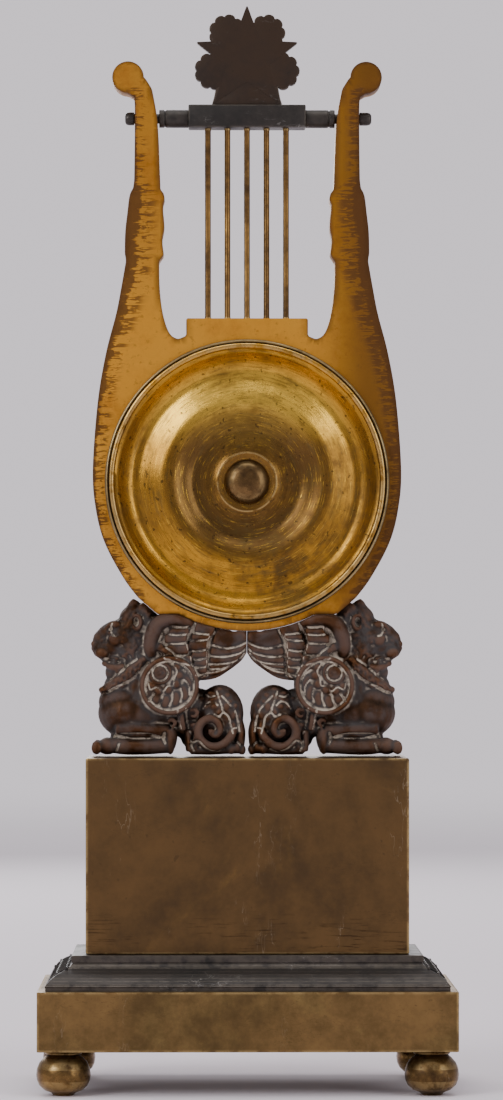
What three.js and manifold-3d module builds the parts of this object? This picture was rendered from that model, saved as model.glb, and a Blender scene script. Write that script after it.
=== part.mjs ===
// A lyre clock: a turned movement case in a gilt lyre, carried by two winged lions on a brass pedestal.
// Millimetres, +Z up. The origin is on the table under the middle of the clock. The dial faces -Y.

import * as THREE from "three";
import { mergeVertices } from "three/addons/utils/BufferGeometryUtils.js";
import Module from "manifold-3d";

const wasm = await Module();
wasm.setup();

// Fits
const clearance = 0.3;
const overrun = 1;
const mergeDistance = 0.0001;

// Facets of round pieces
const roundSegments = 24;
const smallSegments = 8;
const holeSides = 8;
const pivotHoleSides = 6;
const hexSides = 6;
const squareSides = 4;

// Feet
const footDiameter = 20.5;
const footSegments = 12;
const footCollar = 0.8;
const footHeight = 16.5;
const footInset = 9.5;
const footNeckDiameter = 13;
const footPadDiameter = 8;
const footStudDiameter = 5;
const footStudLength = 9;

// Plinth
const plinthLength = 154.3;
const plinthDepth = 84;
const plinthHeight = 22;
const plinthWall = 3;
const plinthTop = 2.5;
const plinthCorner = 20;

// Moulding between plinth and pedestal
const mouldingInset = 3;
const mouldingHeight = 10;
const mouldingStep = 1.6;
const mouldingRun = 10.3;
const mouldingSwingShare = 0.12;
const filletHeight = 2.5;
const mouldingOpeningDepth = 30;
const boltLand = 7.95;

// Pedestal
const pedestalEndSetback = 4.1;
const pedestalSideSetback = 3.7;
const pedestalHeight = 72.5;
const pedestalWall = 2;
const pedestalTop = 3;
const lugLength = 11;
const lugDepth = 14;
const lugHeight = 9;

// Bolts of the base
const boltDiameter = 4;
const boltHeadAcross = 8;
const boltHeadHeight = 3;
const boltTipCover = 2;

// Lions
const lionEndSetback = 1.25;
const lionHeight = 60;
const lionHalfDepth = 13.5;
const lionGap = 2.6;
const lionStudDiameter = 4;
const lionStudLength = 11;
const lionNutAcross = 9;
const lionNutHeight = 3.4;
const largeFormSides = 8;
const smallFormSides = 6;
const ballRings = 4;
const wingInside = 4.8;
const wingStep = 1.2;
const wingGap = 0.3;
const voluteDiameter = 22.5;
const voluteSegments = 11;
const tailDiameter = 3;
const tailSpiralDiameter = 11.5;

// Lyre
const lyreHalfWidth = 57.5;
const lyreHeight = 212.3;
const lyreBase = 170.6;
const bowlRim = 6.3;
const bowlThickness = 20;
const armThickness = 11;
const bridgeHalfWidth = 22.7;
const bridgeTop = 287.1;
const scrollDiameter = 11.8;
const lyrePinDiameter = 3;
const lyrePinLength = 14;

// Crossbar and strings
const barAxisHeight = 362.1;
const rodDiameter = 3.6;
const knobDiameter = 4.9;
const knobReach = 3.4;
const sleeveDiameter = 6.7;
const blockLength = 43.8;
const blockDepth = 10.5;
const blockHeight = 8.4;
const stringDiameter = 2.4;
const stringPitch = 7.3;
const stringCount = 5;

// Crown ornament
const crownStarRadius = 20.2;
const crownCentreRise = 17.3;
const crownThickness = 6.4;
const crownLobeDiameter = 14;
const crownPetals = 7;
const crownNeckHalfWidth = 13.2;
const crownNeckHeight = 6.5;

// Case
const drumRadius = 49;
const drumWall = 2;
const drumFront = 22.2;
const drumRear = 10.6;
const ledgeWidth = 3;
const ledgeThickness = 4;
const ledgeSetback = 1.5;
const ringOverhang = 4;
const ringLipWidth = 1.4;
const ringThickness = 2.2;
const ringLipHeight = 1.1;
const coverBeadHeight = 2.3;
const coverDepth = 7.2;
const coverWall = 0.9;
const coverSkirtDepth = 5;
const bossDiameter = 16.6;
const bossHeight = 4.6;
const bossStudDiameter = 4;
const bossStudLength = 3.6;

// Front of the case
const bezelOverhang = 4;
const bezelDepth = 6.2;
const bezelWidth = 8.4;
const glassThickness = 1.1;
const glassRise = 2.2;
const hingePinDiameter = 1.6;
const knuckleDiameter = 3.8;
const knuckleLength = 4.4;
const dialThickness = 1;
const hourHandLength = 22;
const minuteHandLength = 34;
const handThickness = 0.6;
const handHubDiameter = 7;
const handNutDiameter = 4.4;
const handNutHeight = 1;

// Movement
const plateThickness = 1.5;
const plateGap = 13.5;
const backPlateRadius = 39;
const pillarDiameter = 5;
const pillarOrbit = 34.5;
const pivotDiameter = 1.2;
const arborDiameter = 1.5;
const wheelThickness = 0.9;
const wheelRim = 1.7;
const hubDiameter = 5;
const spokeCount = 4;
const barrelTeeth = 60;
const centrePinionLeaves = 10;
const centreTeeth = 48;
const thirdTeeth = 42;
const fourthTeeth = 30;
const trainPinionLeaves = 6;
const escapeTeeth = 33;
const barrelModule = 0.68;
const centreModule = 0.53;
const thirdModule = 0.48;
const fourthModule = 0.45;
const barrelHeight = 6.4;
const barrelWall = 1;
const barrelArborDiameter = 3.4;
const barrelSegments = 16;
const springThickness = 0.5;
const springTurns = 4;
const springStepsPerTurn = 9;
const escapeRadius = 6.5;
const palletDistance = 9.8;
const palletRise = 32.5;
const pendulumLength = 38;
const pendulumRodDiameter = 1.4;
const pendulumHubWall = 1;
const bobDiameter = 11;
const bobThickness = 3;
const cockStandoff = 5;
const cockThickness = 1.3;
const cockWidth = 7;
const cockSpan = 24;
const ratchetDiameter = 13;
const ratchetTeeth = 18;
const ratchetThickness = 1.2;
const clickLength = 11;
const clickWidth = 3;
const cannonLeaves = 8;
const minuteWheelTeeth = 24;
const minutePinionLeaves = 8;
const hourWheelTeeth = 32;
const cannonModule = 0.6;
const frontArborRadius = 0.7;
const pipeWall = 0.8;

// Finishes
const giltBronze = new THREE.MeshStandardMaterial({ color: 0xb9853a, roughness: 0.42, metalness: 0.9 });
const agedBrass = new THREE.MeshStandardMaterial({ color: 0x7b6238, roughness: 0.5, metalness: 0.85 });
const brownBrass = new THREE.MeshStandardMaterial({ color: 0x6b4f2c, roughness: 0.55, metalness: 0.8 });
const darkBronze = new THREE.MeshStandardMaterial({ color: 0x3a2a20, roughness: 0.5, metalness: 0.7 });
const blackBronze = new THREE.MeshStandardMaterial({ color: 0x2b2725, roughness: 0.55, metalness: 0.7 });
const movementBrass = new THREE.MeshStandardMaterial({ color: 0xb08d4a, roughness: 0.35, metalness: 0.9 });
const steel = new THREE.MeshStandardMaterial({ color: 0x8a8c90, roughness: 0.3, metalness: 0.95 });
const blueSteel = new THREE.MeshStandardMaterial({ color: 0x1c2440, roughness: 0.3, metalness: 0.8 });
const enamel = new THREE.MeshStandardMaterial({ color: 0xece6d6, roughness: 0.25, metalness: 0 });
const clearGlass = new THREE.MeshStandardMaterial({
  color: 0xdfe8ea, roughness: 0.05, metalness: 0, transparent: true, opacity: 0.3,
});

// Places that the sizes give
const plinthBase = footHeight;
const plinthTopZ = plinthBase + plinthHeight;
const mouldingTopZ = plinthTopZ + mouldingHeight;
const pedestalBase = mouldingTopZ + filletHeight;
const pedestalTopZ = pedestalBase + pedestalHeight;
const pedestalLength = plinthLength - 2 * (mouldingInset + mouldingRun + pedestalEndSetback);
const pedestalDepth = plinthDepth - 2 * (mouldingInset + mouldingRun + pedestalSideSetback);
const footPlaces = [-1, 1].flatMap((sideY) =>
  [-1, 1].map((sideX) => [
    sideX * (plinthLength / 2 - footInset),
    sideY * (plinthDepth / 2 - footInset),
  ]),
);
const boltX = pedestalLength / 2 - pedestalWall - lugLength / 2;
const boltPlaces = [-boltX, boltX];
const mouldingOpeningLength = 2 * (boltX - boltDiameter / 2 - clearance - boltLand);
const lionLength = pedestalLength / 2 - lionGap / 2 - lionEndSetback;
const bowlRadius = drumRadius + clearance + bowlRim;
const ringRadius = drumRadius + ringOverhang;
const bezelRadius = drumRadius + bezelOverhang;
const bezelSightRadius = bezelRadius - bezelWidth;
const dialZ = lyreBase + bowlRadius;
const lyreBack = bowlThickness / 2;
const armFront = lyreBack - armThickness;
const barY = lyreBack - armThickness / 2;
const movementFront = -drumFront + ledgeSetback + ledgeThickness;
const gapFront = movementFront + plateThickness;
const gapRear = gapFront + plateGap;
const backPlateRear = gapRear + plateThickness;

// A closed manifold solid from a three.js geometry, with its faces turned outwards.
function solidOf(geometry) {
  const bare = geometry.index ? geometry.toNonIndexed() : geometry.clone();
  bare.deleteAttribute("normal");
  bare.deleteAttribute("uv");
  const merged = mergeVertices(bare, mergeDistance);
  const index = merged.index.array;
  const corners = [];
  for (let i = 0; i < index.length; i += 3) {
    const [a, b, c] = index.subarray(i, i + 3);
    if (a !== b && b !== c && c !== a) corners.push([a, b, c]);
  }
  const build = (triangles) =>
    new wasm.Manifold(
      new wasm.Mesh({
        numProp: 3,
        vertProperties: merged.attributes.position.array,
        triVerts: new Uint32Array(triangles.flat()),
      }),
    );
  const made = build(corners);
  return made.volume() < 0 ? build(corners.map(([a, b, c]) => [a, c, b])) : made;
}

function geometryOf(solid) {
  const found = solid.getMesh();
  const geometry = new THREE.BufferGeometry();
  geometry.setAttribute("position", new THREE.BufferAttribute(new Float32Array(found.vertProperties), 3));
  geometry.setIndex(new THREE.BufferAttribute(new Uint32Array(found.triVerts), 1));
  return geometry;
}

function namedMesh(name, solid, material) {
  const geometry = geometryOf(solid);
  geometry.computeVertexNormals();
  const mesh = new THREE.Mesh(geometry, material);
  mesh.name = name;
  return mesh;
}

function mirroredInX(solid) {
  return solidOf(geometryOf(solid).scale(-1, 1, 1));
}

function mirroredInY(solid) {
  return solidOf(geometryOf(solid).scale(1, -1, 1));
}

function joined(...solids) {
  return solids.reduce((whole, next) => whole.add(next));
}

// A box between two opposite corners.
function block(x0, x1, y0, y1, z0, z1) {
  const geometry = new THREE.BoxGeometry(x1 - x0, y1 - y0, z1 - z0);
  return solidOf(geometry.translate((x0 + x1) / 2, (y0 + y1) / 2, (z0 + z1) / 2));
}

// An outline in X and Z, given thickness from front (lower Y) to rear.
function plate(shape, front, rear, bevel = 0) {
  const geometry = new THREE.ExtrudeGeometry(shape, {
    depth: rear - front - 2 * bevel,
    bevelEnabled: bevel > 0,
    bevelThickness: bevel,
    bevelSize: bevel,
    bevelOffset: -bevel,
    bevelSegments: 1,
    curveSegments: roundSegments / 4,
  });
  return solidOf(geometry.rotateX(Math.PI / 2).translate(0, rear - bevel, 0));
}

// An outline in Y and Z, drawn along X.
function profileAlongX(points, x0, x1) {
  const geometry = new THREE.ExtrudeGeometry(shapeOf(points), { depth: x1 - x0, bevelEnabled: false });
  const turn = new THREE.Matrix4().makeBasis(
    new THREE.Vector3(0, 1, 0),
    new THREE.Vector3(0, 0, 1),
    new THREE.Vector3(1, 0, 0),
  );
  return solidOf(geometry.applyMatrix4(turn).translate(x0, 0, 0));
}

// An outline in X and Z, drawn along Y from y0 to y1.
function profileAlongY(points, y0, y1) {
  return plate(shapeOf(points), y0, y1);
}

function shapeOf(points) {
  return new THREE.Shape(points.map(([x, y]) => new THREE.Vector2(x, y)));
}

function circlePath(x, z, radius, sides = holeSides) {
  const points = [];
  for (let i = 0; i < sides; i++) {
    const angle = (2 * Math.PI * i) / sides;
    points.push(new THREE.Vector2(x + radius * Math.cos(angle), z + radius * Math.sin(angle)));
  }
  return new THREE.Path(points);
}

// A profile of [radius, place along the axis] points, turned round the Y axis through (x, z).
function turnedAlongY(profile, segments, x = 0, z = dialZ) {
  const points = profile.map(([radius, along]) => new THREE.Vector2(radius, along));
  return solidOf(new THREE.LatheGeometry(points, segments).translate(x, 0, z));
}

function turnedAlongZ(profile, segments, x, y) {
  const points = profile.map(([radius, along]) => new THREE.Vector2(radius, along));
  return solidOf(new THREE.LatheGeometry(points, segments).rotateX(Math.PI / 2).translate(x, y, 0));
}

function rod(radius, from, to, segments, x = 0, z = dialZ) {
  return turnedAlongY([[0, from], [radius, from], [radius, to], [0, to]], segments, x, z);
}

function rodAlongZ(radius, from, to, segments, x, y) {
  return turnedAlongZ([[0, from], [radius, from], [radius, to], [0, to]], segments, x, y);
}

function rodAlongX(radius, from, to, segments, y, z) {
  const points = [[0, from], [radius, from], [radius, to], [0, to]];
  return turnedAlongX(points, segments, y, z);
}

function turnedAlongX(profile, segments, y, z) {
  const points = profile.map(([radius, along]) => new THREE.Vector2(radius, along));
  return solidOf(new THREE.LatheGeometry(points, segments).rotateZ(-Math.PI / 2).translate(0, y, z));
}

// A ball foot with a flat pad below and a stud above.
function foot(x, y) {
  const ballRadius = footDiameter / 2;
  const neckRadius = footNeckDiameter / 2;
  const ballHalf = footHeight / 2;
  const profile = [[0, 0], [footPadDiameter / 2, 0]];
  const start = -Math.acos(footPadDiameter / footDiameter);
  const end = Math.acos(footNeckDiameter / footDiameter);
  const steps = 3;
  for (let i = 0; i <= steps; i++) {
    const angle = start + ((end - start) * i) / steps;
    const rise = Math.sin(angle) / (angle < 0 ? -Math.sin(start) : Math.sin(end));
    profile.push([ballRadius * Math.cos(angle), ballHalf + (ballHalf - footCollar) * rise]);
  }
  profile.push([neckRadius, footHeight]);
  profile.push([footStudDiameter / 2, footHeight]);
  profile.push([footStudDiameter / 2, footHeight + footStudLength]);
  profile.push([0, footHeight + footStudLength]);
  return turnedAlongZ(profile, footSegments, x, y);
}

// A hollow block, open below, with solid corners that take the studs of the feet.
function plinth() {
  const halfLength = plinthLength / 2;
  const halfDepth = plinthDepth / 2;
  const ceiling = plinthTopZ - plinthTop;
  const floor = plinthBase - overrun;
  const inX = halfLength - plinthWall;
  const inY = halfDepth - plinthWall;
  const pastX = halfLength - plinthCorner;
  const pastY = halfDepth - plinthCorner;
  let body = block(-halfLength, halfLength, -halfDepth, halfDepth, plinthBase, plinthTopZ)
    .subtract(block(-inX, inX, -pastY, pastY, floor, ceiling))
    .subtract(block(-pastX, pastX, -inY, inY, floor, ceiling));
  const studRadius = footStudDiameter / 2 + clearance;
  const studTop = plinthBase + footStudLength + clearance;
  for (const [x, y] of footPlaces) {
    body = body.subtract(rodAlongZ(studRadius, floor, studTop, holeSides, x, y));
  }
  for (const x of boltPlaces) {
    body = body.subtract(boltHole(x, ceiling - overrun, plinthTopZ + overrun));
  }
  return body;
}

function boltHole(x, from, to) {
  return rodAlongZ(boltDiameter / 2 + clearance, from, to, holeSides, x, 0);
}

// A rectangular ring moulding: one ogee section along X crossed with the same section along Y.
function baseMoulding() {
  const halfLength = plinthLength / 2 - mouldingInset;
  const halfDepth = plinthDepth / 2 - mouldingInset;
  const section = (half) => {
    const side = [[half, plinthTopZ]];
    const steps = 8;
    const rise = mouldingHeight - mouldingStep;
    for (let i = 0; i <= steps; i++) {
      const along = i / steps;
      const swing = Math.sin(2 * Math.PI * along) * mouldingSwingShare;
      side.push([half - mouldingRun * (along + swing), plinthTopZ + mouldingStep + rise * along]);
    }
    side.push([half - mouldingRun, pedestalBase]);
    return [...side, ...side.map(([across, z]) => [-across, z]).reverse()];
  };
  const openX = mouldingOpeningLength / 2;
  const openY = mouldingOpeningDepth / 2;
  let body = profileAlongX(section(halfDepth), -halfLength, halfLength)
    .intersect(profileAlongY(section(halfLength), -halfDepth, halfDepth))
    .subtract(block(-openX, openX, -openY, openY, plinthTopZ - overrun, pedestalBase + overrun));
  for (const x of boltPlaces) {
    body = body.subtract(boltHole(x, plinthTopZ - overrun, pedestalBase + overrun));
  }
  return body;
}

// A box open below, with a lug in each end for the bolts and holes above for the studs of the lions.
function pedestal() {
  const halfLength = pedestalLength / 2;
  const halfDepth = pedestalDepth / 2;
  const inX = halfLength - pedestalWall;
  const inY = halfDepth - pedestalWall;
  const ceiling = pedestalTopZ - pedestalTop;
  let body = block(-halfLength, halfLength, -halfDepth, halfDepth, pedestalBase, pedestalTopZ)
    .subtract(block(-inX, inX, -inY, inY, pedestalBase - overrun, ceiling));
  for (const side of [-1, 1]) {
    const ends = [side * (inX + pedestalWall / 2), side * (inX - lugLength)];
    const lug = block(Math.min(...ends), Math.max(...ends), -lugDepth / 2, lugDepth / 2,
      pedestalBase, pedestalBase + lugHeight);
    body = body.add(lug);
  }
  for (const x of boltPlaces) {
    body = body.subtract(boltHole(x, pedestalBase - overrun, pedestalBase + lugHeight - boltTipCover));
  }
  for (const x of [-lionStudX, lionStudX]) {
    const radius = lionStudDiameter / 2 + clearance;
    body = body.subtract(rodAlongZ(radius, ceiling - overrun, pedestalTopZ + overrun, holeSides, x, 0));
  }
  return body;
}

// A hexagonal head under the plinth's top, with a shank up into the lug of the pedestal.
function baseBolt(x) {
  const headTop = plinthTopZ - plinthTop;
  const shankTop = pedestalBase + lugHeight - boltTipCover - clearance;
  const head = rodAlongZ(boltHeadAcross / 2, headTop - boltHeadHeight, headTop, hexSides, x, 0);
  return head.add(rodAlongZ(boltDiameter / 2, headTop - boltHeadHeight / 2, shankTop, smallSegments, x, 0));
}

// Rows of a form drawn out along a spine, as shares of the lion: how far across and up, then half height and
// half width. The first and last rows are the tips.
const torsoShares = [
  [0, 0.235, 0, 0], [0.033, 0.236, 0.126, 0.48], [0.127, 0.246, 0.204, 0.8], [0.232, 0.253, 0.198, 0.84],
  [0.337, 0.285, 0.161, 0.73], [0.469, 0.31, 0.147, 0.64], [0.61, 0.302, 0.171, 0.71],
  [0.75, 0.3, 0.2, 0.8], [0.795, 0.365, 0.172, 0.76], [0.79, 0.44, 0.152, 0.66], [0.754, 0.553, 0.141, 0.64],
  [0.724, 0.687, 0.147, 0.71], [0.722, 0.804, 0.12, 0.64], [0.719, 0.913, 0.067, 0.41], [0.715, 1, 0, 0],
];
const headShares = [
  [0.663, 0.77, 0, 0], [0.715, 0.77, 0.117, 0.56], [0.803, 0.776, 0.124, 0.56], [0.865, 0.715, 0.14, 0.47],
  [0.922, 0.678, 0.097, 0.36], [0.97, 0.68, 0.064, 0.28], [1, 0.692, 0, 0],
];
const forelegShares = [
  [0.432, 0.084, 0, 0], [0.46, 0.084, 0.084, 0.3], [0.715, 0.069, 0.076, 0.28], [0.856, 0.065, 0.07, 0.28],
  [0.926, 0.062, 0.074, 0.33], [0.972, 0.052, 0.058, 0.27], [0.997, 0.045, 0, 0],
];
const hindPawShares = [
  [0.004, 0.047, 0, 0], [0.04, 0.05, 0.056, 0.27], [0.17, 0.058, 0.066, 0.31], [0.31, 0.055, 0.06, 0.28],
  [0.373, 0.045, 0, 0],
];
const legAsideShare = 0.54;

// Balls, as shares: middle across, aside and up, then the three radii.
const withersShares = [0.59, 0, 0.678, 0.141, 0.36, 0.226];
const upperArmShares = [0.535, 0.55, 0.17, 0.1, 0.3, 0.15];
const earShares = [0.735, 0.6, 0.851, 0.045, 0.16, 0.05];

function lionPoint(acrossShare, upShare) {
  return [lionGap / 2 + acrossShare * lionLength, pedestalTopZ + upShare * lionHeight];
}

function ballOf(share, side) {
  const [across, aside, up, acrossRadius, asideRadius, upRadius] = share;
  const [x, z] = lionPoint(across, up);
  const ball = new THREE.SphereGeometry(1, smallFormSides, ballRings).rotateX(Math.PI / 2);
  ball.scale(acrossRadius * lionLength, asideRadius * lionHalfDepth, upRadius * lionHeight);
  return solidOf(ball.translate(x, side * aside * lionHalfDepth, z));
}

// A ball whose rings are moved out along a spine and set square to it.
function drawnOut(rows, sides, aside) {
  const ball = new THREE.SphereGeometry(1, sides, rows.length - 1);
  const places = ball.attributes.position;
  rows.forEach(([across, up, halfHeight, halfWidth], i) => {
    const [x, z] = lionPoint(across, up);
    const [x0, z0] = lionPoint(...rows[Math.max(i - 1, 0)].slice(0, 2));
    const [x1, z1] = lionPoint(...rows[Math.min(i + 1, rows.length - 1)].slice(0, 2));
    const span = Math.hypot(x1 - x0, z1 - z0);
    for (let k = 0; k <= sides; k++) {
      const angle = (2 * Math.PI * k) / sides;
      const out = halfHeight * lionHeight * Math.cos(angle);
      const wide = halfWidth * lionHalfDepth * Math.sin(angle);
      const dot = i * (sides + 1) + k;
      places.setXYZ(dot, x - (out * (z1 - z0)) / span, aside + wide, z + (out * (x1 - x0)) / span);
    }
  });
  return solidOf(ball);
}

// Wing outline from the volute up over the shoulder to the tip and back under the feathers.
const wingOutlineShares = [
  [0.6, 0.56], [0.647, 0.7], [0.63, 0.8], [0.57, 0.89], [0.3, 0.95], [-0.018, 0.85], [-0.018, 0.68],
  [0.08, 0.55], [0.17, 0.5], [0.29, 0.482], [0.45, 0.5],
];
const shoulderOutlineShares = [
  [0.59, 0.55], [0.632, 0.7], [0.59, 0.82], [0.5, 0.87], [0.38, 0.83], [0.43, 0.75], [0.48, 0.62],
];

function wing() {
  const layer = (shares, front, rear) =>
    profileAlongY(shares.map(([across, up]) => lionPoint(across, up)), front, rear);
  const blade = layer(wingOutlineShares, wingInside, lionHalfDepth - 2 * wingStep);
  const shoulder = layer(shoulderOutlineShares, wingInside + wingStep, lionHalfDepth);
  return joined(blade, shoulder, volute());
}

// The round scroll at the root of the wing.
const voluteShares = [0.487, 0.449];
const voluteFaceShare = 0.86;

function volute() {
  const [x, z] = lionPoint(...voluteShares);
  const radius = voluteDiameter / 2;
  const face = lionHalfDepth + clearance;
  return turnedAlongY(
    [
      [0, wingInside],
      [radius, wingInside],
      [radius, face - wingStep],
      [radius * voluteFaceShare, face],
      [0, face],
    ],
    voluteSegments, x, z,
  );
}

// The tail lies on the flank that faces the rear, curled in a spiral over the hind paw.
const tailShares = [0.2, 0.172];
const tailStart = Math.PI * 1.25;
const tailTurns = 1.2;
const tailSteps = 8;
const tailSides = 4;
const tailInnerShare = 0.25;
const tailAsideShare = 0.85;

function tail() {
  const [x, z] = lionPoint(...tailShares);
  const points = [];
  for (let i = 0; i <= tailSteps; i++) {
    const angle = tailStart - (2 * Math.PI * tailTurns * i) / tailSteps;
    const radius = (tailSpiralDiameter / 2) * (1 - ((1 - tailInnerShare) * i) / tailSteps);
    points.push(new THREE.Vector3(
      x + radius * Math.cos(angle), tailAsideShare * lionHalfDepth, z + radius * Math.sin(angle),
    ));
  }
  const section = new THREE.Shape(circlePath(0, 0, tailDiameter / 2, tailSides).getPoints());
  const geometry = new THREE.ExtrudeGeometry(section, {
    extrudePath: new THREE.CatmullRomCurve3(points),
    steps: tailSteps,
    bevelEnabled: false,
  });
  return solidOf(geometry);
}

const lionStudShare = 0.72;
const lionStudX = lionPoint(lionStudShare, 0)[0];

// One winged lion, facing outwards on the +X side.
function lion() {
  const legs = [-1, 1].flatMap((side) => [
    drawnOut(forelegShares, smallFormSides, side * legAsideShare * lionHalfDepth),
    drawnOut(hindPawShares, smallFormSides, side * legAsideShare * lionHalfDepth),
    ballOf(upperArmShares, side),
    ballOf(earShares, side),
  ]);
  const masses = [
    drawnOut(torsoShares, largeFormSides, 0),
    drawnOut(headShares, largeFormSides, 0),
    ballOf(withersShares, 0),
  ];
  const rearWing = wing();
  const floor = pedestalTopZ - lionHeight;
  const reach = 2 * lionLength;
  const body = joined(...masses, ...legs, rearWing, mirroredInY(rearWing), tail());
  const standing = body.subtract(block(-reach, reach, -reach, reach, floor, pedestalTopZ));
  const held = standing
    .subtract(lyreClearanceSolid())
    .subtract(block(-reach, wingGap / 2, -reach, reach, floor, pedestalTopZ + reach));
  const stud = rodAlongZ(lionStudDiameter / 2, pedestalTopZ - lionStudLength,
    pedestalTopZ + lionStudLength, smallSegments, lionStudX, 0);
  return held.add(stud).subtract(lyrePinHole(1));
}

function lionNut(x) {
  const top = pedestalTopZ - pedestalTop;
  const hole = rodAlongZ(lionStudDiameter / 2 + clearance, top - 2 * lionNutHeight, top + overrun,
    holeSides, x, 0);
  return rodAlongZ(lionNutAcross / 2, top - lionNutHeight, top, hexSides, x, 0).subtract(hole);
}

// The lyre, drawn as shares of its half width and height, up the outside of one arm.
const bowlSideShares = [
  [0.706, 0.058], [0.804, 0.094], [0.925, 0.156], [0.982, 0.216], [1, 0.284], [0.968, 0.402],
  [0.914, 0.488], [0.849, 0.556], [0.816, 0.602], [0.785, 0.65],
];
const leafOutsideShares = [
  [0.793, 0.663], [0.788, 0.7], [0.776, 0.734], [0.762, 0.766], [0.739, 0.777],
];
const armOutsideShares = [[0.73, 0.822], [0.728, 0.876], [0.728, 0.92], [0.732, 0.94]];
const armInsideShares = [
  [0.616, 0.951], [0.588, 0.91], [0.576, 0.875], [0.567, 0.814], [0.562, 0.771],
];
const leafInsideShares = [
  [0.538, 0.762], [0.546, 0.74], [0.534, 0.711], [0.55, 0.687], [0.539, 0.661],
];
const forkShares = [
  [0.571, 0.648], [0.567, 0.603], [0.546, 0.557], [0.506, 0.524], [0.455, 0.513], [0.4, 0.518],
];
const scrollCentreShare = [0.772, 0.972];
const ledgeShares = [0.443, 0.58];
const armThinningShares = [0.5, 0.66];
const scrollSweep = Math.PI * 1.45;
const scrollSteps = 8;
const bowlArcSteps = 5;
const bowlSideSteps = 13;
const forkSteps = 6;
const thinningSteps = 6;

function lyrePoint([across, up]) {
  return new THREE.Vector2(across * lyreHalfWidth, lyreBase + up * lyreHeight);
}

function smooth(shares, steps) {
  return new THREE.SplineCurve(shares.map(lyrePoint)).getPoints(steps);
}

function lyreHalf() {
  const points = [];
  const ledgeX = ledgeShares[0] * lyreHalfWidth;
  const sweep = Math.asin(ledgeX / bowlRadius);
  for (let i = 0; i <= bowlArcSteps; i++) {
    const angle = (sweep * i) / bowlArcSteps;
    points.push(new THREE.Vector2(bowlRadius * Math.sin(angle), dialZ - bowlRadius * Math.cos(angle)));
  }
  points.push(new THREE.Vector2(ledgeShares[1] * lyreHalfWidth, dialZ - bowlRadius * Math.cos(sweep)));
  points.push(...smooth(bowlSideShares, bowlSideSteps), ...leafOutsideShares.map(lyrePoint));
  points.push(...armOutsideShares.map(lyrePoint));
  const middle = lyrePoint(scrollCentreShare);
  const radius = scrollDiameter / 2;
  for (let i = 0; i <= scrollSteps; i++) {
    const angle = -Math.PI / 2 + (scrollSweep * i) / scrollSteps;
    points.push(new THREE.Vector2(middle.x + radius * Math.cos(angle), middle.y + radius * Math.sin(angle)));
  }
  points.push(...armInsideShares.map(lyrePoint), ...leafInsideShares.map(lyrePoint));
  points.push(...smooth(forkShares, forkSteps));
  points.push(new THREE.Vector2(bridgeHalfWidth, bridgeTop));
  return points;
}

function lyreOutline() {
  const half = lyreHalf();
  const other = half.filter((point) => point.x > 0).map((point) => new THREE.Vector2(-point.x, point.y));
  return [...half, ...other.reverse()];
}

// The lyre's outside, grown by the clearance, that cuts the lions where the lyre rests between them.
function lyreClearanceSolid() {
  const outline = lyreOutline();
  const grown = outline.map((point, i) => {
    const before = outline[(i + outline.length - 1) % outline.length];
    const after = outline[(i + 1) % outline.length];
    const along = after.clone().sub(before).normalize();
    return new THREE.Vector2(point.x + along.y * clearance, point.y - along.x * clearance);
  });
  return plate(new THREE.Shape(grown), -lionHalfDepth * 2, lionHalfDepth * 2);
}

const lyrePinX = ((ledgeShares[0] + ledgeShares[1]) / 2) * lyreHalfWidth;
const ledgeZ = dialZ - Math.sqrt(bowlRadius ** 2 - (ledgeShares[0] * lyreHalfWidth) ** 2);

function lyrePinHole(side) {
  const half = lyrePinLength / 2 + clearance;
  const radius = lyrePinDiameter / 2 + clearance;
  return rodAlongZ(radius, ledgeZ - half, ledgeZ + half, holeSides, side * lyrePinX, 0);
}

function lyrePin(side) {
  const half = lyrePinLength / 2;
  return rodAlongZ(lyrePinDiameter / 2, ledgeZ - half, ledgeZ + half, smallSegments, side * lyrePinX, 0);
}

// Seen from the side the lyre is thick at the bowl and thinner at the arms, flat behind.
function lyreSideProfile() {
  const low = lyreBase - overrun;
  const high = lyreBase + lyreHeight + overrun;
  const thinStart = lyreBase + lyreHeight * armThinningShares[0];
  const thinEnd = lyreBase + lyreHeight * armThinningShares[1];
  const points = [[lyreBack, low], [lyreBack, high], [armFront, high]];
  for (let i = 0; i <= thinningSteps; i++) {
    const along = i / thinningSteps;
    const ease = (1 + Math.cos(Math.PI * along)) / 2;
    points.push([-lyreBack + (armFront + lyreBack) * ease, thinEnd + (thinStart - thinEnd) * along]);
  }
  points.push([-lyreBack, low]);
  return points;
}

function lyreFrame() {
  const shape = new THREE.Shape(lyreOutline());
  const hole = rod(drumRadius + clearance, -bowlThickness, bowlThickness, roundSegments);
  const reach = lyreHalfWidth * 2;
  let body = plate(shape, -lyreBack, lyreBack)
    .intersect(profileAlongX(lyreSideProfile(), -reach, reach))
    .subtract(hole);
  const rodRadius = rodDiameter / 2 + clearance;
  body = body.subtract(rodAlongX(rodRadius, -reach, reach, holeSides, barY, barAxisHeight));
  return body.subtract(lyrePinHole(1)).subtract(lyrePinHole(-1));
}

const blockDropShare = 0.43;
const blockBase = barAxisHeight - blockHeight * blockDropShare;
const blockTop = blockBase + blockHeight;

// A string from the bridge up to the block on the crossbar.
function lyreString(index) {
  const x = (index - (stringCount - 1) / 2) * stringPitch;
  return rodAlongZ(stringDiameter / 2, bridgeTop, blockBase, holeSides, x, barY);
}

function crossbarBlock() {
  const half = blockLength / 2;
  const radius = rodDiameter / 2 + clearance;
  return block(-half, half, barY - blockDepth / 2, barY + blockDepth / 2, blockBase, blockTop)
    .subtract(rodAlongX(radius, -blockLength, blockLength, holeSides, barY, barAxisHeight));
}

const armOuterX = armOutsideShares[1][0] * lyreHalfWidth;
const armInnerX = armInsideShares[2][0] * lyreHalfWidth;
const knobStart = armOuterX + clearance;

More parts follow.
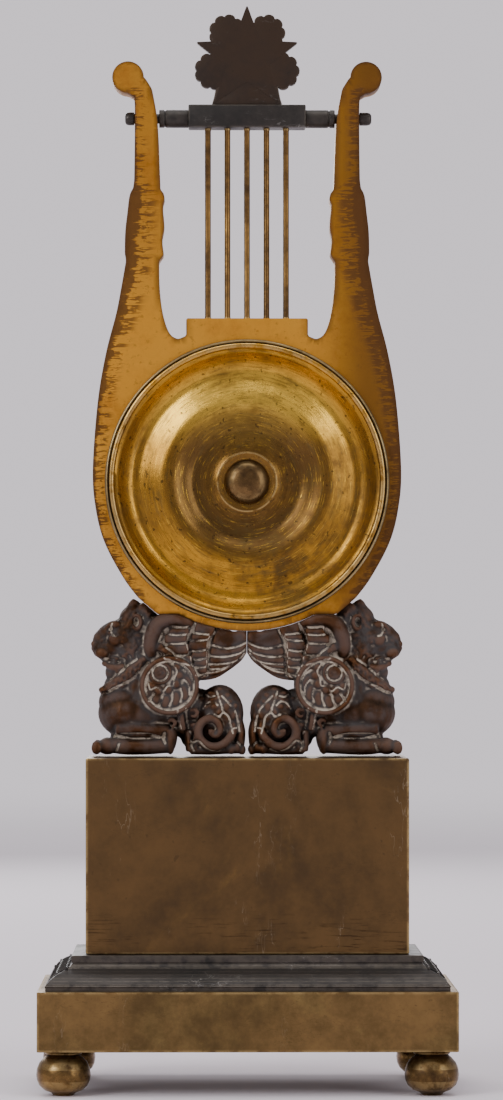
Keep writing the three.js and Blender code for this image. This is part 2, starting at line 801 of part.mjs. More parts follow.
// The rod runs through both arms. One end has a fixed knob and the other a screwed one.
function crossbarRod() {
  const end = knobStart + knobReach;
  const knobRadius = knobDiameter / 2;
  return turnedAlongX(
    [
      [0, -knobStart - knobReach + clearance],
      [rodDiameter / 2, -knobStart - knobReach + clearance],
      [rodDiameter / 2, knobStart],
      [knobRadius, knobStart],
      [knobRadius, end - knobRadius / 2],
      [knobRadius / 2, end],
      [0, end],
    ],
    smallSegments, barY, barAxisHeight,
  );
}

function crossbarKnob() {
  const end = knobStart + knobReach + overrun;
  const knobRadius = knobDiameter / 2;
  const inside = rodDiameter / 2 + clearance;
  const bottom = knobStart + knobReach;
  return turnedAlongX(
    [
      [0, -bottom], [inside, -bottom], [inside, -knobStart], [knobRadius, -knobStart],
      [knobRadius, -end + knobRadius / 2], [knobRadius / 2, -end], [0, -end],
    ],
    smallSegments, barY, barAxisHeight,
  );
}

function crossbarSleeve(side) {
  const from = blockLength / 2;
  const to = armInnerX - clearance;
  const inside = rodDiameter / 2 + clearance;
  const outside = sleeveDiameter / 2;
  const profile = [[inside, from], [outside, from], [outside, to], [inside, to], [inside, from]];
  const placed = profile.map(([radius, along]) => [radius, side * along]);
  return turnedAlongX(placed, smallSegments, barY, barAxisHeight);
}

const starWaistShare = 0.42;
const neckWaistShare = 0.886;
const petalNotchShare = 0.84;
const crownLobeShares = [[-0.365, 0.48], [0.365, 0.48], [-0.63, -0.22], [0.63, -0.22]];

// A five-pointed star behind four scalloped flowers, on a flared neck. Its rear is flat.
function crownOrnament() {
  const centreZ = blockTop + crownCentreRise;
  const rear = barY + crownThickness / 2;
  const front = barY - crownThickness / 2;
  const star = [];
  for (let i = 0; i < 10; i++) {
    const radius = crownStarRadius * (i % 2 ? starWaistShare : 1);
    const angle = Math.PI / 2 + (i * Math.PI) / 5;
    star.push([radius * Math.cos(angle), centreZ + radius * Math.sin(angle)]);
  }
  const neckTop = centreZ - crownLobeDiameter / 4;
  const neckWaist = crownNeckHalfWidth * neckWaistShare;
  const neckMid = blockTop + crownNeckHeight;
  const neck = [
    [-crownNeckHalfWidth, blockTop], [crownNeckHalfWidth, blockTop], [neckWaist, neckMid],
    [neckWaist, neckTop], [-neckWaist, neckTop], [-neckWaist, neckMid],
  ];
  const flowers = crownLobeShares.map(([across, up]) => {
    const outline = [];
    const steps = 2 * crownPetals;
    for (let i = 0; i < steps; i++) {
      const angle = (2 * Math.PI * i) / steps;
      const radius = (crownLobeDiameter / 2) * (i % 2 ? 1 : petalNotchShare);
      outline.push([
        across * crownStarRadius + radius * Math.cos(angle),
        centreZ + up * crownStarRadius + radius * Math.sin(angle),
      ]);
    }
    return profileAlongY(outline, front, rear);
  });
  const lowerStar = profileAlongY(star, front + crownThickness / 4, rear);
  return joined(lowerStar, profileAlongY(neck, front + crownThickness / 4, rear), ...flowers);
}
const hingeX = -(bezelRadius + knuckleDiameter / 2 + clearance);
const hingeY = -drumFront - clearance / 2;
const knuckleStart = knuckleLength / 2 + clearance;
const knuckleEnd = knuckleStart + knuckleLength;

// The round case: a band with an inner ledge that the dial and the movement rest on, and two hinge knuckles.
function drum() {
  const inside = drumRadius - drumWall;
  const ledgeFront = -drumFront + ledgeSetback;
  const band = turnedAlongY(
    [
      [drumRadius, -drumFront], [drumRadius, drumRear], [inside, drumRear], [inside, movementFront],
      [inside - ledgeWidth, movementFront], [inside - ledgeWidth, ledgeFront], [inside, ledgeFront],
      [inside, -drumFront], [drumRadius, -drumFront],
    ],
    roundSegments,
  );
  const leafRear = hingeY + knuckleDiameter / 2;
  const leafFront = hingeY + clearance;
  const leafInner = -Math.sqrt(drumRadius ** 2 - knuckleEnd ** 2) + drumWall / 2;
  let whole = band;
  for (const side of [-1, 1]) {
    const near = dialZ + side * knuckleStart;
    const far = dialZ + side * knuckleEnd;
    const low = Math.min(near, far);
    const high = Math.max(near, far);
    whole = whole
      .add(rodAlongZ(knuckleDiameter / 2, low, high, smallSegments, hingeX, hingeY))
      .add(block(hingeX, leafInner, leafFront, leafRear, low, high));
  }
  return whole.subtract(hingeBore());
}

function hingeBore() {
  const reach = knuckleEnd + overrun;
  const radius = hingePinDiameter / 2 + clearance;
  return rodAlongZ(radius, dialZ - reach, dialZ + reach, holeSides, hingeX, hingeY);
}

function hingePin() {
  return rodAlongZ(hingePinDiameter / 2, dialZ - knuckleEnd, dialZ + knuckleEnd, holeSides, hingeX, hingeY);
}

// The turned ring against the back of the lyre, with a raised lip round the back cover.
function rearRing() {
  const inside = drumRadius + clearance;
  const step = lyreBack + ringThickness;
  const lip = ringRadius - ringLipWidth;
  return turnedAlongY(
    [
      [inside, lyreBack], [ringRadius, lyreBack], [ringRadius, step + ringLipHeight / 2],
      [ringRadius - ringLipWidth / 2, step + ringLipHeight], [lip, step + ringLipHeight / 2], [lip, step],
      [inside, step], [inside, lyreBack],
    ],
    roundSegments,
  );
}

// Radius as a share of the cover's, and depth below the bead as a share of the dish's depth.
const coverShares = [
  [1, 0.14], [0.985, 0], [0.965, 0.1], [0.87, 0.78], [0.81, 0.98], [0.66, 0.5], [0.58, 0.32],
  [0.46, 0.62], [0.39, 0.95], [0.215, 0.95], [0.205, 0.9],
];
const coverInsideShares = [[0.2, 0.95], [0.39, 0.95], [0.56, 0.36], [0.81, 0.98], [0.87, 0.78]];
const coverRadius = ringRadius - ringLipWidth - clearance;
const coverBeadBase = lyreBack + ringThickness + clearance;
const coverTop = coverBeadBase + coverBeadHeight;
const coverPad = coverTop - coverDepth * coverShares.at(-1)[1];

// A thin turned dish with a bead round it and a skirt that slides into the drum.
function backCover() {
  const face = coverShares.map(([radius, depth]) => [radius * coverRadius, coverTop - depth * coverDepth]);
  const inside = coverInsideShares.map(([radius, depth]) => [
    radius * coverRadius,
    coverTop - depth * coverDepth - coverWall,
  ]);
  const holeRadius = bossStudDiameter / 2 + clearance;
  const skirtOutside = drumRadius - drumWall - clearance;
  const skirtInside = skirtOutside - coverWall;
  const flange = drumRear + clearance;
  return turnedAlongY(
    [
      [holeRadius, inside.at(0)[1]], ...inside, [skirtInside, inside.at(-1)[1] + coverWall],
      [skirtInside, flange - coverSkirtDepth], [skirtOutside, flange - coverSkirtDepth],
      [skirtOutside, flange], [drumRadius, flange], [drumRadius, coverBeadBase],
      [coverRadius, coverBeadBase], ...face,
      [holeRadius, coverPad], [holeRadius, inside.at(0)[1]],
    ],
    roundSegments,
  );
}

const bossShares = [[1, 0.14], [0.9, 0.5], [0.66, 0.8], [0.34, 0.95], [0, 1]];

function backCoverBoss() {
  const radius = bossDiameter / 2;
  const profile = [[0, coverPad - bossStudLength], [bossStudDiameter / 2, coverPad - bossStudLength],
    [bossStudDiameter / 2, coverPad], [radius, coverPad]];
  for (const [across, up] of bossShares) profile.push([radius * across, coverPad + bossHeight * up]);
  return turnedAlongY(profile, footSegments);
}

const bezelLipShare = 0.42;
const bezelShares = [
  [1, 0], [1, 0.28], [0.72, 0.8], [0.58, 1], [0.42, 0.92], [0, 0.69], [0, 0.58],
];
const glassSeatShare = 0.68;
const glassRadius = bezelRadius - (bezelRadius - bezelSightRadius) * glassSeatShare;

// The glazed front ring, with its hinge knuckle at the side.
function bezel() {
  const rear = -drumFront - clearance;
  const front = rear - bezelDepth;
  const profile = [[glassRadius + clearance, rear]];
  for (const [across, along] of bezelShares) {
    const width = bezelRadius - bezelSightRadius;
    profile.push([bezelSightRadius + width * across, rear - bezelDepth * along]);
  }
  profile.push([glassRadius + clearance, front + bezelDepth * bezelLipShare]);
  profile.push(profile[0]);
  const ring = turnedAlongY(profile, roundSegments);
  const half = knuckleLength / 2;
  const knuckle = rodAlongZ(knuckleDiameter / 2, dialZ - half, dialZ + half, smallSegments, hingeX, hingeY);
  const leaf = block(hingeX, -bezelRadius + drumWall, hingeY - knuckleDiameter / 2, hingeY - clearance,
    dialZ - half, dialZ + half);
  return joined(ring, knuckle, leaf).subtract(hingeBore());
}
// A shallow glass dome that rests behind the lip of the bezel.
function glass() {
  const seat = -drumFront - clearance - bezelDepth * (1 - bezelLipShare);
  const front = [[0, seat - glassRise], [bezelSightRadius, seat]];
  const back = front.map(([radius, along]) => [radius, along + glassThickness]).reverse();
  return turnedAlongY(
    [...front, [glassRadius, seat], [glassRadius, seat + glassThickness], ...back],
    roundSegments,
  );
}

function dial() {
  const rear = -drumFront + ledgeSetback;
  const face = rear - dialThickness;
  const disc = rod(drumRadius - drumWall - clearance, face, rear, roundSegments);
  const centreHole = rod(hourPipeRadius + clearance, face - overrun, rear + overrun, holeSides);
  const windingHole = rod(barrelArborDiameter / 2 + 2 * clearance, face - overrun, rear + overrun, holeSides,
    barrelAxis.x, barrelAxis.z);
  return disc.subtract(centreHole).subtract(windingHole);
}

const handRingShare = 0.68;
const handRingWidthShare = 0.6;
const handRingBoreShare = 0.62;
const handRootShare = 0.42;
const handWaistShare = 0.2;

// A hand with a round hub, a tapering blade and an open ring towards the tip.
function hand(length, front, bore, turn) {
  const rear = front + handThickness;
  const width = handHubDiameter / 2;
  const ringAt = length * handRingShare;
  const ring = width * handRingWidthShare;
  const root = width * handRootShare;
  const waist = width * handWaistShare;
  const blade = [[-root, 0], [root, 0], [waist, ringAt], [0, length], [-waist, ringAt]];
  const flat = joined(
    profileAlongY(blade, front, rear),
    plate(new THREE.Shape(circlePath(0, 0, width, smallSegments).getPoints()), front, rear),
    plate(new THREE.Shape(circlePath(0, ringAt, ring, holeSides).getPoints()), front, rear),
  )
    .subtract(rod(bore, front - overrun, rear + overrun, smallSegments, 0, 0))
    .subtract(rod(ring * handRingBoreShare, front - overrun, rear + overrun, holeSides, 0, ringAt));
  return solidOf(geometryOf(flat).rotateY(turn).translate(0, 0, dialZ));
}

// Axes of the movement, seen from the front
function axisFrom(start, distance, angle) {
  return { x: start.x + distance * Math.cos(angle), z: start.z + distance * Math.sin(angle) };
}
const centreAxis = { x: 0, z: dialZ };
const barrelAngle = Math.PI * 1.25;
const barrelReach = (barrelModule * (barrelTeeth + centrePinionLeaves)) / 2;
const barrelAxis = axisFrom(centreAxis, barrelReach, barrelAngle);
const palletAxis = { x: 0, z: dialZ + palletRise };
const escapeAxis = { x: 0, z: palletAxis.z - palletDistance };
const fourthDistance = (fourthModule * (fourthTeeth + trainPinionLeaves)) / 2;
const fourthAngle = -0.25;
const fourthAxis = axisFrom(escapeAxis, fourthDistance, fourthAngle);
const thirdAxis = cornerBetween(
  centreAxis, (centreModule * (centreTeeth + trainPinionLeaves)) / 2,
  fourthAxis, (thirdModule * (thirdTeeth + trainPinionLeaves)) / 2,
);
const motionDistance = (cannonModule * (cannonLeaves + minuteWheelTeeth)) / 2;
const minuteModule = (2 * motionDistance) / (minutePinionLeaves + hourWheelTeeth);
const minuteAngle = 0.35;
const minuteAxis = axisFrom(centreAxis, motionDistance, minuteAngle);

// The point on the right of the line a-b that lies at the two given distances.
function cornerBetween(a, fromA, b, fromB) {
  const span = Math.hypot(b.x - a.x, b.z - a.z);
  const along = (fromA ** 2 - fromB ** 2 + span ** 2) / (2 * span);
  const aside = Math.sqrt(fromA ** 2 - along ** 2);
  const ux = (b.x - a.x) / span;
  const uz = (b.z - a.z) / span;
  return { x: a.x + along * ux + aside * uz, z: a.z + along * uz - aside * ux };
}

function angleTo(from, to) {
  return Math.atan2(to.z - from.z, to.x - from.x);
}

// The phase at which a driven gear has a gap where the driver has a tooth.
function meshedPhase(driver, driverTeeth, driverPhase, driven, drivenTeeth) {
  const line = angleTo(driver, driven);
  const toothPhase = (driverTeeth * (line - driverPhase)) / (2 * Math.PI);
  return line + Math.PI - ((2 * Math.PI) / drivenTeeth) * (0.5 - toothPhase);
}

// Depths between the plates, as shares of the gap behind the front plate.
const levelShares = { barrel: 0.08, centre: 0.68, third: 0.87, fourth: 0.385, escape: 0.15 };

function level(share) {
  return gapFront + share * plateGap;
}

const toothAddendumShare = 0.85;
const toothDedendumShare = 1.5;

// Pointed teeth between pointed gaps.
function toothPoints(teeth, module, phase) {
  const pitchRadius = (module * teeth) / 2;
  const tip = pitchRadius + module * toothAddendumShare;
  const root = pitchRadius - module * toothDedendumShare;
  const pitch = (2 * Math.PI) / teeth;
  const points = [];
  for (let i = 0; i < teeth; i++) {
    const middle = phase + i * pitch;
    for (const [radius, share] of [[tip, 0], [root, 1 / 2]]) {
      const angle = middle + share * pitch;
      points.push([radius * Math.cos(angle), radius * Math.sin(angle)]);
    }
  }
  return points;
}

// Openings between the spokes of a wheel.
function crossings(count, inner, outer, spokeWidth) {
  const holes = [];
  const steps = 2;
  for (let i = 0; i < count; i++) {
    const start = (2 * Math.PI * i) / count;
    const end = (2 * Math.PI * (i + 1)) / count;
    const points = [];
    const sweep = (radius, from, to, parts) => {
      const slack = spokeWidth / 2 / radius;
      const first = from < to ? from + slack : from - slack;
      const last = from < to ? to - slack : to + slack;
      for (let k = 0; k <= parts; k++) {
        const angle = first + ((last - first) * k) / parts;
        points.push(new THREE.Vector2(radius * Math.cos(angle), radius * Math.sin(angle)));
      }
    };
    sweep(outer, start, end, steps);
    sweep(inner, end, start, 1);
    holes.push(new THREE.Path(points));
  }
  return holes;
}

function gearPlate(axis, outline, front, rear, holes = []) {
  const shape = shapeOf(outline);
  shape.holes = holes;
  return solidOf(geometryOf(plate(shape, front, rear)).translate(axis.x, 0, axis.z));
}

function spokedWheel(axis, teeth, module, phase, front) {
  const inside = (module * teeth) / 2 - module * toothDedendumShare - wheelRim;
  const holes = crossings(spokeCount, hubDiameter / 2, inside, wheelRim);
  return gearPlate(axis, toothPoints(teeth, module, phase), front, front + wheelThickness, holes);
}

function pinion(axis, leaves, module, phase, front, rear) {
  return gearPlate(axis, toothPoints(leaves, module, phase), front, rear);
}

function plainWheel(axis, teeth, module, phase, front) {
  return pinion(axis, teeth, module, phase, front, front + wheelThickness);
}

// A plain arbor between the plates with a pivot at each end.
function arbor(axis, forward = gapFront, rearward = gapRear) {
  const pivot = pivotDiameter / 2;
  const body = arborDiameter / 2;
  const bite = plateThickness - clearance;
  return turnedAlongY(
    [
      [0, forward - bite], [pivot, forward - bite], [pivot, forward + clearance],
      [body, forward + clearance], [body, rearward - clearance], [pivot, rearward - clearance],
      [pivot, rearward + bite], [0, rearward + bite],
    ],
    holeSides, axis.x, axis.z,
  );
}

const centrePhase = 0;
const barrelPhase = 0;
const centrePinionPhase = meshedPhase(barrelAxis, barrelTeeth, barrelPhase, centreAxis, centrePinionLeaves);
const thirdPinionPhase = meshedPhase(centreAxis, centreTeeth, centrePhase, thirdAxis, trainPinionLeaves);
const fourthPinionPhase = meshedPhase(thirdAxis, thirdTeeth, 0, fourthAxis, trainPinionLeaves);
const escapePinionPhase = meshedPhase(fourthAxis, fourthTeeth, 0, escapeAxis, trainPinionLeaves);
const minuteWheelPhase = meshedPhase(centreAxis, cannonLeaves, 0, minuteAxis, minuteWheelTeeth);
const hourWheelPhase = meshedPhase(minuteAxis, minutePinionLeaves, 0, centreAxis, hourWheelTeeth);

// A drum open at the front, with its teeth round the rear.
function barrel() {
  const front = level(levelShares.barrel);
  const rear = front + barrelHeight;
  const toothFront = rear - wheelThickness;
  const rootRadius = (barrelModule * barrelTeeth) / 2 - barrelModule * toothDedendumShare;
  const outside = rootRadius - barrelWall;
  const inside = outside - barrelWall;
  const bore = barrelArborDiameter / 2 + clearance;
  const outline = toothPoints(barrelTeeth, barrelModule, barrelPhase);
  const teeth = gearPlate(barrelAxis, outline, toothFront, rear);
  const wall = turnedAlongY(
    [[inside, front], [outside, front], [outside, rear], [inside, rear], [inside, front]],
    barrelSegments, barrelAxis.x, barrelAxis.z,
  );
  const hole = rod(bore, toothFront - overrun, rear + overrun, holeSides, barrelAxis.x, barrelAxis.z);
  return teeth.add(wall).subtract(hole);
}

const barrelInside = (barrelModule * barrelTeeth) / 2 - barrelModule * toothDedendumShare - 2 * barrelWall;

function barrelCover() {
  const front = level(levelShares.barrel);
  const rear = front + wheelThickness;
  const disc = rod(barrelInside - clearance, front, rear, barrelSegments, barrelAxis.x, barrelAxis.z);
  const bore = barrelArborDiameter / 2 + clearance;
  return disc.subtract(rod(bore, front - overrun, rear + overrun, holeSides, barrelAxis.x, barrelAxis.z));
}

// The mainspring, a flat spiral strip from the arbor out to the wall.
function mainspring() {
  const front = level(levelShares.barrel) + wheelThickness + clearance;
  const rear = level(levelShares.barrel) + barrelHeight - wheelThickness - clearance;
  const inner = barrelArborDiameter / 2 + clearance;
  const outer = barrelInside - clearance - springThickness;
  const steps = springTurns * springStepsPerTurn;
  const edge = (extra) => {
    const points = [];
    for (let i = 0; i <= steps; i++) {
      const angle = (2 * Math.PI * springTurns * i) / steps;
      const radius = inner + extra + ((outer - inner) * i) / steps;
      points.push([radius * Math.cos(angle), radius * Math.sin(angle)]);
    }
    return points;
  };
  return gearPlate(barrelAxis, [...edge(springThickness), ...edge(0).reverse()], front, rear);
}

// The winding arbor runs through both plates to the dial, and carries the ratchet wheel at its rear.
function windingArbor() {
  const radius = barrelArborDiameter / 2;
  const front = -drumFront + ledgeSetback - dialThickness / 2;
  const rear = backPlateRear + clearance + ratchetThickness + clearance;
  const round = rod(radius, movementFront - overrun, rear, smallSegments, barrelAxis.x, barrelAxis.z);
  return round.add(rod(radius, front, movementFront - overrun / 2, squareSides, barrelAxis.x, barrelAxis.z));
}

const ratchetRootShare = 0.86;
const ratchetLeanShare = 0.12;

function ratchetWheel() {
  const front = backPlateRear + clearance;
  const outline = [];
  const step = (2 * Math.PI) / ratchetTeeth;
  const high = ratchetDiameter / 2;
  const low = high * ratchetRootShare;
  for (let i = 0; i < ratchetTeeth; i++) {
    const angle = step * i;
    outline.push([high * Math.cos(angle), high * Math.sin(angle)]);
    const back = angle + step * ratchetLeanShare;
    outline.push([low * Math.cos(back), low * Math.sin(back)]);
  }
  const rear = front + ratchetThickness;
  const bore = barrelArborDiameter / 2 + clearance;
  return gearPlate(barrelAxis, outline, front, rear).subtract(
    rod(bore, front - overrun, rear + overrun, smallSegments, barrelAxis.x, barrelAxis.z),
  );
}

// The click's place from the ratchet's axis, and its outline: shares of its half width and of its length.
const clickPlaceShares = [-0.69, 0.615];
const clickEyeShares = [[-1, 0.5], [-0.5, 1], [0.5, 1], [1, 0.5]];
const clickBeakShares = [[1.1, -0.5], [1.5, -0.86], [0.6, -0.8], [-0.4, -0.55]];
const clickAxis = {
  x: barrelAxis.x + clickPlaceShares[0] * ratchetDiameter,
  z: barrelAxis.z + clickPlaceShares[1] * ratchetDiameter,
};

// The click, held clear of the ratchet teeth.
function click() {
  const half = clickWidth / 2;
  const front = backPlateRear + clearance;
  const outline = [
    ...clickEyeShares.map(([across, up]) => [across * half, up * half]),
    ...clickBeakShares.map(([across, up]) => [across * half, up * clickLength]),
  ];
  const bore = pivotDiameter / 2 + clearance;
  return gearPlate(clickAxis, outline, front, front + ratchetThickness).subtract(
    rod(bore, front - overrun, front + ratchetThickness + overrun, holeSides, clickAxis.x, clickAxis.z),
  );
}

// The centre arbor carries wheel and pinion, and runs forward through the dial to the hands.
function centreWheel() {
  const bite = plateThickness - clearance;
  const shaft = turnedAlongY(
    [
      [0, handNutFront], [frontArborRadius, handNutFront], [frontArborRadius, gapFront + clearance],
      [arborDiameter / 2, gapFront + clearance], [arborDiameter / 2, gapRear - clearance],
      [pivotDiameter / 2, gapRear - clearance], [pivotDiameter / 2, gapRear + bite], [0, gapRear + bite],
    ],
    holeSides,
  );
  const teeth = level(levelShares.barrel) + barrelHeight - wheelThickness / 2;
  const front = level(levelShares.centre);
  return joined(
    shaft,
    spokedWheel(centreAxis, centreTeeth, centreModule, centrePhase, front),
    pinion(centreAxis, centrePinionLeaves, barrelModule, centrePinionPhase,
      teeth - wheelThickness, teeth + wheelThickness),
  );
}

function trainWheel(axis, teeth, module, wheelShare, drivenShare, drivenModule, pinionPhase) {
  const driven = level(drivenShare) + wheelThickness / 2;
  const front = driven - wheelThickness;
  return joined(
    arbor(axis),
    plainWheel(axis, teeth, module, 0, level(wheelShare)),
    pinion(axis, trainPinionLeaves, drivenModule, pinionPhase, front, driven + wheelThickness),
  );
}

const escapeRootShare = 0.86;
const escapeLeanShare = 0.35;

function escapeWheel() {
  const front = level(levelShares.escape);
  const driven = level(levelShares.fourth) + wheelThickness / 2;
  const outline = [];
  for (let i = 0; i < escapeTeeth; i++) {
    const angle = (2 * Math.PI * i) / escapeTeeth;
    const low = escapeRadius * escapeRootShare;
    const back = angle + (2 * Math.PI * escapeLeanShare) / escapeTeeth;
    outline.push([escapeRadius * Math.cos(angle), escapeRadius * Math.sin(angle)]);
    outline.push([low * Math.cos(back), low * Math.sin(back)]);
  }
  return joined(
    arbor(escapeAxis),
    gearPlate(escapeAxis, outline, front, front + wheelThickness),
    pinion(escapeAxis, trainPinionLeaves, fourthModule, escapePinionPhase,
      driven - wheelThickness, driven + wheelThickness),
  );
}

const anchorShares = [[0.14, 0.2], [0.68, -0.22], [0.77, -0.5], [0.62, -0.53], [0.54, -0.3], [0.1, -0.14]];

// The anchor above the escape wheel, on an arbor that runs back through the plate to the cock.
function palletArbor() {
  const front = level(levelShares.escape);
  const cockFront = backPlateRear + cockStandoff;
  const bite = plateThickness - clearance;
  const shaft = turnedAlongY(
    [
      [0, gapFront - bite], [pivotDiameter / 2, gapFront - bite], [pivotDiameter / 2, gapFront + clearance],
      [arborDiameter / 2, gapFront + clearance], [arborDiameter / 2, cockFront - clearance],
      [pivotDiameter / 2, cockFront - clearance], [pivotDiameter / 2, cockFront + cockThickness - clearance],
      [0, cockFront + cockThickness - clearance],
    ],
    holeSides, palletAxis.x, palletAxis.z,
  );
  const half = anchorShares.map(([across, up]) => [across * palletDistance, up * palletDistance]);
  const outline = [...half, ...half.map(([x, z]) => [-x, z]).reverse()];
  return shaft.add(gearPlate(palletAxis, outline, front, front + wheelThickness));
}

const pendulumY = backPlateRear + cockStandoff / 2 + clearance;

// A short pendulum on the rear of the pallet arbor, with a rating nut below the bob.
function pendulum() {
  const y = pendulumY;
  const half = bobThickness / 2;
  const bobZ = palletAxis.z - pendulumLength;
  const hubRadius = arborDiameter / 2 + pendulumHubWall;
  const hub = rod(hubRadius, y - half, y + half, smallSegments, palletAxis.x, palletAxis.z);
  const bore = rod(arborDiameter / 2 + clearance, y - bobThickness, y + bobThickness, holeSides,
    palletAxis.x, palletAxis.z);
  const nutTop = bobZ - bobDiameter / 2 - clearance;
  const nutRadius = pendulumRodDiameter;
  const stemTop = palletAxis.z - hubRadius / 2 - clearance;
  const stem = rodAlongZ(pendulumRodDiameter / 2, nutTop - nutRadius, stemTop, holeSides, 0, y);
  const nut = rodAlongZ(nutRadius, nutTop - nutRadius, nutTop, holeSides, 0, y);
  return joined(hub, stem, nut).subtract(bore);
}

function pendulumBob() {
  const bobZ = palletAxis.z - pendulumLength;
  const half = bobThickness / 2;
  const lens = turnedAlongY(
    [[0, pendulumY - half], [bobDiameter / 4, pendulumY - half], [bobDiameter / 2, pendulumY - half / 3],
      [bobDiameter / 2, pendulumY + half / 3], [bobDiameter / 4, pendulumY + half], [0, pendulumY + half]],
    footSegments, 0, bobZ,
  );
  const bore = rodAlongZ(pendulumRodDiameter / 2 + clearance, bobZ - bobDiameter, bobZ + bobDiameter,
    holeSides, 0, pendulumY);
  return lens.subtract(bore);
}

// The bridge that holds the rear pivot of the pallet arbor, on two posts.
function backCock() {
  const front = backPlateRear + cockStandoff;
  const half = cockSpan / 2;
  const across = cockWidth / 2;
  const corner = across / 2;
  const outline = [
    [-half, -corner], [corner - half, -across], [half - corner, -across], [half, -corner],
    [half, corner], [half - corner, across], [corner - half, across], [-half, corner],
  ].map(([x, z]) => [x, palletAxis.z + clearance + z]);
  let whole = profileAlongY(outline, front, front + cockThickness);
  for (const side of [-1, 1]) {
    const x = side * (half - across);
    whole = whole.add(rod(across / 2, backPlateRear, front + cockThickness / 2, smallSegments, x,
      palletAxis.z + clearance));
  }
  const bore = pivotDiameter / 2 + clearance;
  return whole.subtract(rod(bore, front - overrun, front + cockThickness + overrun, holeSides,
    palletAxis.x, palletAxis.z));
}

function pivotHoles(front, rear, axes) {
  const radius = pivotDiameter / 2 + clearance;
  return axes.map((axis) => rod(radius, front - overrun, rear + overrun, pivotHoleSides, axis.x, axis.z));
}

// The front plate closes the drum behind the ledge, and has the post of the minute wheel.
function frontPlate() {
  const front = movementFront;
  const rear = gapFront;
  let whole = rod(drumRadius - drumWall - clearance, front, rear, roundSegments);
  whole = whole.add(rod(pivotDiameter / 2, minutePinionFront, rear, holeSides, minuteAxis.x, minuteAxis.z));
  const holes = pivotHoles(front, rear, [thirdAxis, fourthAxis, escapeAxis, palletAxis]);
  holes.push(rod(frontArborRadius + clearance, front - overrun, rear + overrun, holeSides));
  holes.push(rod(barrelArborDiameter / 2 + clearance, front - overrun, rear + overrun, holeSides,
    barrelAxis.x, barrelAxis.z));
  return holes.reduce((plateSoFar, hole) => plateSoFar.subtract(hole), whole);
}

function backPlate() {
  let whole = rod(backPlateRadius, gapRear, backPlateRear, roundSegments);
  const postEnd = backPlateRear + ratchetThickness + 2 * clearance;
  whole = whole.add(rod(pivotDiameter / 2, gapRear, postEnd, holeSides, clickAxis.x, clickAxis.z));
  const holes = pivotHoles(gapRear, backPlateRear, [centreAxis, thirdAxis, fourthAxis, escapeAxis]);
  for (const [axis, diameter] of [[barrelAxis, barrelArborDiameter], [palletAxis, arborDiameter]]) {
    const bore = diameter / 2 + clearance;
    holes.push(rod(bore, gapRear - overrun, backPlateRear + overrun, holeSides, axis.x, axis.z));
  }
  return holes.reduce((plateSoFar, hole) => plateSoFar.subtract(hole), whole);
}

const pillarAngles = [Math.PI * 0.19, Math.PI * 0.81, Math.PI * 1.58];
const pillarWaistShare = 0.72;

function pillar(angle) {
  const axis = axisFrom(centreAxis, pillarOrbit, angle);
  const radius = pillarDiameter / 2;
  const waist = radius * pillarWaistShare;
  return turnedAlongY(
    [[0, gapFront], [radius, gapFront], [radius, gapFront + wheelRim], [waist, gapFront + 2 * wheelRim],
      [waist, gapRear - 2 * wheelRim], [radius, gapRear - wheelRim], [radius, gapRear], [0, gapRear]],
    smallSegments, axis.x, axis.z,
  );
}

// Motion work between the front plate and the dial
const motionHubShare = 1.5;
const cannonWallShare = 0.75;
const cannonFront = movementFront - 2 * clearance - wheelThickness * motionHubShare;
const minuteWheelFront = movementFront - 2 * clearance - wheelThickness;
const hourWheelFront = minuteWheelFront - clearance - wheelThickness * motionHubShare;
const minutePinionFront = hourWheelFront - clearance;
const cannonPipeRadius = frontArborRadius + clearance + pipeWall * cannonWallShare;
const hourPipeRadius = cannonPipeRadius + clearance + pipeWall;
const hourHandFront = -drumFront + ledgeSetback - dialThickness - 2 * clearance - handThickness;
const minuteHandFront = hourHandFront - 2 * clearance - handThickness;
const handNutFront = minuteHandFront - clearance - handNutHeight;

function cannonPinion() {
  const bore = frontArborRadius + clearance;
  const rear = movementFront - clearance;
  const pipe = turnedAlongY(
    [[0, minuteHandFront], [cannonPipeRadius, minuteHandFront], [cannonPipeRadius, rear], [0, rear]],
    smallSegments,
  );
  return pipe.add(pinion(centreAxis, cannonLeaves, cannonModule, 0, cannonFront, rear))
    .subtract(rod(bore, minuteHandFront - overrun, rear + overrun, holeSides));
}

function minuteWheel() {
  const bore = pivotDiameter / 2 + clearance;
  const rear = minuteWheelFront + wheelThickness;
  return joined(
    plainWheel(minuteAxis, minuteWheelTeeth, cannonModule, minuteWheelPhase, minuteWheelFront),
    pinion(minuteAxis, minutePinionLeaves, minuteModule, 0, minutePinionFront, rear),
  ).subtract(rod(bore, minutePinionFront - overrun, rear + overrun, holeSides, minuteAxis.x, minuteAxis.z));
}

function hourWheel() {
  const bore = cannonPipeRadius + clearance;
  const rear = hourWheelFront + wheelThickness;
  return joined(
    plainWheel(centreAxis, hourWheelTeeth, minuteModule, hourWheelPhase, hourWheelFront),
    rod(hourPipeRadius, hourHandFront, rear, smallSegments),
  ).subtract(rod(bore, hourHandFront - overrun, rear + overrun, smallSegments));
}

function handNut() {
  const rear = minuteHandFront - clearance;
  return rod(handNutDiameter / 2, handNutFront, rear, smallSegments)
    .subtract(rod(frontArborRadius + clearance, handNutFront - overrun, rear + overrun, holeSides));
}

// The hands show ten minutes to two.
const shownHours = 1;
const shownMinutes = 50;
const minuteTurn = (2 * Math.PI * shownMinutes) / 60;
const hourTurn = (2 * Math.PI * shownHours + minuteTurn) / 12;

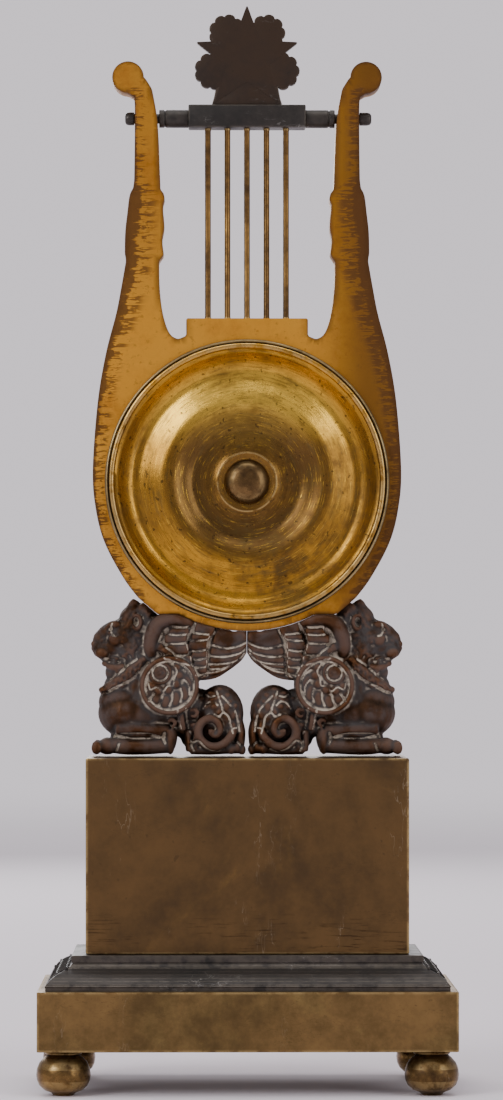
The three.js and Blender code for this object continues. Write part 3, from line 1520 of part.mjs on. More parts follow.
const root = new THREE.Group();
root.add(namedMesh("plinth", plinth(), agedBrass));
root.add(namedMesh("base_moulding", baseMoulding(), blackBronze));
root.add(namedMesh("pedestal", pedestal(), brownBrass));
["front_right", "front_left", "rear_right", "rear_left"].forEach((place, i) => {
  root.add(namedMesh("foot_" + place, foot(...footPlaces[i]), agedBrass));
});
boltPlaces.forEach((x, i) => root.add(namedMesh("base_bolt_" + (i + 1), baseBolt(x), steel)));
const leftLion = lion();
root.add(namedMesh("lion_left", leftLion, darkBronze));
root.add(namedMesh("lion_right", mirroredInX(leftLion), darkBronze));
root.add(namedMesh("lion_nut_left", lionNut(lionStudX), steel));
root.add(namedMesh("lion_nut_right", lionNut(-lionStudX), steel));
root.add(namedMesh("lyre_frame", lyreFrame(), giltBronze));
root.add(namedMesh("lyre_pin_left", lyrePin(1), steel));
root.add(namedMesh("lyre_pin_right", lyrePin(-1), steel));
for (let i = 0; i < stringCount; i++) {
  root.add(namedMesh("string_" + (i + 1), lyreString(i), brownBrass));
}
root.add(namedMesh("crossbar_block", crossbarBlock(), blackBronze));
root.add(namedMesh("crossbar_rod", crossbarRod(), blackBronze));
root.add(namedMesh("crossbar_knob", crossbarKnob(), blackBronze));
root.add(namedMesh("crossbar_sleeve_left", crossbarSleeve(1), blackBronze));
root.add(namedMesh("crossbar_sleeve_right", crossbarSleeve(-1), blackBronze));
root.add(namedMesh("crown_ornament", crownOrnament(), blackBronze));
root.add(namedMesh("drum", drum(), agedBrass));
root.add(namedMesh("rear_ring", rearRing(), agedBrass));
root.add(namedMesh("back_cover", backCover(), agedBrass));
root.add(namedMesh("back_cover_boss", backCoverBoss(), brownBrass));
root.add(namedMesh("bezel", bezel(), giltBronze));
root.add(namedMesh("bezel_hinge_pin", hingePin(), steel));
root.add(namedMesh("glass", glass(), clearGlass));
root.add(namedMesh("dial", dial(), enamel));
const hourHand = hand(hourHandLength, hourHandFront, hourPipeRadius + clearance, hourTurn);
const minuteHand = hand(minuteHandLength, minuteHandFront, cannonPipeRadius + clearance, minuteTurn);
root.add(namedMesh("hour_hand", hourHand, blueSteel));
root.add(namedMesh("minute_hand", minuteHand, blueSteel));
root.add(namedMesh("hand_nut", handNut(), steel));
root.add(namedMesh("front_plate", frontPlate(), movementBrass));
root.add(namedMesh("back_plate", backPlate(), movementBrass));
pillarAngles.forEach((angle, i) => root.add(namedMesh("pillar_" + (i + 1), pillar(angle), movementBrass)));
root.add(namedMesh("barrel", barrel(), movementBrass));
root.add(namedMesh("barrel_cover", barrelCover(), movementBrass));
root.add(namedMesh("mainspring", mainspring(), steel));
root.add(namedMesh("winding_arbor", windingArbor(), steel));
root.add(namedMesh("ratchet_wheel", ratchetWheel(), steel));
root.add(namedMesh("click", click(), steel));
root.add(namedMesh("centre_wheel", centreWheel(), movementBrass));
const thirdWheel = trainWheel(thirdAxis, thirdTeeth, thirdModule, levelShares.third,
  levelShares.centre, centreModule, thirdPinionPhase);
root.add(namedMesh("third_wheel", thirdWheel, movementBrass));
const fourthWheel = trainWheel(fourthAxis, fourthTeeth, fourthModule, levelShares.fourth,
  levelShares.third, thirdModule, fourthPinionPhase);
root.add(namedMesh("fourth_wheel", fourthWheel, movementBrass));
root.add(namedMesh("escape_wheel", escapeWheel(), movementBrass));
root.add(namedMesh("pallet_arbor", palletArbor(), steel));
root.add(namedMesh("pendulum", pendulum(), steel));
root.add(namedMesh("pendulum_bob", pendulumBob(), movementBrass));
root.add(namedMesh("back_cock", backCock(), movementBrass));
root.add(namedMesh("cannon_pinion", cannonPinion(), steel));
root.add(namedMesh("minute_wheel", minuteWheel(), movementBrass));
root.add(namedMesh("hour_wheel", hourWheel(), movementBrass));

export default root;
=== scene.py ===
"""Looks of the lyre clock: every visible piece and finish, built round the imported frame."""

import math
import random

import bmesh
import bpy
import numpy as np
from mathutils import Matrix, Vector
from mathutils.bvhtree import BVHTree


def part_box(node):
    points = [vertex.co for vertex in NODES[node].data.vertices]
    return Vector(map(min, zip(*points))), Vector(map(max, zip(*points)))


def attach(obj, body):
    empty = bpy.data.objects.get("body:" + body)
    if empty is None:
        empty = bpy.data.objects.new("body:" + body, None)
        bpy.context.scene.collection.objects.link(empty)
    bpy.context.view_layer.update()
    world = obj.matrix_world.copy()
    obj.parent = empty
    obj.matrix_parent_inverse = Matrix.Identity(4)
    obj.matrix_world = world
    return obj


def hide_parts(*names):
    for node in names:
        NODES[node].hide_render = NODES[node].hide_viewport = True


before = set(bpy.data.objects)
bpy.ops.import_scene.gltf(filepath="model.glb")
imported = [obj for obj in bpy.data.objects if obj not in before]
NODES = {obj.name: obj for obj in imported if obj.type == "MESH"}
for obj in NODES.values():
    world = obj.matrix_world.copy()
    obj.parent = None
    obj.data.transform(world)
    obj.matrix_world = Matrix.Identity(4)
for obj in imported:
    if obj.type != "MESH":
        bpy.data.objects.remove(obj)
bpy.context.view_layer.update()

bl_info = {
    "name": "Lyre clock looks",
    "version": (1, 0, 0),
    "blender": (4, 5, 0),
    "location": "3D View > Sidebar > Lyre clock",
    "description": "Builds the pieces, finishes and studio of a lyre clock round its packed frame",
    "category": "Object",
}

MM = 0.001


def middle_of(name):
    """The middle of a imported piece, in millimetres."""
    return tuple((low + high) / 2 / MM for low, high in zip(*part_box(name)))


DIAL_Z = middle_of("bezel")[2]
DIAL_CENTRE = (0.0, 0.0, DIAL_Z)
BAR_Y, BAR_Z = middle_of("crossbar_rod")[1:]
PEDESTAL_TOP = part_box("pedestal")[1].z / MM

X_AXIS = Vector((1, 0, 0))
Y_AXIS = Vector((0, 1, 0))
Z_AXIS = Vector((0, 0, 1))
OUTWARDS = {"X": (X_AXIS, Z_AXIS), "Y": (Y_AXIS, X_AXIS), "Z": (Z_AXIS, X_AXIS)}


def colour(red, green, blue):
    """A colour from its screen values, 0 to 255, as Blender's linear values."""
    return tuple(
        (v / 255 / 12.92 if v <= 10 else ((v / 255 + 0.055) / 1.055) ** 2.4)
        for v in (red, green, blue)
    ) + (1.0,)


# ---- sizes and colours that a user would change


def length_setting(name, description, default):
    return bpy.props.FloatProperty(name=name, description=description, default=default, unit="LENGTH")


def colour_setting(name, description, *screen):
    return bpy.props.FloatVectorProperty(
        name=name, description=description, subtype="COLOR", size=4, default=colour(*screen)
    )


class ClockSizes(bpy.types.PropertyGroup):
    """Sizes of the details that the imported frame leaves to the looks."""

    turning_steps: bpy.props.IntProperty(
        name="Turning steps", description="Faces round a large turned piece", default=144
    )
    carving_grain: length_setting(
        "Carving grain", "Smallest form that the casting of the lions holds", 0.000461
    )
    leaf_width: length_setting("Leaf width", "Width of one cast leaf on the base moulding", 0.0072)


class ClockColours(bpy.types.PropertyGroup):
    """Main colours of the finishes."""

    gilding: colour_setting("Gilding", "Matt gilding of the lyre", 204, 138, 38)
    dish_brass: colour_setting("Turned brass", "Polished brass of the back cover", 205, 152, 48)
    base_brass: colour_setting("Base brass", "Tarnished brass of the plinth", 128, 101, 62)
    dark_patina: colour_setting("Dark patina", "Patina of the lions", 57, 38, 23)
    backdrop: colour_setting("Backdrop", "Plain air behind the clock, which also lights it", 199, 193, 199)
    floor: colour_setting("Floor", "Plain pale floor of the studio", 226, 219, 225)


def sizes():
    return bpy.context.scene.clock_sizes


def chosen(name):
    """A colour from the settings."""
    return tuple(getattr(bpy.context.scene.clock_colours, name))


# ---- material nodes


FINISH_END = "_finish"
SOCKET_KINDS = {"value": "NodeSocketFloat", "colour": "NodeSocketColor", "vector": "NodeSocketVector"}


class NodeBench:
    """Adds nodes to a tree."""

    def __init__(self, tree):
        self.tree = tree

    def feed(self, socket, value):
        """Links a value that is a socket, and sets any other."""
        if isinstance(value, bpy.types.NodeSocket):
            self.tree.links.new(value, socket)
        else:
            socket.default_value = value

    def add(self, kind, inputs=None, **settings):
        node = self.tree.nodes.new(kind)
        for name, value in settings.items():
            setattr(node, name, value)
        for name, value in (inputs or {}).items():
            self.feed(node.inputs[name], value)
        return node

    def maths(self, operation, first, second=0.0, clamp=False):
        return self.add("ShaderNodeMath", {0: first, 1: second}, operation=operation, use_clamp=clamp).outputs[0]

    def times(self, first, second):
        return self.maths("MULTIPLY", first, second)

    def plus(self, first, second):
        return self.maths("ADD", first, second)

    def less(self, first, second):
        return self.maths("SUBTRACT", first, second)

    def length(self, vector):
        return self.add("ShaderNodeVectorMath", {0: vector}, operation="LENGTH").outputs["Value"]

    def mix(self, factor, first, second):
        return self.add("ShaderNodeMix", {0: factor, 6: first, 7: second}, data_type="RGBA").outputs[2]

    def tint(self, under, mask, share, *screen):
        """A colour with a share of another one over it, in screen values, where the mask says."""
        return self.mix(self.times(mask, share), under, colour(*screen))

    def noise(self, vector, scale, detail=4.0, roughness=0.55, distortion=0.0):
        names = ("Vector", "Scale", "Detail", "Roughness", "Distortion")
        values = (vector, scale, detail, roughness, distortion)
        return self.add("ShaderNodeTexNoise", dict(zip(names, values))).outputs["Fac"]

    def step(self, value, low, high):
        """0 below low, 1 above high and smooth between."""
        limits = {"Value": value, "From Min": low, "From Max": high}
        return self.add("ShaderNodeMapRange", limits, interpolation_type="SMOOTHSTEP").outputs["Result"]

    def fade(self, value, low, high):
        """1 below low, 0 above high and smooth between."""
        return self.less(1.0, self.step(value, low, high))

    def ranged(self, value, low, high):
        """A value from 0 to 1 brought between low and high."""
        return self.add("ShaderNodeMapRange", {"Value": value, "To Min": low, "To Max": high}).outputs["Result"]

    def stretched(self, vector, scale, turn=(0.0, 0.0, 0.0)):
        inputs = {"Vector": vector, "Scale": scale, "Rotation": turn}
        return self.add("ShaderNodeMapping", inputs).outputs["Vector"]

    def apart(self, vector):
        """The X, Y and Z of a vector."""
        return self.add("ShaderNodeSeparateXYZ", {"Vector": vector}).outputs

    def noted(self, label):
        """A mask that is noted on the mesh."""
        return self.add("ShaderNodeAttribute", attribute_name=label).outputs["Fac"]


def new_group(name, inputs, outputs):
    """A shader node group with named sockets; gives its bench, what comes in and what goes out."""
    tree = bpy.data.node_groups.new(name, "ShaderNodeTree")
    for way, sockets in (("INPUT", inputs), ("OUTPUT", outputs)):
        for label, kind in sockets.items():
            tree.interface.new_socket(label, in_out=way, socket_type=SOCKET_KINDS[kind])
    return NodeBench(tree), tree.nodes.new("NodeGroupInput").outputs, tree.nodes.new("NodeGroupOutput").inputs


def tarnish_group():
    """Cloudy tarnish in two sizes, with small dark spots."""
    bench, came, gone = new_group(
        "Tarnish",
        {"Vector": "vector", "Scale": "value", "Amount": "value", "Metal": "colour", "Stain": "colour"},
        {"Color": "colour", "Mask": "value"},
    )
    place, scale = came["Vector"], came["Scale"]
    wide = bench.noise(place, scale, 6.0, 0.62, 0.4)
    fine = bench.noise(place, bench.times(scale, 7.0), 5.0, 0.7)
    spots = bench.step(bench.noise(place, bench.times(scale, 22.0), 2.0, 0.5), 0.66, 0.74)
    both = bench.plus(bench.times(wide, 0.65), bench.times(fine, 0.35))
    cloud = bench.step(bench.plus(both, bench.less(came["Amount"], 0.5)), 0.36, 0.66)
    mask = bench.maths("MAXIMUM", cloud, bench.times(spots, 0.6))
    bench.feed(gone["Color"], bench.mix(mask, came["Metal"], came["Stain"]))
    bench.feed(gone["Mask"], mask)
    return bench.tree


def scratch_group():
    """Thin broken lines that run along the stretched axis of the vector."""
    bench, came, gone = new_group(
        "Scratches", {"Vector": "vector", "Scale": "value", "Amount": "value"}, {"Mask": "value"}
    )
    place, scale = came["Vector"], came["Scale"]
    lines = bench.noise(place, scale, 3.0, 0.6)
    thin = bench.fade(bench.maths("ABSOLUTE", bench.less(lines, 0.5)), 0.0, 0.012)
    area = bench.noise(place, bench.times(scale, 0.22), 3.0, 0.6)
    shifted = bench.plus(area, bench.less(came["Amount"], 0.5))
    bench.feed(gone["Mask"], bench.times(thin, bench.step(shifted, 0.5, 0.62)))
    return bench.tree


def turned_group():
    """Fine rings round the Y axis, for pieces that were turned on a lathe."""
    bench, came, gone = new_group(
        "Turned rings",
        {"Vector": "vector", "Scale": "value"},
        {"Fine": "value", "Bands": "value", "Radius": "value"},
    )
    flat = bench.add("ShaderNodeVectorMath", {0: came["Vector"], 1: (1.0, 0.0, 1.0)}, operation="MULTIPLY")
    radius = bench.length(flat.outputs[0])
    along = bench.times(radius, came["Scale"])
    ranks = {
        "Fine": {"W": along, "Detail": 3.0, "Roughness": 0.7},
        "Bands": {"W": bench.times(along, 0.16), "Detail": 2.0},
    }
    for label, inputs in ranks.items():
        rings = bench.add("ShaderNodeTexNoise", {"Scale": 1.0, **inputs}, noise_dimensions="1D")
        bench.feed(gone[label], rings.outputs["Fac"])
    bench.feed(gone["Radius"], radius)
    return bench.tree


GROUP_MAKERS = {"Tarnish": tarnish_group, "Scratches": scratch_group, "Turned rings": turned_group}
EDGE_GRAIN = {"worn": 240.0, "sunk": 170.0}


class Finish:
    """A material under way, with the object's own coordinates and a Principled shader."""

    def __init__(self, name, centre=(0.0, 0.0, 0.0)):
        self.material = bpy.data.materials.new(name + FINISH_END)
        self.material.use_nodes = True
        tree = self.material.node_tree
        tree.nodes.clear()
        self.bench = NodeBench(tree)
        place = self.bench.add("ShaderNodeTexCoord").outputs["Object"]
        shift = {"Vector": place, "Location": tuple(-v * MM for v in centre)}
        self.vector = self.bench.add("ShaderNodeMapping", shift).outputs["Vector"]
        self.shader = self.bench.add("ShaderNodeBsdfPrincipled")
        self.bench.add("ShaderNodeOutputMaterial", {"Surface": self.shader.outputs[0]})

    def group(self, name, **inputs):
        tree = bpy.data.node_groups.get(name) or GROUP_MAKERS[name]()
        return self.bench.add("ShaderNodeGroup", inputs, node_tree=tree).outputs

    def tarnish(self, scale, amount, metal, stain):
        """A tarnished metal: its colour, and the mask of the tarnish."""
        made = self.group("Tarnish", Vector=self.vector, Scale=scale, Amount=amount, Metal=metal, Stain=stain)
        return made["Color"], made["Mask"]

    def scratches(self, stretch, turn, scale, amount):
        place = self.bench.stretched(self.vector, stretch, turn)
        return self.group("Scratches", Vector=place, Scale=scale, Amount=amount)["Mask"]

    def edges(self, label):
        """A mask of worn edges or sunk folds, as noted on the faces, broken up by noise."""
        broken = self.bench.step(self.bench.noise(self.vector, EDGE_GRAIN[label], 4.0, 0.65), 0.34, 0.56)
        return self.bench.times(self.bench.noted(label), broken)

    def box_edges(self, name, width=1.3):
        """A mask of the worn edges of a packed box."""
        b = self.bench
        place = b.apart(self.vector)
        near = []
        for axis, low, high in zip("XYZ", *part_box(name)):
            off = b.maths("ABSOLUTE", b.less(place[axis], (low + high) / 2))
            half = (high - low) / 2
            near.append(b.step(off, half - width * MM, half))
        edge = b.maths("SUBTRACT", b.plus(b.plus(near[0], near[1]), near[2]), 1.0, True)
        return b.times(edge, b.step(b.noise(self.vector, 160.0, 4.0, 0.65), 0.36, 0.58))

    def put(self, **sockets):
        """Feeds the shader's sockets, named in small letters."""
        for name, value in sockets.items():
            label = name.replace("_", " ").title().replace("Ior", "IOR")
            self.bench.feed(self.shader.inputs[label], value)

    def bump(self, height, strength, distance=0.0002):
        inputs = {"Height": height, "Strength": strength, "Distance": distance}
        self.put(normal=self.bench.add("ShaderNodeBump", inputs).outputs["Normal"])


# Where the gilding darkens, in metres from the dial's centre: higher up the arms, and with painted shade on the rear
# of the right arm.
ARMS_ABOVE = (0.055, 0.105)
RIGHT_ARM_SHADE_BEYOND = (-0.02, -0.046)
REAR_SHADE_BEHIND = (0.0, 0.006)


def gilding(name="gilt_bronze", filed=True):
    """Matt gilding with painted brown shade on the right arm's rear; the casting also has file marks and a dark line
    at its outline.
    """
    f = Finish(name, DIAL_CENTRE)
    b = f.bench
    pale = b.mix(b.noise(f.vector, 26.0, 5.0), chosen("gilding"), colour(214, 158, 62))
    tone, cloud = f.tarnish(24.0, 0.44, pale, colour(146, 92, 26))
    speckle = b.step(b.noise(f.vector, 420.0, 3.0, 0.6), 0.6, 0.72)
    tone = b.tint(tone, speckle, 0.35, 96, 60, 22)
    place = b.apart(f.vector)
    tone = b.tint(tone, b.step(place["Z"], *ARMS_ABOVE), 0.42, 134, 86, 26)
    # painted shade: the rear of the right arm is darkened as if the light fell from the left
    painted_shade_right = b.times(b.step(place["X"], *RIGHT_ARM_SHADE_BEYOND), b.step(place["Y"], *REAR_SHADE_BEHIND))
    tone = b.tint(tone, painted_shade_right, 0.8, 92, 60, 26)
    if filed:
        marks = b.noise(b.stretched(f.vector, (150.0, 150.0, 800.0), (0.0, 0.1, 0.0)), 1.0, 3.0, 0.62, 0.9)
        toothed = b.plus(b.noted("filed"), b.times(b.less(marks, 0.5), 2.2))
        # the painted shade on the right arm also lets more file marks through there
        combed = b.step(b.plus(marks, b.times(painted_shade_right, 0.045)), 0.49, 0.55)
        short = b.times(combed, b.step(b.noted("marked"), 0.01, 0.4))
        worn = b.maths("MAXIMUM", b.step(toothed, 0.42, 0.7), b.times(short, 0.9))
        tone = b.tint(tone, worn, 0.88, 82, 54, 30)
        tone = b.tint(tone, b.noted("outlined"), 0.8, 74, 48, 26)
    else:
        worn = b.times(speckle, 0.5)
        tone = b.tint(tone, f.edges("worn"), 0.5, 226, 182, 92)
    f.put(
        base_color=b.tint(tone, f.edges("sunk"), 0.6, 70, 42, 20),
        metallic=0.9,
        roughness=b.ranged(b.plus(cloud, worn), 0.38, 0.62),
    )
    f.bump(b.plus(b.noise(f.vector, 900.0, 3.0), b.times(worn, -1.2)), 0.22)
    return f.material


# Zones of the dish, in metres: radii where a zone starts or ends, among them where the painted shade of the sides
# begins, and the height above which a highlight is painted on the top.
DISH_OUTER = (0.028, 0.044)
DISH_SIDE_SHADE_FROM = (0.018, 0.03)
DISH_GLEAM_ABOVE = (0.01, 0.034)
DISH_GLEAM_UNTIL = (0.037, 0.046)
DISH_RING_FROM = (0.013, 0.019)
DISH_RING_UNTIL = (0.025, 0.031)
# Streaks round the dish: how thin, how many round it, where the noise is cut, share and screen colour.
DISH_STREAKS = (
    (1500.0, 5.0, 0.52, 0.5, (86, 62, 26)),
    (620.0, 2.4, 0.54, 0.45, (92, 76, 44)),
    (2300.0, 3.0, 0.57, 0.5, (232, 184, 66)),
)


def turned_brass(name="dish_brass"):
    """Polished brass with lathe rings, brown and olive tarnish, streaks and pits, painted shade on the left and right
    sides and a painted highlight at the top.
    """
    f = Finish(name, DIAL_CENTRE)
    b = f.bench
    rings = f.group("Turned rings", Vector=f.vector, Scale=3200.0)
    radius = rings["Radius"]
    tone = b.mix(rings["Bands"], chosen("dish_brass"), colour(172, 122, 34))
    wander = b.times(b.noise(f.vector, 40.0, 5.0, 0.6), 0.014)
    tone = b.mix(b.step(b.plus(radius, wander), *DISH_OUTER), colour(118, 86, 40), tone)
    place = b.apart(f.vector)
    # painted shade: the left and right sides of the dish are darkened where the polished metal would reflect less
    # light
    aside = b.maths("DIVIDE", b.maths("ABSOLUTE", place["X"]), b.plus(radius, 0.001))
    side_shade = b.times(b.step(aside, 0.55, 1.0), b.step(radius, *DISH_SIDE_SHADE_FROM))
    tone = b.tint(tone, side_shade, 0.5, 78, 56, 32)
    # painted highlight: a bright gold gleam on the upper part of the dish
    painted_gleam = b.times(b.step(place["Z"], *DISH_GLEAM_ABOVE), b.fade(radius, *DISH_GLEAM_UNTIL))
    tone = b.tint(tone, painted_gleam, 0.75, 250, 206, 84)
    ring = b.times(b.step(radius, *DISH_RING_FROM), b.fade(radius, *DISH_RING_UNTIL))
    tone = b.tint(tone, ring, 0.62, 74, 56, 32)
    tone, cloud = f.tarnish(26.0, 0.44, tone, colour(84, 60, 32))
    olive = b.step(b.noise(f.vector, 34.0, 6.0, 0.7), 0.56, 0.72)
    tone = b.tint(tone, olive, 0.6, 84, 70, 38)
    tone = b.tint(tone, b.step(rings["Fine"], 0.55, 0.72), 0.28, 70, 44, 16)
    turn = b.maths("ARCTAN2", place["Z"], place["X"])
    for thin, sweep, cut, share, screen in DISH_STREAKS:
        spun = b.add("ShaderNodeCombineXYZ", {"X": b.times(radius, thin), "Y": b.times(turn, sweep)})
        streak = b.step(b.noise(spun.outputs["Vector"], 1.0, 5.0, 0.72), cut, cut + 0.09)
        tone = b.tint(tone, streak, share, *screen)
    pits = b.step(b.noise(f.vector, 520.0, 2.0, 0.5), 0.66, 0.7)
    tone = b.tint(tone, pits, 0.7, 50, 36, 20)
    rubbed = b.step(b.noise(b.stretched(f.vector, (40.0, 40.0, 220.0)), 1.0, 4.0, 0.7), 0.55, 0.7)
    tone = b.tint(tone, rubbed, 0.3, 120, 84, 34)
    tone = b.tint(tone, f.edges("sunk"), 0.7, 44, 30, 14)
    f.put(
        base_color=b.tint(tone, f.edges("worn"), 0.4, 206, 178, 120),
        metallic=0.95,
        roughness=b.ranged(b.plus(cloud, b.times(olive, 0.5)), 0.24, 0.46),
    )
    f.bump(b.plus(rings["Fine"], b.noise(f.vector, 700.0, 3.0)), 0.16, 0.00012)
    return f.material


# Tarnished brasses: screen colours of metal, stain and light patches, amount of scratches, scale of the
# tarnish, roughness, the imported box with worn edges, and whether its lower part is hatched by filing.
BRASSES = {
    "plinth_brass": (None, (84, 66, 40), (150, 128, 78), 0.52, 16.0, (0.36, 0.58), "plinth"),
    "pedestal_brass": ((102, 78, 48), (68, 53, 36), (160, 124, 66), 0.5, 13.0, (0.34, 0.5), "pedestal", True),
    "drum_brass": ((150, 116, 58), (88, 66, 36), (176, 144, 84), 0.5, 26.0, (0.36, 0.58)),
    "foot_brass": ((124, 96, 54), (62, 46, 28), (170, 138, 84), 0.5, 60.0, (0.2, 0.42)),
    "string_brass": ((120, 90, 48), (58, 42, 26), (168, 130, 66), 0.45, 50.0, (0.28, 0.5)),
    "rim_brass": ((150, 132, 92), (92, 78, 52), (190, 178, 142), 0.5, 40.0, (0.24, 0.44)),
    "boss_brass": ((110, 84, 50), (48, 34, 20), (150, 112, 56), 0.45, 60.0, (0.22, 0.4)),
}
HATCHED_BELOW = (0.058, 0.07)


def tarnished_brass(name, metal, stain, light, marks, scale, rough, box=None, hatched=False):
    """Brass under brown tarnish, with golden patches, scratches and worn edges; see BRASSES."""
    f = Finish(name)
    b = f.bench
    metal = colour(*metal) if metal else chosen("base_brass")
    patches = b.step(b.noise(f.vector, scale * 1.1, 7.0, 0.66, 0.6), 0.52, 0.68)
    tone, cloud = f.tarnish(scale, 0.5, b.tint(metal, patches, 0.62, *light), colour(*stain))
    fine = f.scratches((1.0, 1.0, 5.0), (0.3, 0.45, 0.0), 90.0, marks)
    pale = f.scratches((4.0, 4.0, 1.0), (0.2, 1.1, 0.4), 60.0, marks - 0.08)
    tone = b.tint(tone, fine, 0.5, *stain)
    tone = b.tint(tone, pale, 0.34, 176, 162, 136)
    if hatched:
        low = b.fade(b.apart(f.vector)["Z"], *HATCHED_BELOW)
        lines = b.noise(b.stretched(f.vector, (90.0, 90.0, 1500.0)), 1.0, 3.0, 0.6)
        short = b.step(b.noise(f.vector, 60.0, 3.0), 0.46, 0.56)
        lined = b.times(b.times(b.step(lines, 0.54, 0.62), low), short)
        tone = b.tint(tone, lined, 0.7, 48, 34, 20)
    edge = f.box_edges(box) if box else f.edges("worn")
    tone = b.tint(tone, f.edges("sunk"), 0.75, 34, 26, 20)
    f.put(
        base_color=b.tint(tone, edge, 0.5, 186, 160, 108),
        metallic=0.9,
        roughness=b.ranged(b.plus(cloud, fine), *rough),
    )
    f.bump(b.plus(b.noise(f.vector, 420.0, 4.0), b.times(fine, -0.8)), 0.18)
    return f.material


def black_patina(name, metal, stain, marks, wear):
    """Near-black patina with grey bloom and pale scratches."""
    f = Finish(name)
    b = f.bench
    tone, cloud = f.tarnish(30.0, 0.46, metal, stain)
    tone = b.tint(tone, f.scratches((1.0, 1.0, 2.6), (0.1, 0.9, 0.2), 170.0, marks), 0.5, 150, 146, 142)
    tone = b.tint(tone, f.edges("sunk"), 0.5, 20, 18, 18)
    f.put(
        base_color=b.tint(tone, f.edges("worn"), wear, 140, 128, 112),
        metallic=0.6,
        roughness=b.ranged(cloud, 0.36, 0.58),
    )
    f.bump(b.noise(f.vector, 500.0, 4.0), 0.2)
    return f.material


def dark_patina(name="dark_bronze"):
    """Dark brown casting: cold grey where it is rough, pale residue in its hollows, and warm heights that are partly
    wear and partly a painted highlight.
    """
    f = Finish(name)
    b = f.bench
    tone, cloud = f.tarnish(50.0, 0.45, chosen("dark_patina"), colour(34, 25, 17))
    dusty = b.times(b.step(b.noted("rough"), 0.45, 0.95), b.step(b.noise(f.vector, 110.0, 4.0, 0.6), 0.36, 0.58))
    tone = b.tint(tone, dusty, 0.6, 46, 46, 48)
    # warm heights: partly wear on the raised forms, partly a painted highlight
    tone = b.tint(tone, b.noted("height"), 0.5, 98, 62, 36)
    broken = b.step(b.noise(f.vector, 260.0, 4.0, 0.7), 0.34, 0.56)
    residue = b.times(b.step(b.noted("hollow"), 0.25, 0.9), broken)
    f.put(
        base_color=b.tint(tone, residue, 0.82, 184, 172, 154),
        metallic=b.less(0.9, b.times(b.maths("MAXIMUM", residue, dusty), 0.8)),
        roughness=b.ranged(b.maths("ADD", cloud, b.plus(residue, dusty), True), 0.4, 0.74),
    )
    f.bump(b.noise(f.vector, 800.0, 4.0), 0.25)
    return f.material


def movement_metal(name, base, shade, rough):
    """Fine brushed metal of the parts inside the case."""
    f = Finish(name)
    b = f.bench
    brushed = b.noise(b.stretched(f.vector, (300.0, 300.0, 2400.0)), 1.0, 3.0, 0.6)
    tone, _ = f.tarnish(45.0, 0.34, colour(*base), colour(*shade))
    f.put(
        base_color=b.tint(tone, brushed, 0.25, *shade),
        metallic=1.0,
        roughness=b.ranged(brushed, rough, rough + 0.16),
    )
    f.bump(b.plus(brushed, f.edges("worn")), 0.1, 0.0001)
    return f.material


def enamel_white(name="enamel"):
    f = Finish(name, DIAL_CENTRE)
    b = f.bench
    tone, _ = f.tarnish(30.0, 0.2, colour(240, 235, 222), colour(216, 206, 184))
    f.put(base_color=tone, roughness=b.ranged(b.noise(f.vector, 40.0), 0.12, 0.24), coat_weight=0.4)
    f.bump(b.noise(f.vector, 120.0, 2.0), 0.05)
    return f.material


def dial_black(name="dial_black"):
    f = Finish(name, DIAL_CENTRE)
    b = f.bench
    f.put(
        base_color=b.mix(b.noise(f.vector, 400.0, 3.0), colour(16, 16, 20), colour(40, 38, 42)),
        roughness=b.ranged(b.noise(f.vector, 150.0), 0.25, 0.4),
    )
    return f.material


def clear_glass(name="clear_glass"):
    f = Finish(name, DIAL_CENTRE)
    b = f.bench
    dust = b.step(b.noise(f.vector, 160.0, 5.0, 0.7), 0.62, 0.8)
    f.put(
        base_color=b.mix(dust, colour(236, 242, 243), colour(214, 218, 218)),
        roughness=b.ranged(dust, 0.02, 0.12),
        transmission_weight=0.95,
        ior=1.3,
        alpha=0.35,
    )
    f.material.surface_render_method = "BLENDED"
    return f.material


def blued_steel(name="blue_steel"):
    f = Finish(name, DIAL_CENTRE)
    b = f.bench
    f.put(
        base_color=b.mix(b.noise(f.vector, 90.0, 4.0), colour(30, 42, 96), colour(62, 50, 110)),
        metallic=1.0,
        roughness=b.ranged(b.noise(f.vector, 300.0), 0.18, 0.32),
    )
    return f.material


FINISH_MAKERS = {
    "gilt_bronze": gilding,
    "gilt_plain": lambda: gilding("gilt_plain", False),
    "dish_brass": turned_brass,
    "black_bronze": lambda: black_patina("black_bronze", colour(53, 48, 44), colour(30, 28, 26), 0.5, 0.14),
    "crown_bronze": lambda: black_patina("crown_bronze", colour(56, 42, 30), colour(34, 26, 20), 0.4, 0.2),
    "dark_bronze": dark_patina,
    "movement_brass": lambda: movement_metal("movement_brass", (206, 168, 92), (140, 104, 50), 0.26),
    "steel": lambda: movement_metal("steel", (176, 178, 182), (104, 104, 108), 0.22),
    "blue_steel": blued_steel,
    "enamel": enamel_white,
    "dial_black": dial_black,
    "clear_glass": clear_glass,
}


def finish_of(name):
    """The material of a finish, made when it is first asked for."""
    made = bpy.data.materials.get(name + FINISH_END)
    if made is None:
        made = tarnished_brass(name, *BRASSES[name]) if name in BRASSES else FINISH_MAKERS[name]()
    return made


# ---- modelling tools, with sizes in millimetres


def spline(points, steps, closed=False):
    """A smooth line through the points, with that many steps between each two."""
    rows = [Vector(point) for point in points]
    last = len(rows) if closed else len(rows) - 1
    out = []
    for i in range(last):
        if closed:
            a, b, c, d = (rows[(i + k) % len(rows)] for k in (-1, 0, 1, 2))
        else:
            a, b, c, d = (rows[min(max(i + k, 0), len(rows) - 1)] for k in (-1, 0, 1, 2))
        for k in range(steps):
            t = k / steps
            out.append(
                b + (c - a) * (t / 2) + (a * 2 - b * 5 + c * 4 - d) * (t * t / 2)
                + (b * 3 - a - c * 3 + d) * (t * t * t / 2)
            )
    if not closed:
        out.append(rows[-1])
    return out


def blended(values, share):
    """The value at that share of the way through the list, even between its entries."""
    place = min(max(share, 0.0), 1.0) * (len(values) - 1)
    i = min(int(place), len(values) - 2)
    t = place - i
    t = t * t * (3 - 2 * t)
    return values[i] * (1 - t) + values[i + 1] * t


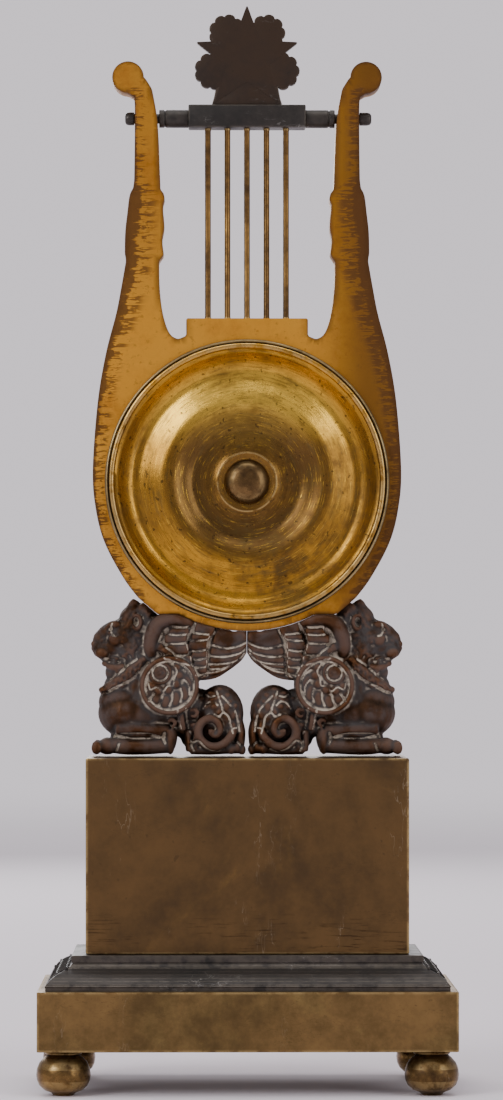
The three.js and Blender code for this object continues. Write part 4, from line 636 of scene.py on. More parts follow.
def softened(points, radius, closed=False, steps=3):
    """The same outline with its corners rounded."""
    rows = [Vector(point) for point in points]
    out = []
    for i, here in enumerate(rows):
        if not closed and i in (0, len(rows) - 1):
            out.append(here)
            continue
        before = rows[i - 1] - here
        after = rows[(i + 1) % len(rows)] - here
        reach = min(radius, before.length * 0.45, after.length * 0.45)
        start = here + before.normalized() * reach
        end = here + after.normalized() * reach
        for k in range(steps + 1):
            t = k / steps
            out.append(start * (1 - t) ** 2 + here * (2 * t * (1 - t)) + end * t * t)
    return out


def turned(bm, profile, axis="Y", centre=DIAL_CENTRE, steps=None, ring=False):
    """Turns a profile of (radius, along) round an axis through the centre."""
    along, radial = OUTWARDS[axis]
    middle = Vector(centre)
    fresh = bmesh.new()
    dots = [fresh.verts.new((middle + radial * r + along * a) * MM) for r, a in profile]
    pairs = list(zip(dots, dots[1:])) + ([(dots[-1], dots[0])] if ring else [])
    edges = [fresh.edges.new(pair) for pair in pairs]
    bmesh.ops.spin(
        fresh,
        geom=dots + edges,
        cent=middle * MM,
        axis=along,
        angle=math.tau,
        steps=steps or sizes().turning_steps,
        use_merge=True,
        use_duplicate=False,
    )
    bmesh.ops.remove_doubles(fresh, verts=fresh.verts, dist=1e-7)
    bmesh.ops.recalc_face_normals(fresh, faces=fresh.faces)
    add_to(bm, fresh)


def rim_edges(faces):
    """The sharp edges of these faces."""
    edges = {edge for face in faces for edge in face.edges}
    return [e for e in edges if len(e.link_faces) == 2 and e.calc_face_angle(0.0) > math.radians(50)]


def soften_edges(bm, edges, width, steps=2):
    bmesh.ops.bevel(
        bm,
        geom=edges,
        offset=width * MM,
        offset_type="OFFSET",
        affect="EDGES",
        segments=steps,
        profile=0.5,
        clamp_overlap=True,
        material=-1,
    )


def flat_sheet(bm, loops, y):
    """A flat face in the XZ plane with these outlines of (x, z), the first outside and the rest holes."""
    edges = []
    for loop in loops:
        dots = [bm.verts.new((x * MM, y * MM, z * MM)) for x, z in loop]
        edges += [bm.edges.new(pair) for pair in zip(dots, dots[1:] + dots[:1])]
    return bmesh.ops.triangle_fill(bm, use_beauty=True, use_dissolve=False, edges=edges)


def pushed(bm, shift):
    """Extrudes a sheet along Y, and gives the vertices that moved."""
    moved = bmesh.ops.extrude_face_region(bm, geom=list(bm.faces))["geom"]
    dots = [item for item in moved if isinstance(item, bmesh.types.BMVert)]
    bmesh.ops.translate(bm, verts=dots, vec=(0, shift * MM, 0))
    return dots


def sawn(bm, loops, rear, front, softness=0.0, steps=2):
    """A plate between two y values, with these outlines and soft edges."""
    fresh = bmesh.new()
    flat_sheet(fresh, loops, rear)
    pushed(fresh, front - rear)
    bmesh.ops.recalc_face_normals(fresh, faces=fresh.faces)
    if softness:
        flats = [face for face in fresh.faces if abs(face.normal.y) > 0.9]
        soften_edges(fresh, rim_edges(flats), softness, steps)
    add_to(bm, fresh)


def add_to(bm, fresh, matrix=None):
    """Puts a finished shape into a larger one, moved by the matrix."""
    if matrix is not None:
        bmesh.ops.transform(fresh, matrix=matrix, verts=fresh.verts)
        if matrix.determinant() < 0:
            bmesh.ops.reverse_faces(fresh, faces=fresh.faces)
    mesh = bpy.data.meshes.new("part")
    fresh.to_mesh(mesh)
    fresh.free()
    bm.from_mesh(mesh)
    bpy.data.meshes.remove(mesh)


def block(bm, low, high, softness=0.0, steps=2):
    fresh = bmesh.new()
    middle = (Vector(low) + Vector(high)) / 2 * MM
    size = (Vector(high) - Vector(low)) * MM
    bmesh.ops.create_cube(fresh, size=1.0, matrix=Matrix.Translation(middle) @ Matrix.Diagonal((*size, 1.0)))
    if softness:
        soften_edges(fresh, list(fresh.edges), softness, steps)
    add_to(bm, fresh)


def drawn(bm, path, widths, depths, aside=(0, 1, 0), rings=10, sides=10):
    """A closed form drawn along a path of points, with half widths along `aside` and half depths across it."""
    line = spline(path, 6) if len(path) > 2 else [Vector(path[0]).lerp(Vector(path[-1]), k / 6) for k in range(7)]
    fresh = bmesh.new()
    bmesh.ops.create_uvsphere(fresh, u_segments=sides, v_segments=rings, radius=1.0)
    hint = Vector(aside)
    for dot in fresh.verts:
        share = math.acos(min(max(dot.co.z, -1.0), 1.0)) / math.pi
        place = share * (len(line) - 1)
        i = min(int(place), len(line) - 2)
        here = line[i].lerp(line[i + 1], place - i)
        ahead = (line[min(i + 2, len(line) - 1)] - line[max(i - 1, 0)]).normalized()
        across = (hint - ahead * hint.dot(ahead)).normalized()
        third = ahead.cross(across)
        ring = math.hypot(dot.co.x, dot.co.y)
        cos, sin = (dot.co.x / ring, dot.co.y / ring) if ring > 1e-6 else (0.0, 0.0)
        dot.co = (here + across * (cos * blended(widths, share)) + third * (sin * blended(depths, share))) * MM
    bmesh.ops.recalc_face_normals(fresh, faces=fresh.faces)
    add_to(bm, fresh)


def lump(bm, centre, radii, turn=(0, 0, 0), sides=14, rings=9):
    """A rounded lump."""
    matrix = Matrix.Translation(Vector(centre) * MM)
    for axis, angle in zip("XYZ", turn):
        matrix = matrix @ Matrix.Rotation(math.radians(angle), 4, axis)
    matrix = matrix @ Matrix.Diagonal((*(Vector(radii) * MM), 1.0))
    fresh = bmesh.new()
    bmesh.ops.create_uvsphere(fresh, u_segments=sides, v_segments=rings, radius=1.0, matrix=matrix)
    add_to(bm, fresh)


EDGE_WIDTH = 1.1
BEND_FROM = 0.35
BEND_SPAN = 0.8
DENSE_MESH = 60000


def note_bends(bm):
    """Marks the narrow faces that turn an edge: worn where they bulge, sunk where they fold in."""
    worn = bm.faces.layers.float.new("worn")
    sunk = bm.faces.layers.float.new("sunk")
    for face in bm.faces:
        width = face.calc_area() / max(edge.calc_length() for edge in face.edges) / MM
        if width < EDGE_WIDTH and len(face.verts) > 3:
            bend = sum(edge.calc_face_angle_signed(0.0) for edge in face.edges)
            face[worn] = min(max((bend - BEND_FROM) / BEND_SPAN, 0.0), 1.0)
            face[sunk] = min(max((-bend - BEND_FROM) / BEND_SPAN, 0.0), 1.0)


def finished(name, bm, body, finish, stands_for=(), smooth=40):
    """Makes the object of a shape, gives it its finish and ties it to its body."""
    if len(bm.faces) < DENSE_MESH:
        note_bends(bm)
    mesh = bpy.data.meshes.new(name)
    bm.to_mesh(mesh)
    bm.free()
    obj = bpy.data.objects.new(name, mesh)
    bpy.context.scene.collection.objects.link(obj)
    mesh.shade_smooth()
    mesh.set_sharp_from_angle(angle=math.radians(smooth))
    mesh.materials.append(finish_of(finish))
    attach(obj, body)
    if stands_for:
        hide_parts(*stands_for)
    return obj


def lathed(name, profile, body, finish, slot, stands_for=(), smooth=40, **turning):
    """Makes the object of a piece that is turned in one go."""
    bm = bmesh.new()
    turned(bm, profile, **turning)
    return finished(name, bm, body, finish, stands_for, smooth)


def finish_node(name, finish, softness=0.0):
    """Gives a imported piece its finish, and soft edges where they show."""
    obj = NODES[name]
    obj.data.materials.clear()
    obj.data.materials.append(finish_of(finish))
    if softness:
        weld = obj.modifiers.new("Weld", "WELD")
        weld.merge_threshold = 1e-6
        bevel = obj.modifiers.new("Soft edges", "BEVEL")
        bevel.width = softness * MM
        bevel.segments = 2
        bevel.limit_method = "ANGLE"
        bevel.angle_limit = math.radians(35)
        bevel.harden_normals = False
    return obj


# ---- base


FOOT_SHARES = [
    (0.0, 0.0), (0.36, 0.0), (0.39, 0.015), (0.44, 0.06), (0.7, 0.12), (0.88, 0.22), (0.97, 0.34), (1.0, 0.47),
    (0.97, 0.6), (0.88, 0.73), (0.72, 0.84), (0.62, 0.89), (0.6, 0.905), (0.66, 0.925), (0.68, 0.955), (0.66, 0.985),
    (0.62, 1.0), (0.24, 1.0), (0.24, 1.5), (0.0, 1.5),
]
FOOT_RADIUS = 10.04
FOOT_HEIGHT = 16.5
FEET = ("foot_front_right", "foot_front_left", "foot_rear_right", "foot_rear_left")


class ClockFeet(bpy.types.Operator):
    """Four turned ball feet with a collar below the plinth"""

    bl_idname = "clock.feet"
    bl_label = "Feet"

    def execute(self, context):
        profile = [(r * FOOT_RADIUS, z * FOOT_HEIGHT) for r, z in FOOT_SHARES]
        for name in FEET:
            place = {"axis": "Z", "centre": (*middle_of(name)[:2], 0.0), "steps": 56}
            lathed(name + "_turned", profile, "clock", "foot_brass", "aged_brass", [name], **place)
        return {"FINISHED"}


MOULDING_LOW = 38.5
MOULDING_STEPS = [
    (0.0, 0.0), (0.0, 0.115), (-0.25, 0.135), (0.05, 0.16), (0.35, 0.2), (1.35, 0.29), (2.6, 0.38), (4.2, 0.47),
    (6.1, 0.55), (7.9, 0.625), (9.0, 0.69), (9.65, 0.755), (9.75, 0.78), (9.3, 0.795), (9.3, 0.975), (9.5, 1.0),
    (10.3, 1.0),
]
MOULDING_RISE = 12.5
MOULDING_HALF = (74.15, 39.0)
MOULDING_OPENING = (42.0, 15.0)


def framed(bm, rectangles):
    """A mitred moulding: rectangles of (half length, half depth, height) bridged one to the next, and round."""
    rings = []
    for half_x, half_y, z in rectangles:
        made = bmesh.ops.create_grid(bm, x_segments=1, y_segments=1, size=1.0)["verts"]
        bmesh.ops.scale(bm, vec=(half_x * MM, half_y * MM, 1.0), verts=made)
        bmesh.ops.translate(bm, vec=(0, 0, z * MM), verts=made)
        face = made[0].link_faces[0]
        rings.append(list(face.edges))
        bmesh.ops.delete(bm, geom=[face], context="FACES_ONLY")
    for below, above in zip(rings, rings[1:] + rings[:1]):
        bmesh.ops.bridge_loops(bm, edges=below + above)
    bmesh.ops.recalc_face_normals(bm, faces=bm.faces)


# The rows of leaves end this far from the corners, where one leaf sits on the mitre.
CORNER_REACH = 9.4
LEAF_FOOT = 1.9
LEAF_HEIGHT = 6.9
LEAF_INSET = 0.6


def acanthus(bm, place, along, outwards, width, height):
    """One cast leaf that climbs the hollow of the moulding: a mid rib, two lobes a side and a curled tip."""
    base = Vector(place)
    aside = Vector(along)
    out = Vector(outwards)
    path = [
        base + out * -0.1 + Z_AXIS * 0.2,
        base - out * 1.3 + Z_AXIS * height * 0.3,
        base - out * 3.9 + Z_AXIS * height * 0.62,
        base - out * 7.0 + Z_AXIS * height * 0.84,
        base - out * 8.4 + Z_AXIS * height * 0.96,
    ]
    drawn(bm, path, [0.3, 0.55, 0.5, 0.45, 0.0], [0.2, 0.7, 0.7, 0.6, 0.0], aside, 7, 6)
    for side in (-1, 1):
        for share, reach in ((0.12, 0.46), (0.42, 0.5), (0.72, 0.34)):
            i = int(share * (len(path) - 1))
            root = path[i].lerp(path[i + 1], share * 4 - i)
            tip = root + aside * (side * width * reach) + Z_AXIS * height * 0.1 - out * 0.9
            bend = root.lerp(tip, 0.55) + out * 0.2
            drawn(bm, [root, bend, tip], [0.5, 0.9, 0.0], [0.3, 0.5, 0.0], Z_AXIS, 6, 6)


class ClockBase(bpy.types.Operator):
    """Plinth, moulding with cast leaves on the front, the ends and the front corners, and pedestal"""

    bl_idname = "clock.base"
    bl_label = "Base"

    def execute(self, context):
        finish_node("plinth", "plinth_brass", 0.7)
        finish_node("pedestal", "pedestal_brass", 0.6)
        low = MOULDING_LOW
        half_x, half_y = MOULDING_HALF
        rectangles = [
            (half_x - inset, half_y - inset, low + MOULDING_RISE * share)
            for inset, share in softened(MOULDING_STEPS, 0.12)
        ]
        rectangles += [(*MOULDING_OPENING, low + MOULDING_RISE), (*MOULDING_OPENING, low)]
        bm = bmesh.new()
        framed(bm, rectangles)
        finished("moulding_cast", bm, "clock", "black_bronze", ["base_moulding"], 30)
        leaves = bmesh.new()
        width = sizes().leaf_width / MM
        rows = [
            ((1, 0, 0), (0, -1, 0), half_x - CORNER_REACH, half_y),
            ((0, 1, 0), (1, 0, 0), half_y - CORNER_REACH, half_x),
            ((0, 1, 0), (-1, 0, 0), half_y - CORNER_REACH, half_x),
        ]
        for along, outwards, reach, distance in rows:
            count = int(2 * reach / width)
            pitch = 2 * reach / count
            for i in range(count + 1):
                place = Vector(along) * (-reach + i * pitch) + Vector(outwards) * (distance - LEAF_INSET)
                acanthus(leaves, place + Z_AXIS * (low + LEAF_FOOT), along, outwards, pitch * 0.98, LEAF_HEIGHT)
        for side in (-1, 1):
            corner = Vector((side * (half_x - LEAF_INSET), LEAF_INSET - half_y, low + LEAF_FOOT))
            acanthus(leaves, corner, (1, side, 0), (side, -1, 0), width * 0.3, LEAF_HEIGHT)
        finished("moulding_leaves", leaves, "clock", "black_bronze", smooth=60)
        for name in ("base_bolt_1", "base_bolt_2"):
            finish_node(name, "steel")
        return {"FINISHED"}


# ---- lyre, with outline shares of (across, up)


LYRE_HALF_WIDTH = 57.5
LYRE_BASE = 170.6
LYRE_HEIGHT = 212.3
BOWL_RADIUS = 55.6
BRIDGE_HALF_WIDTH = 22.7
BRIDGE_TOP = 287.1
CASE_HOLE_RADIUS = 49.3
SCROLL_RADIUS = 5.9
LYRE_REAR = 10.0
LYRE_FRONT = -10.0
ARM_FRONT = -1.0
LEDGE_SHARES = (0.443, 0.58)
BOWL_SIDE = [
    (0.706, 0.058), (0.804, 0.094), (0.925, 0.156), (0.982, 0.216), (1.0, 0.284), (0.968, 0.402), (0.914, 0.488),
    (0.849, 0.556), (0.816, 0.602), (0.785, 0.65),
]
LEAF_OUTSIDE = [(0.793, 0.663), (0.79, 0.7), (0.776, 0.734), (0.762, 0.764), (0.739, 0.777)]
ARM_OUTSIDE = [(0.732, 0.79), (0.73, 0.822), (0.728, 0.876), (0.728, 0.92), (0.733, 0.938)]
SCROLL_CENTRE = (0.772, 0.972)
ARM_INSIDE = [(0.616, 0.951), (0.588, 0.91), (0.576, 0.875), (0.567, 0.814), (0.562, 0.775)]
LEAF_INSIDE = [(0.541, 0.768), (0.534, 0.758), (0.546, 0.745), (0.536, 0.711), (0.55, 0.687), (0.539, 0.661)]
LYRE_GRID = 2.6
FILED_LEVELS = [0.06, 0.2, 0.35, 0.5, 0.62, 0.7, 0.765, 0.79, 0.94]
FILED_WIDTHS = [0.2, 0.9, 1.7, 3.0, 4.6, 5.4, 4.8, 1.3, 0.8]
LAUREL_SHARES = [(0.905, 0.15), (0.935, 0.22), (0.946, 0.3), (0.9, 0.4), (0.835, 0.49), (0.76, 0.57)]
BORDER_STEPS = [(50.2, -9.6), (50.2, -10.9), (50.8, -11.5), (51.6, -11.5), (52.2, -10.9), (52.2, -9.6)]
FORK = [(0.571, 0.648), (0.567, 0.603), (0.546, 0.557), (0.506, 0.524), (0.455, 0.513), (0.412, 0.516)]


def lyre_dot(share):
    return Vector((share[0] * LYRE_HALF_WIDTH, LYRE_BASE + share[1] * LYRE_HEIGHT))


def lyre_line(shares, steps):
    return spline([lyre_dot(share) for share in shares], steps)


def lyre_half():
    """The right half of the outline, from the bottom of the bowl to the bridge."""
    ledge = math.asin(LEDGE_SHARES[0] * LYRE_HALF_WIDTH / BOWL_RADIUS)
    dots = []
    for k in range(15):
        angle = ledge * k / 14
        dots.append(Vector((BOWL_RADIUS * math.sin(angle), DIAL_Z - BOWL_RADIUS * math.cos(angle))))
    corner = Vector((LEDGE_SHARES[1] * LYRE_HALF_WIDTH, dots[-1].y))
    dots += [dots[-1].lerp(corner, 0.5), corner]
    dots += lyre_line(BOWL_SIDE, 6)
    dots += lyre_line(LEAF_OUTSIDE, 3)
    dots += lyre_line(ARM_OUTSIDE, 4)
    middle = lyre_dot(SCROLL_CENTRE)
    for k in range(33):
        angle = -math.pi / 2 + 1.5 * math.pi * k / 32
        dots.append(middle + Vector((math.cos(angle), math.sin(angle))) * SCROLL_RADIUS)
    shoulder = spline([dots[-1], lyre_dot((0.653, 0.967)), lyre_dot(ARM_INSIDE[0])], 3)
    dots += shoulder[1:-1]
    dots += lyre_line(ARM_INSIDE, 5)
    dots += lyre_line(LEAF_INSIDE, 3)
    dots += lyre_line(FORK, 6)
    neck = dots[-1]
    dots.append(Vector((BRIDGE_HALF_WIDTH, neck.y + 0.4)))
    dots += [Vector((BRIDGE_HALF_WIDTH, neck.y + 2.0)), Vector((BRIDGE_HALF_WIDTH, BRIDGE_TOP))]
    return dots


def lyre_outline():
    half = lyre_half()
    mirrored = [Vector((-dot.x, dot.y)) for dot in reversed(half) if dot.x > 0.01]
    return half + mirrored


def lyre_front(z):
    """The front of the casting: thick round the case, thin in the arms."""
    share = min(max(((z - LYRE_BASE) / LYRE_HEIGHT - 0.5) / 0.16, 0.0), 1.0)
    return LYRE_FRONT + (ARM_FRONT - LYRE_FRONT) * (1 - math.cos(math.pi * share)) / 2


def circle(x, z, radius, count):
    return [
        Vector((x + radius * math.cos(math.tau * k / count), z + radius * math.sin(math.tau * k / count)))
        for k in range(count)
    ]


def lyre_casting(bm):
    outline = softened(lyre_outline(), 0.5, True, 1)
    flat_sheet(bm, [outline, circle(0, DIAL_Z, CASE_HOLE_RADIUS, 120)], LYRE_REAR)
    cuts = [(Z_AXIS * (LYRE_BASE + LYRE_GRID * k), Z_AXIS) for k in range(1, int(LYRE_HEIGHT / LYRE_GRID) + 1)]
    reach = int(LYRE_HALF_WIDTH / LYRE_GRID)
    cuts += [(X_AXIS * (LYRE_GRID * (k + 0.5)), X_AXIS) for k in range(-reach, reach)]
    for place, normal in cuts:
        bmesh.ops.bisect_plane(
            bm, geom=bm.verts[:] + bm.edges[:] + bm.faces[:], plane_co=place * MM, plane_no=normal
        )
    for dot in pushed(bm, 0.0):
        dot.co.y = lyre_front(dot.co.z / MM) * MM
    bmesh.ops.recalc_face_normals(bm, faces=bm.faces)
    flats = [f for f in bm.faces if abs(f.normal.y) > 0.5]
    soften_edges(bm, rim_edges(flats), 0.55, 2)
    lyre_marks(bm)


def lyre_marks(bm):
    """Notes on the rear: the band filed brown, the wider one with short file marks, and the outline."""
    places = np.array([(abs(dot.co.x), dot.co.z) for dot in bm.verts]) / MM
    rear = np.array([dot.co.y > (LYRE_REAR - 1.0) * MM for dot in bm.verts], dtype=float)
    outer = lyre_line(BOWL_SIDE + LEAF_OUTSIDE + ARM_OUTSIDE, 5)
    off_outer = distances(places, outer)
    off_outline = distances(places, lyre_half())
    band = np.interp((places[:, 1] - LYRE_BASE) / LYRE_HEIGHT, FILED_LEVELS, FILED_WIDTHS)
    notes = {
        "filed": np.clip((band - off_outer) / 2.0 + 0.5, 0.0, 1.0) * rear,
        "marked": np.clip(1.0 - off_outer / (2.0 * band + 3.0), 0.0, 1.0) * rear,
        "outlined": np.clip(1.0 - off_outline / 1.0, 0.0, 1.0) * rear,
    }
    for label, values in notes.items():
        layer = bm.verts.layers.float.new(label)
        for dot, value in zip(bm.verts, values):
            dot[layer] = float(value)


def distances(places, line):
    """How far each (x, z) place is from a line of points."""
    nearest = np.full(len(places), 1e9)
    for a, b in zip(line, line[1:]):
        way = np.array((b.x - a.x, b.y - a.y))
        from_a = places - np.array((a.x, a.y))
        share = np.clip(from_a @ way / max(way @ way, 1e-9), 0.0, 1.0)
        nearest = np.minimum(nearest, np.linalg.norm(from_a - share[:, None] * way, axis=1))
    return nearest


def lyre_leaf(bm, side):
    """The cast leaf round the waist of an arm, with ribs that fan out on its front and curled tips."""
    centre = Vector((side * 0.664 * LYRE_HALF_WIDTH, 0.0, LYRE_BASE + 0.655 * LYRE_HEIGHT))
    for k in range(-3, 4):
        spread = k / 3
        foot = centre + Vector((spread * 2.2, ARM_FRONT + 0.6, -8.0))
        waist = centre + Vector((spread * 5.4, ARM_FRONT - 0.7 + abs(spread) * 0.8, 8.0))
        tip = centre + Vector((spread * (6.4 - abs(spread)), ARM_FRONT - 1.7 + abs(spread), 21.0 - abs(k) * 1.9))
        curl = tip + Vector((spread * 0.5, -0.5, 1.6))
        drawn(bm, [foot, waist, tip, curl], [0.6, 1.3, 1.1, 0.0], [0.6, 1.0, 0.9, 0.0], (1, 0, 0), 14, 8)


def lyre_scroll(bm, side):
    """A raised volute with a rosette in the tip of an arm."""
    middle = lyre_dot(SCROLL_CENTRE)
    eye = Vector((side * middle.x, ARM_FRONT, middle.y))
    path = []
    for k in range(28):
        share = k / 27
        angle = -math.pi / 2 - share * math.pi * 2.6
        radius = 1.6 + share * 3.5
        path.append(eye + Vector((side * -math.cos(angle) * radius, -0.35, math.sin(angle) * radius)))
    drawn(bm, path, [0.4, 0.6, 0.65, 0.3], [0.6, 0.75, 0.75, 0.3], (1, 0, 0), 60, 6)
    lump(bm, eye + Vector((0, -0.2, 0)), (1.3, 0.9, 1.3))


def lyre_garland(bm):
    """A raised border round the case hole and cast laurel leaves along the sides of the bowl."""
    turned(bm, BORDER_STEPS, ring=True)
    line = lyre_line(LAUREL_SHARES, 4)
    for side in (-1, 1):
        for k in range(1, len(line) - 1):
            here = line[k]
            ahead = (line[k + 1] - line[k - 1]).normalized()
            outwards = Vector((ahead.y, -ahead.x))
            for hand in (-1, 1):
                root = here - outwards * 0.2
                tip = here + ahead * 4.0 + outwards * (hand * 1.3)
                middle = root.lerp(tip, 0.5) + outwards * (hand * 0.6)
                lifts = ((root, 0.0), (middle, 0.8), (tip, 0.2))
                path = [Vector((side * p.x, lyre_front(p.y) - lift, p.y)) for p, lift in lifts]
                drawn(bm, path, [0.3, 0.85, 0.0], [0.3, 0.55, 0.0], (side * outwards.x, 0, outwards.y), 6, 6)


class ClockLyre(bpy.types.Operator):
    """Gilt lyre casting with leaf, scrolls and laurel on its front, and a flat filed rear"""

    bl_idname = "clock.lyre"
    bl_label = "Lyre"

    def execute(self, context):
        bm = bmesh.new()
        lyre_casting(bm)
        finished("lyre_casting", bm, "clock", "gilt_bronze", ["lyre_frame"])
        chased = bmesh.new()
        for side in (-1, 1):
            lyre_leaf(chased, side)
            lyre_scroll(chased, side)
        lyre_garland(chased)
        finished("lyre_chasing", chased, "clock", "gilt_plain", smooth=60)
        finish_node("lyre_pin_right", "steel")
        finish_node("lyre_pin_left", "steel")
        return {"FINISHED"}


# ---- strings, crossbar and crown


STRING_COUNT = 5
STRING_NECK = 0.93
BLOCK_BOTTOM = 358.49
BLOCK_HALF = 21.9
BLOCK_DEPTH = 10.5
BLOCK_TOP = 366.89
# Turned pieces of the crossbar, as (radius, along); the rod's knob and the cap start at the end of the arms.
SLEEVE_STEPS = [
    (2.1, 21.9), (3.35, 21.9), (3.35, 30.2), (3.0, 30.4), (3.0, 30.8), (3.35, 31.0), (3.35, 32.8), (2.1, 32.8),
]
ARM_OUTER = 42.16
ROD_START = [(0, -ARM_OUTER - 3.1), (1.8, -ARM_OUTER - 3.1), (1.8, ARM_OUTER)]
ROD_KNOB = [(2.45, 0.0), (2.45, 1.9), (2.2, 2.9), (1.4, 3.4), (0, 3.4)]
CAP_STEPS = [(0, 3.4), (2.1, 3.4), (2.1, 0.0), (2.45, 0.0), (2.45, 2.6), (2.2, 3.8), (1.4, 4.4), (0, 4.4)]


class ClockStrings(bpy.types.Operator):
    """Five brass strings between the bridge and the crossbar"""

    bl_idname = "clock.strings"
    bl_label = "Strings"

    def execute(self, context):
        for i in range(1, STRING_COUNT + 1):
            name = f"string_{i}"
            low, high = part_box(name)
            length = (high.z - low.z) / MM
            radius = (high.x - low.x) / 2 / MM
            neck = radius * STRING_NECK
            profile = [
                (0, 0), (radius, 0), (radius, 0.7), (neck, 1.0), (neck, length - 1.0), (radius, length - 0.7),
                (radius, length), (0, length),
            ]
            place = {"axis": "Z", "centre": (*middle_of(name)[:2], low.z / MM), "steps": 28}
            lathed(f"string_rod_{i}", profile, "clock", "string_brass", "brown_brass", [name], **place)
        return {"FINISHED"}


def bar_piece(name, profile, steps=40, ring=False):
    """Makes a turned piece round the crossbar's axis."""
    place = {"axis": "X", "centre": (0.0, BAR_Y, BAR_Z), "steps": steps, "ring": ring}
    lathed(name + "_turned", profile, "clock", "black_bronze", "black_bronze", [name], **place)


class ClockCrossbar(bpy.types.Operator):
    """Sawn block, turned sleeves, rod and knobs of the crossbar"""

    bl_idname = "clock.crossbar"
    bl_label = "Crossbar"

    def execute(self, context):
        bm = bmesh.new()
        half = BLOCK_DEPTH / 2
        block(bm, (-BLOCK_HALF, BAR_Y - half, BLOCK_BOTTOM), (BLOCK_HALF, BAR_Y + half, BLOCK_TOP), 0.45)
        finished("crossbar_body", bm, "clock", "black_bronze", ["crossbar_block"])
        sleeve = softened(SLEEVE_STEPS, 0.3, True)
        for side, name in ((-1, "crossbar_sleeve_right"), (1, "crossbar_sleeve_left")):
            bar_piece(name, [(r, side * a) for r, a in sleeve], 44, True)
        knob = [(r, ARM_OUTER + a) for r, a in ROD_KNOB]
        bar_piece("crossbar_rod", softened(ROD_START + knob, 0.35))
        bar_piece("crossbar_knob", softened([(r, -ARM_OUTER - a) for r, a in CAP_STEPS], 0.25))
        return {"FINISHED"}


CROWN_CENTRE_Z = 384.19
CROWN_REAR = 7.7
CROWN_FRONT = 1.3
CROWN_DEPTH = CROWN_REAR - CROWN_FRONT
STAR_RADIUS = 20.2
STAR_WAIST_SHARE = 0.42
FLOWER_RADIUS = 7.0
FLOWER_PETALS = 9
FLOWER_PLACES = [(-0.365, 0.48), (0.365, 0.48), (-0.63, -0.22), (0.63, -0.22)]
# The hollow of a petal: how far out from the flower's middle, and how far behind the crown's front.
PETAL_LINE = [(1.2, 1.6), (4.0, 1.2), (6.7, 2.6)]
NECK_OUTLINE = [(13.2, 0.0), (12.4, 2.6), (11.9, 5.2), (11.5, 7.6), (11.2, 12.0)]


def crown_star(bm):
    """A five-pointed star with a flat rear, a straight rim and facets that rise to a peak in front."""
    star = []
    for k in range(10):
        angle = math.pi / 2 + math.pi * k / 5
        reach = STAR_RADIUS * (1 if k % 2 == 0 else STAR_WAIST_SHARE)
        star.append((reach * math.cos(angle), CROWN_CENTRE_Z + reach * math.sin(angle)))
    facets = bmesh.new()
    flat_sheet(facets, [softened(star, 1.1, True, 3)], CROWN_REAR)
    dots = pushed(facets, -CROWN_DEPTH * 0.4)
    front = {f for v in dots for f in v.link_faces if all(w in dots for w in f.verts)}
    bmesh.ops.delete(facets, geom=list(front), context="FACES_ONLY")
    rim = [e for e in facets.edges if e.is_boundary]
    for item in bmesh.ops.extrude_edge_only(facets, edges=rim)["geom"]:
        if isinstance(item, bmesh.types.BMVert):
            item.co = Vector((0, (CROWN_FRONT + 0.4) * MM, CROWN_CENTRE_Z * MM))
    bmesh.ops.remove_doubles(facets, verts=facets.verts, dist=1e-7)
    bmesh.ops.recalc_face_normals(facets, faces=facets.faces)
    add_to(bm, facets)


def crown_flower(bm, x, z):
    """A rosette with hollowed petals round a small heart."""
    outline = []
    count = FLOWER_PETALS * 6
    for k in range(count):
        angle = math.tau * k / count
        swell = abs(math.sin(FLOWER_PETALS / 2 * angle)) ** 0.6
        reach = FLOWER_RADIUS * (0.87 + 0.13 * swell)
        outline.append((x + reach * math.cos(angle), z + reach * math.sin(angle)))
    sawn(bm, [outline], CROWN_REAR - 0.05, CROWN_FRONT + CROWN_DEPTH * 0.45, 0.3)
    middle = Vector((x, 0, z))
    for k in range(FLOWER_PETALS):
        angle = math.tau * (k + 0.5) / FLOWER_PETALS
        out = Vector((math.cos(angle), 0, math.sin(angle)))
        path = [middle + out * reach + Y_AXIS * (CROWN_FRONT + lift) for reach, lift in PETAL_LINE]
        drawn(bm, path, [0.5, 1.5, 0.3], [0.8, 1.2, 0.4], out.cross(Y_AXIS), 9, 8)
    lump(bm, (x, CROWN_FRONT + 1.4, z), (1.7, 1.4, 1.7))


class ClockCrown(bpy.types.Operator):
    """Faceted star and four rosettes on a flared neck, with a flat rear"""

    bl_idname = "clock.crown"
    bl_label = "Crown"

    def execute(self, context):
        bm = bmesh.new()
        crown_star(bm)
        right = [(x, BLOCK_TOP + z) for x, z in NECK_OUTLINE]
        neck = right + [(-x, z) for x, z in reversed(right)]
        sawn(bm, [neck], CROWN_REAR - 0.1, CROWN_FRONT + CROWN_DEPTH / 4, 0.35)
        for across, up in FLOWER_PLACES:
            crown_flower(bm, across * STAR_RADIUS, CROWN_CENTRE_Z + up * STAR_RADIUS)
        finished("crown_cast", bm, "clock", "crown_bronze", ["crown_ornament"], 35)
        return {"FINISHED"}


# ---- case, back cover and dial


DRUM_RADIUS = 49.0
DRUM_INNER = 47.0
DRUM_FRONT = -22.2
DRUM_REAR = 10.6
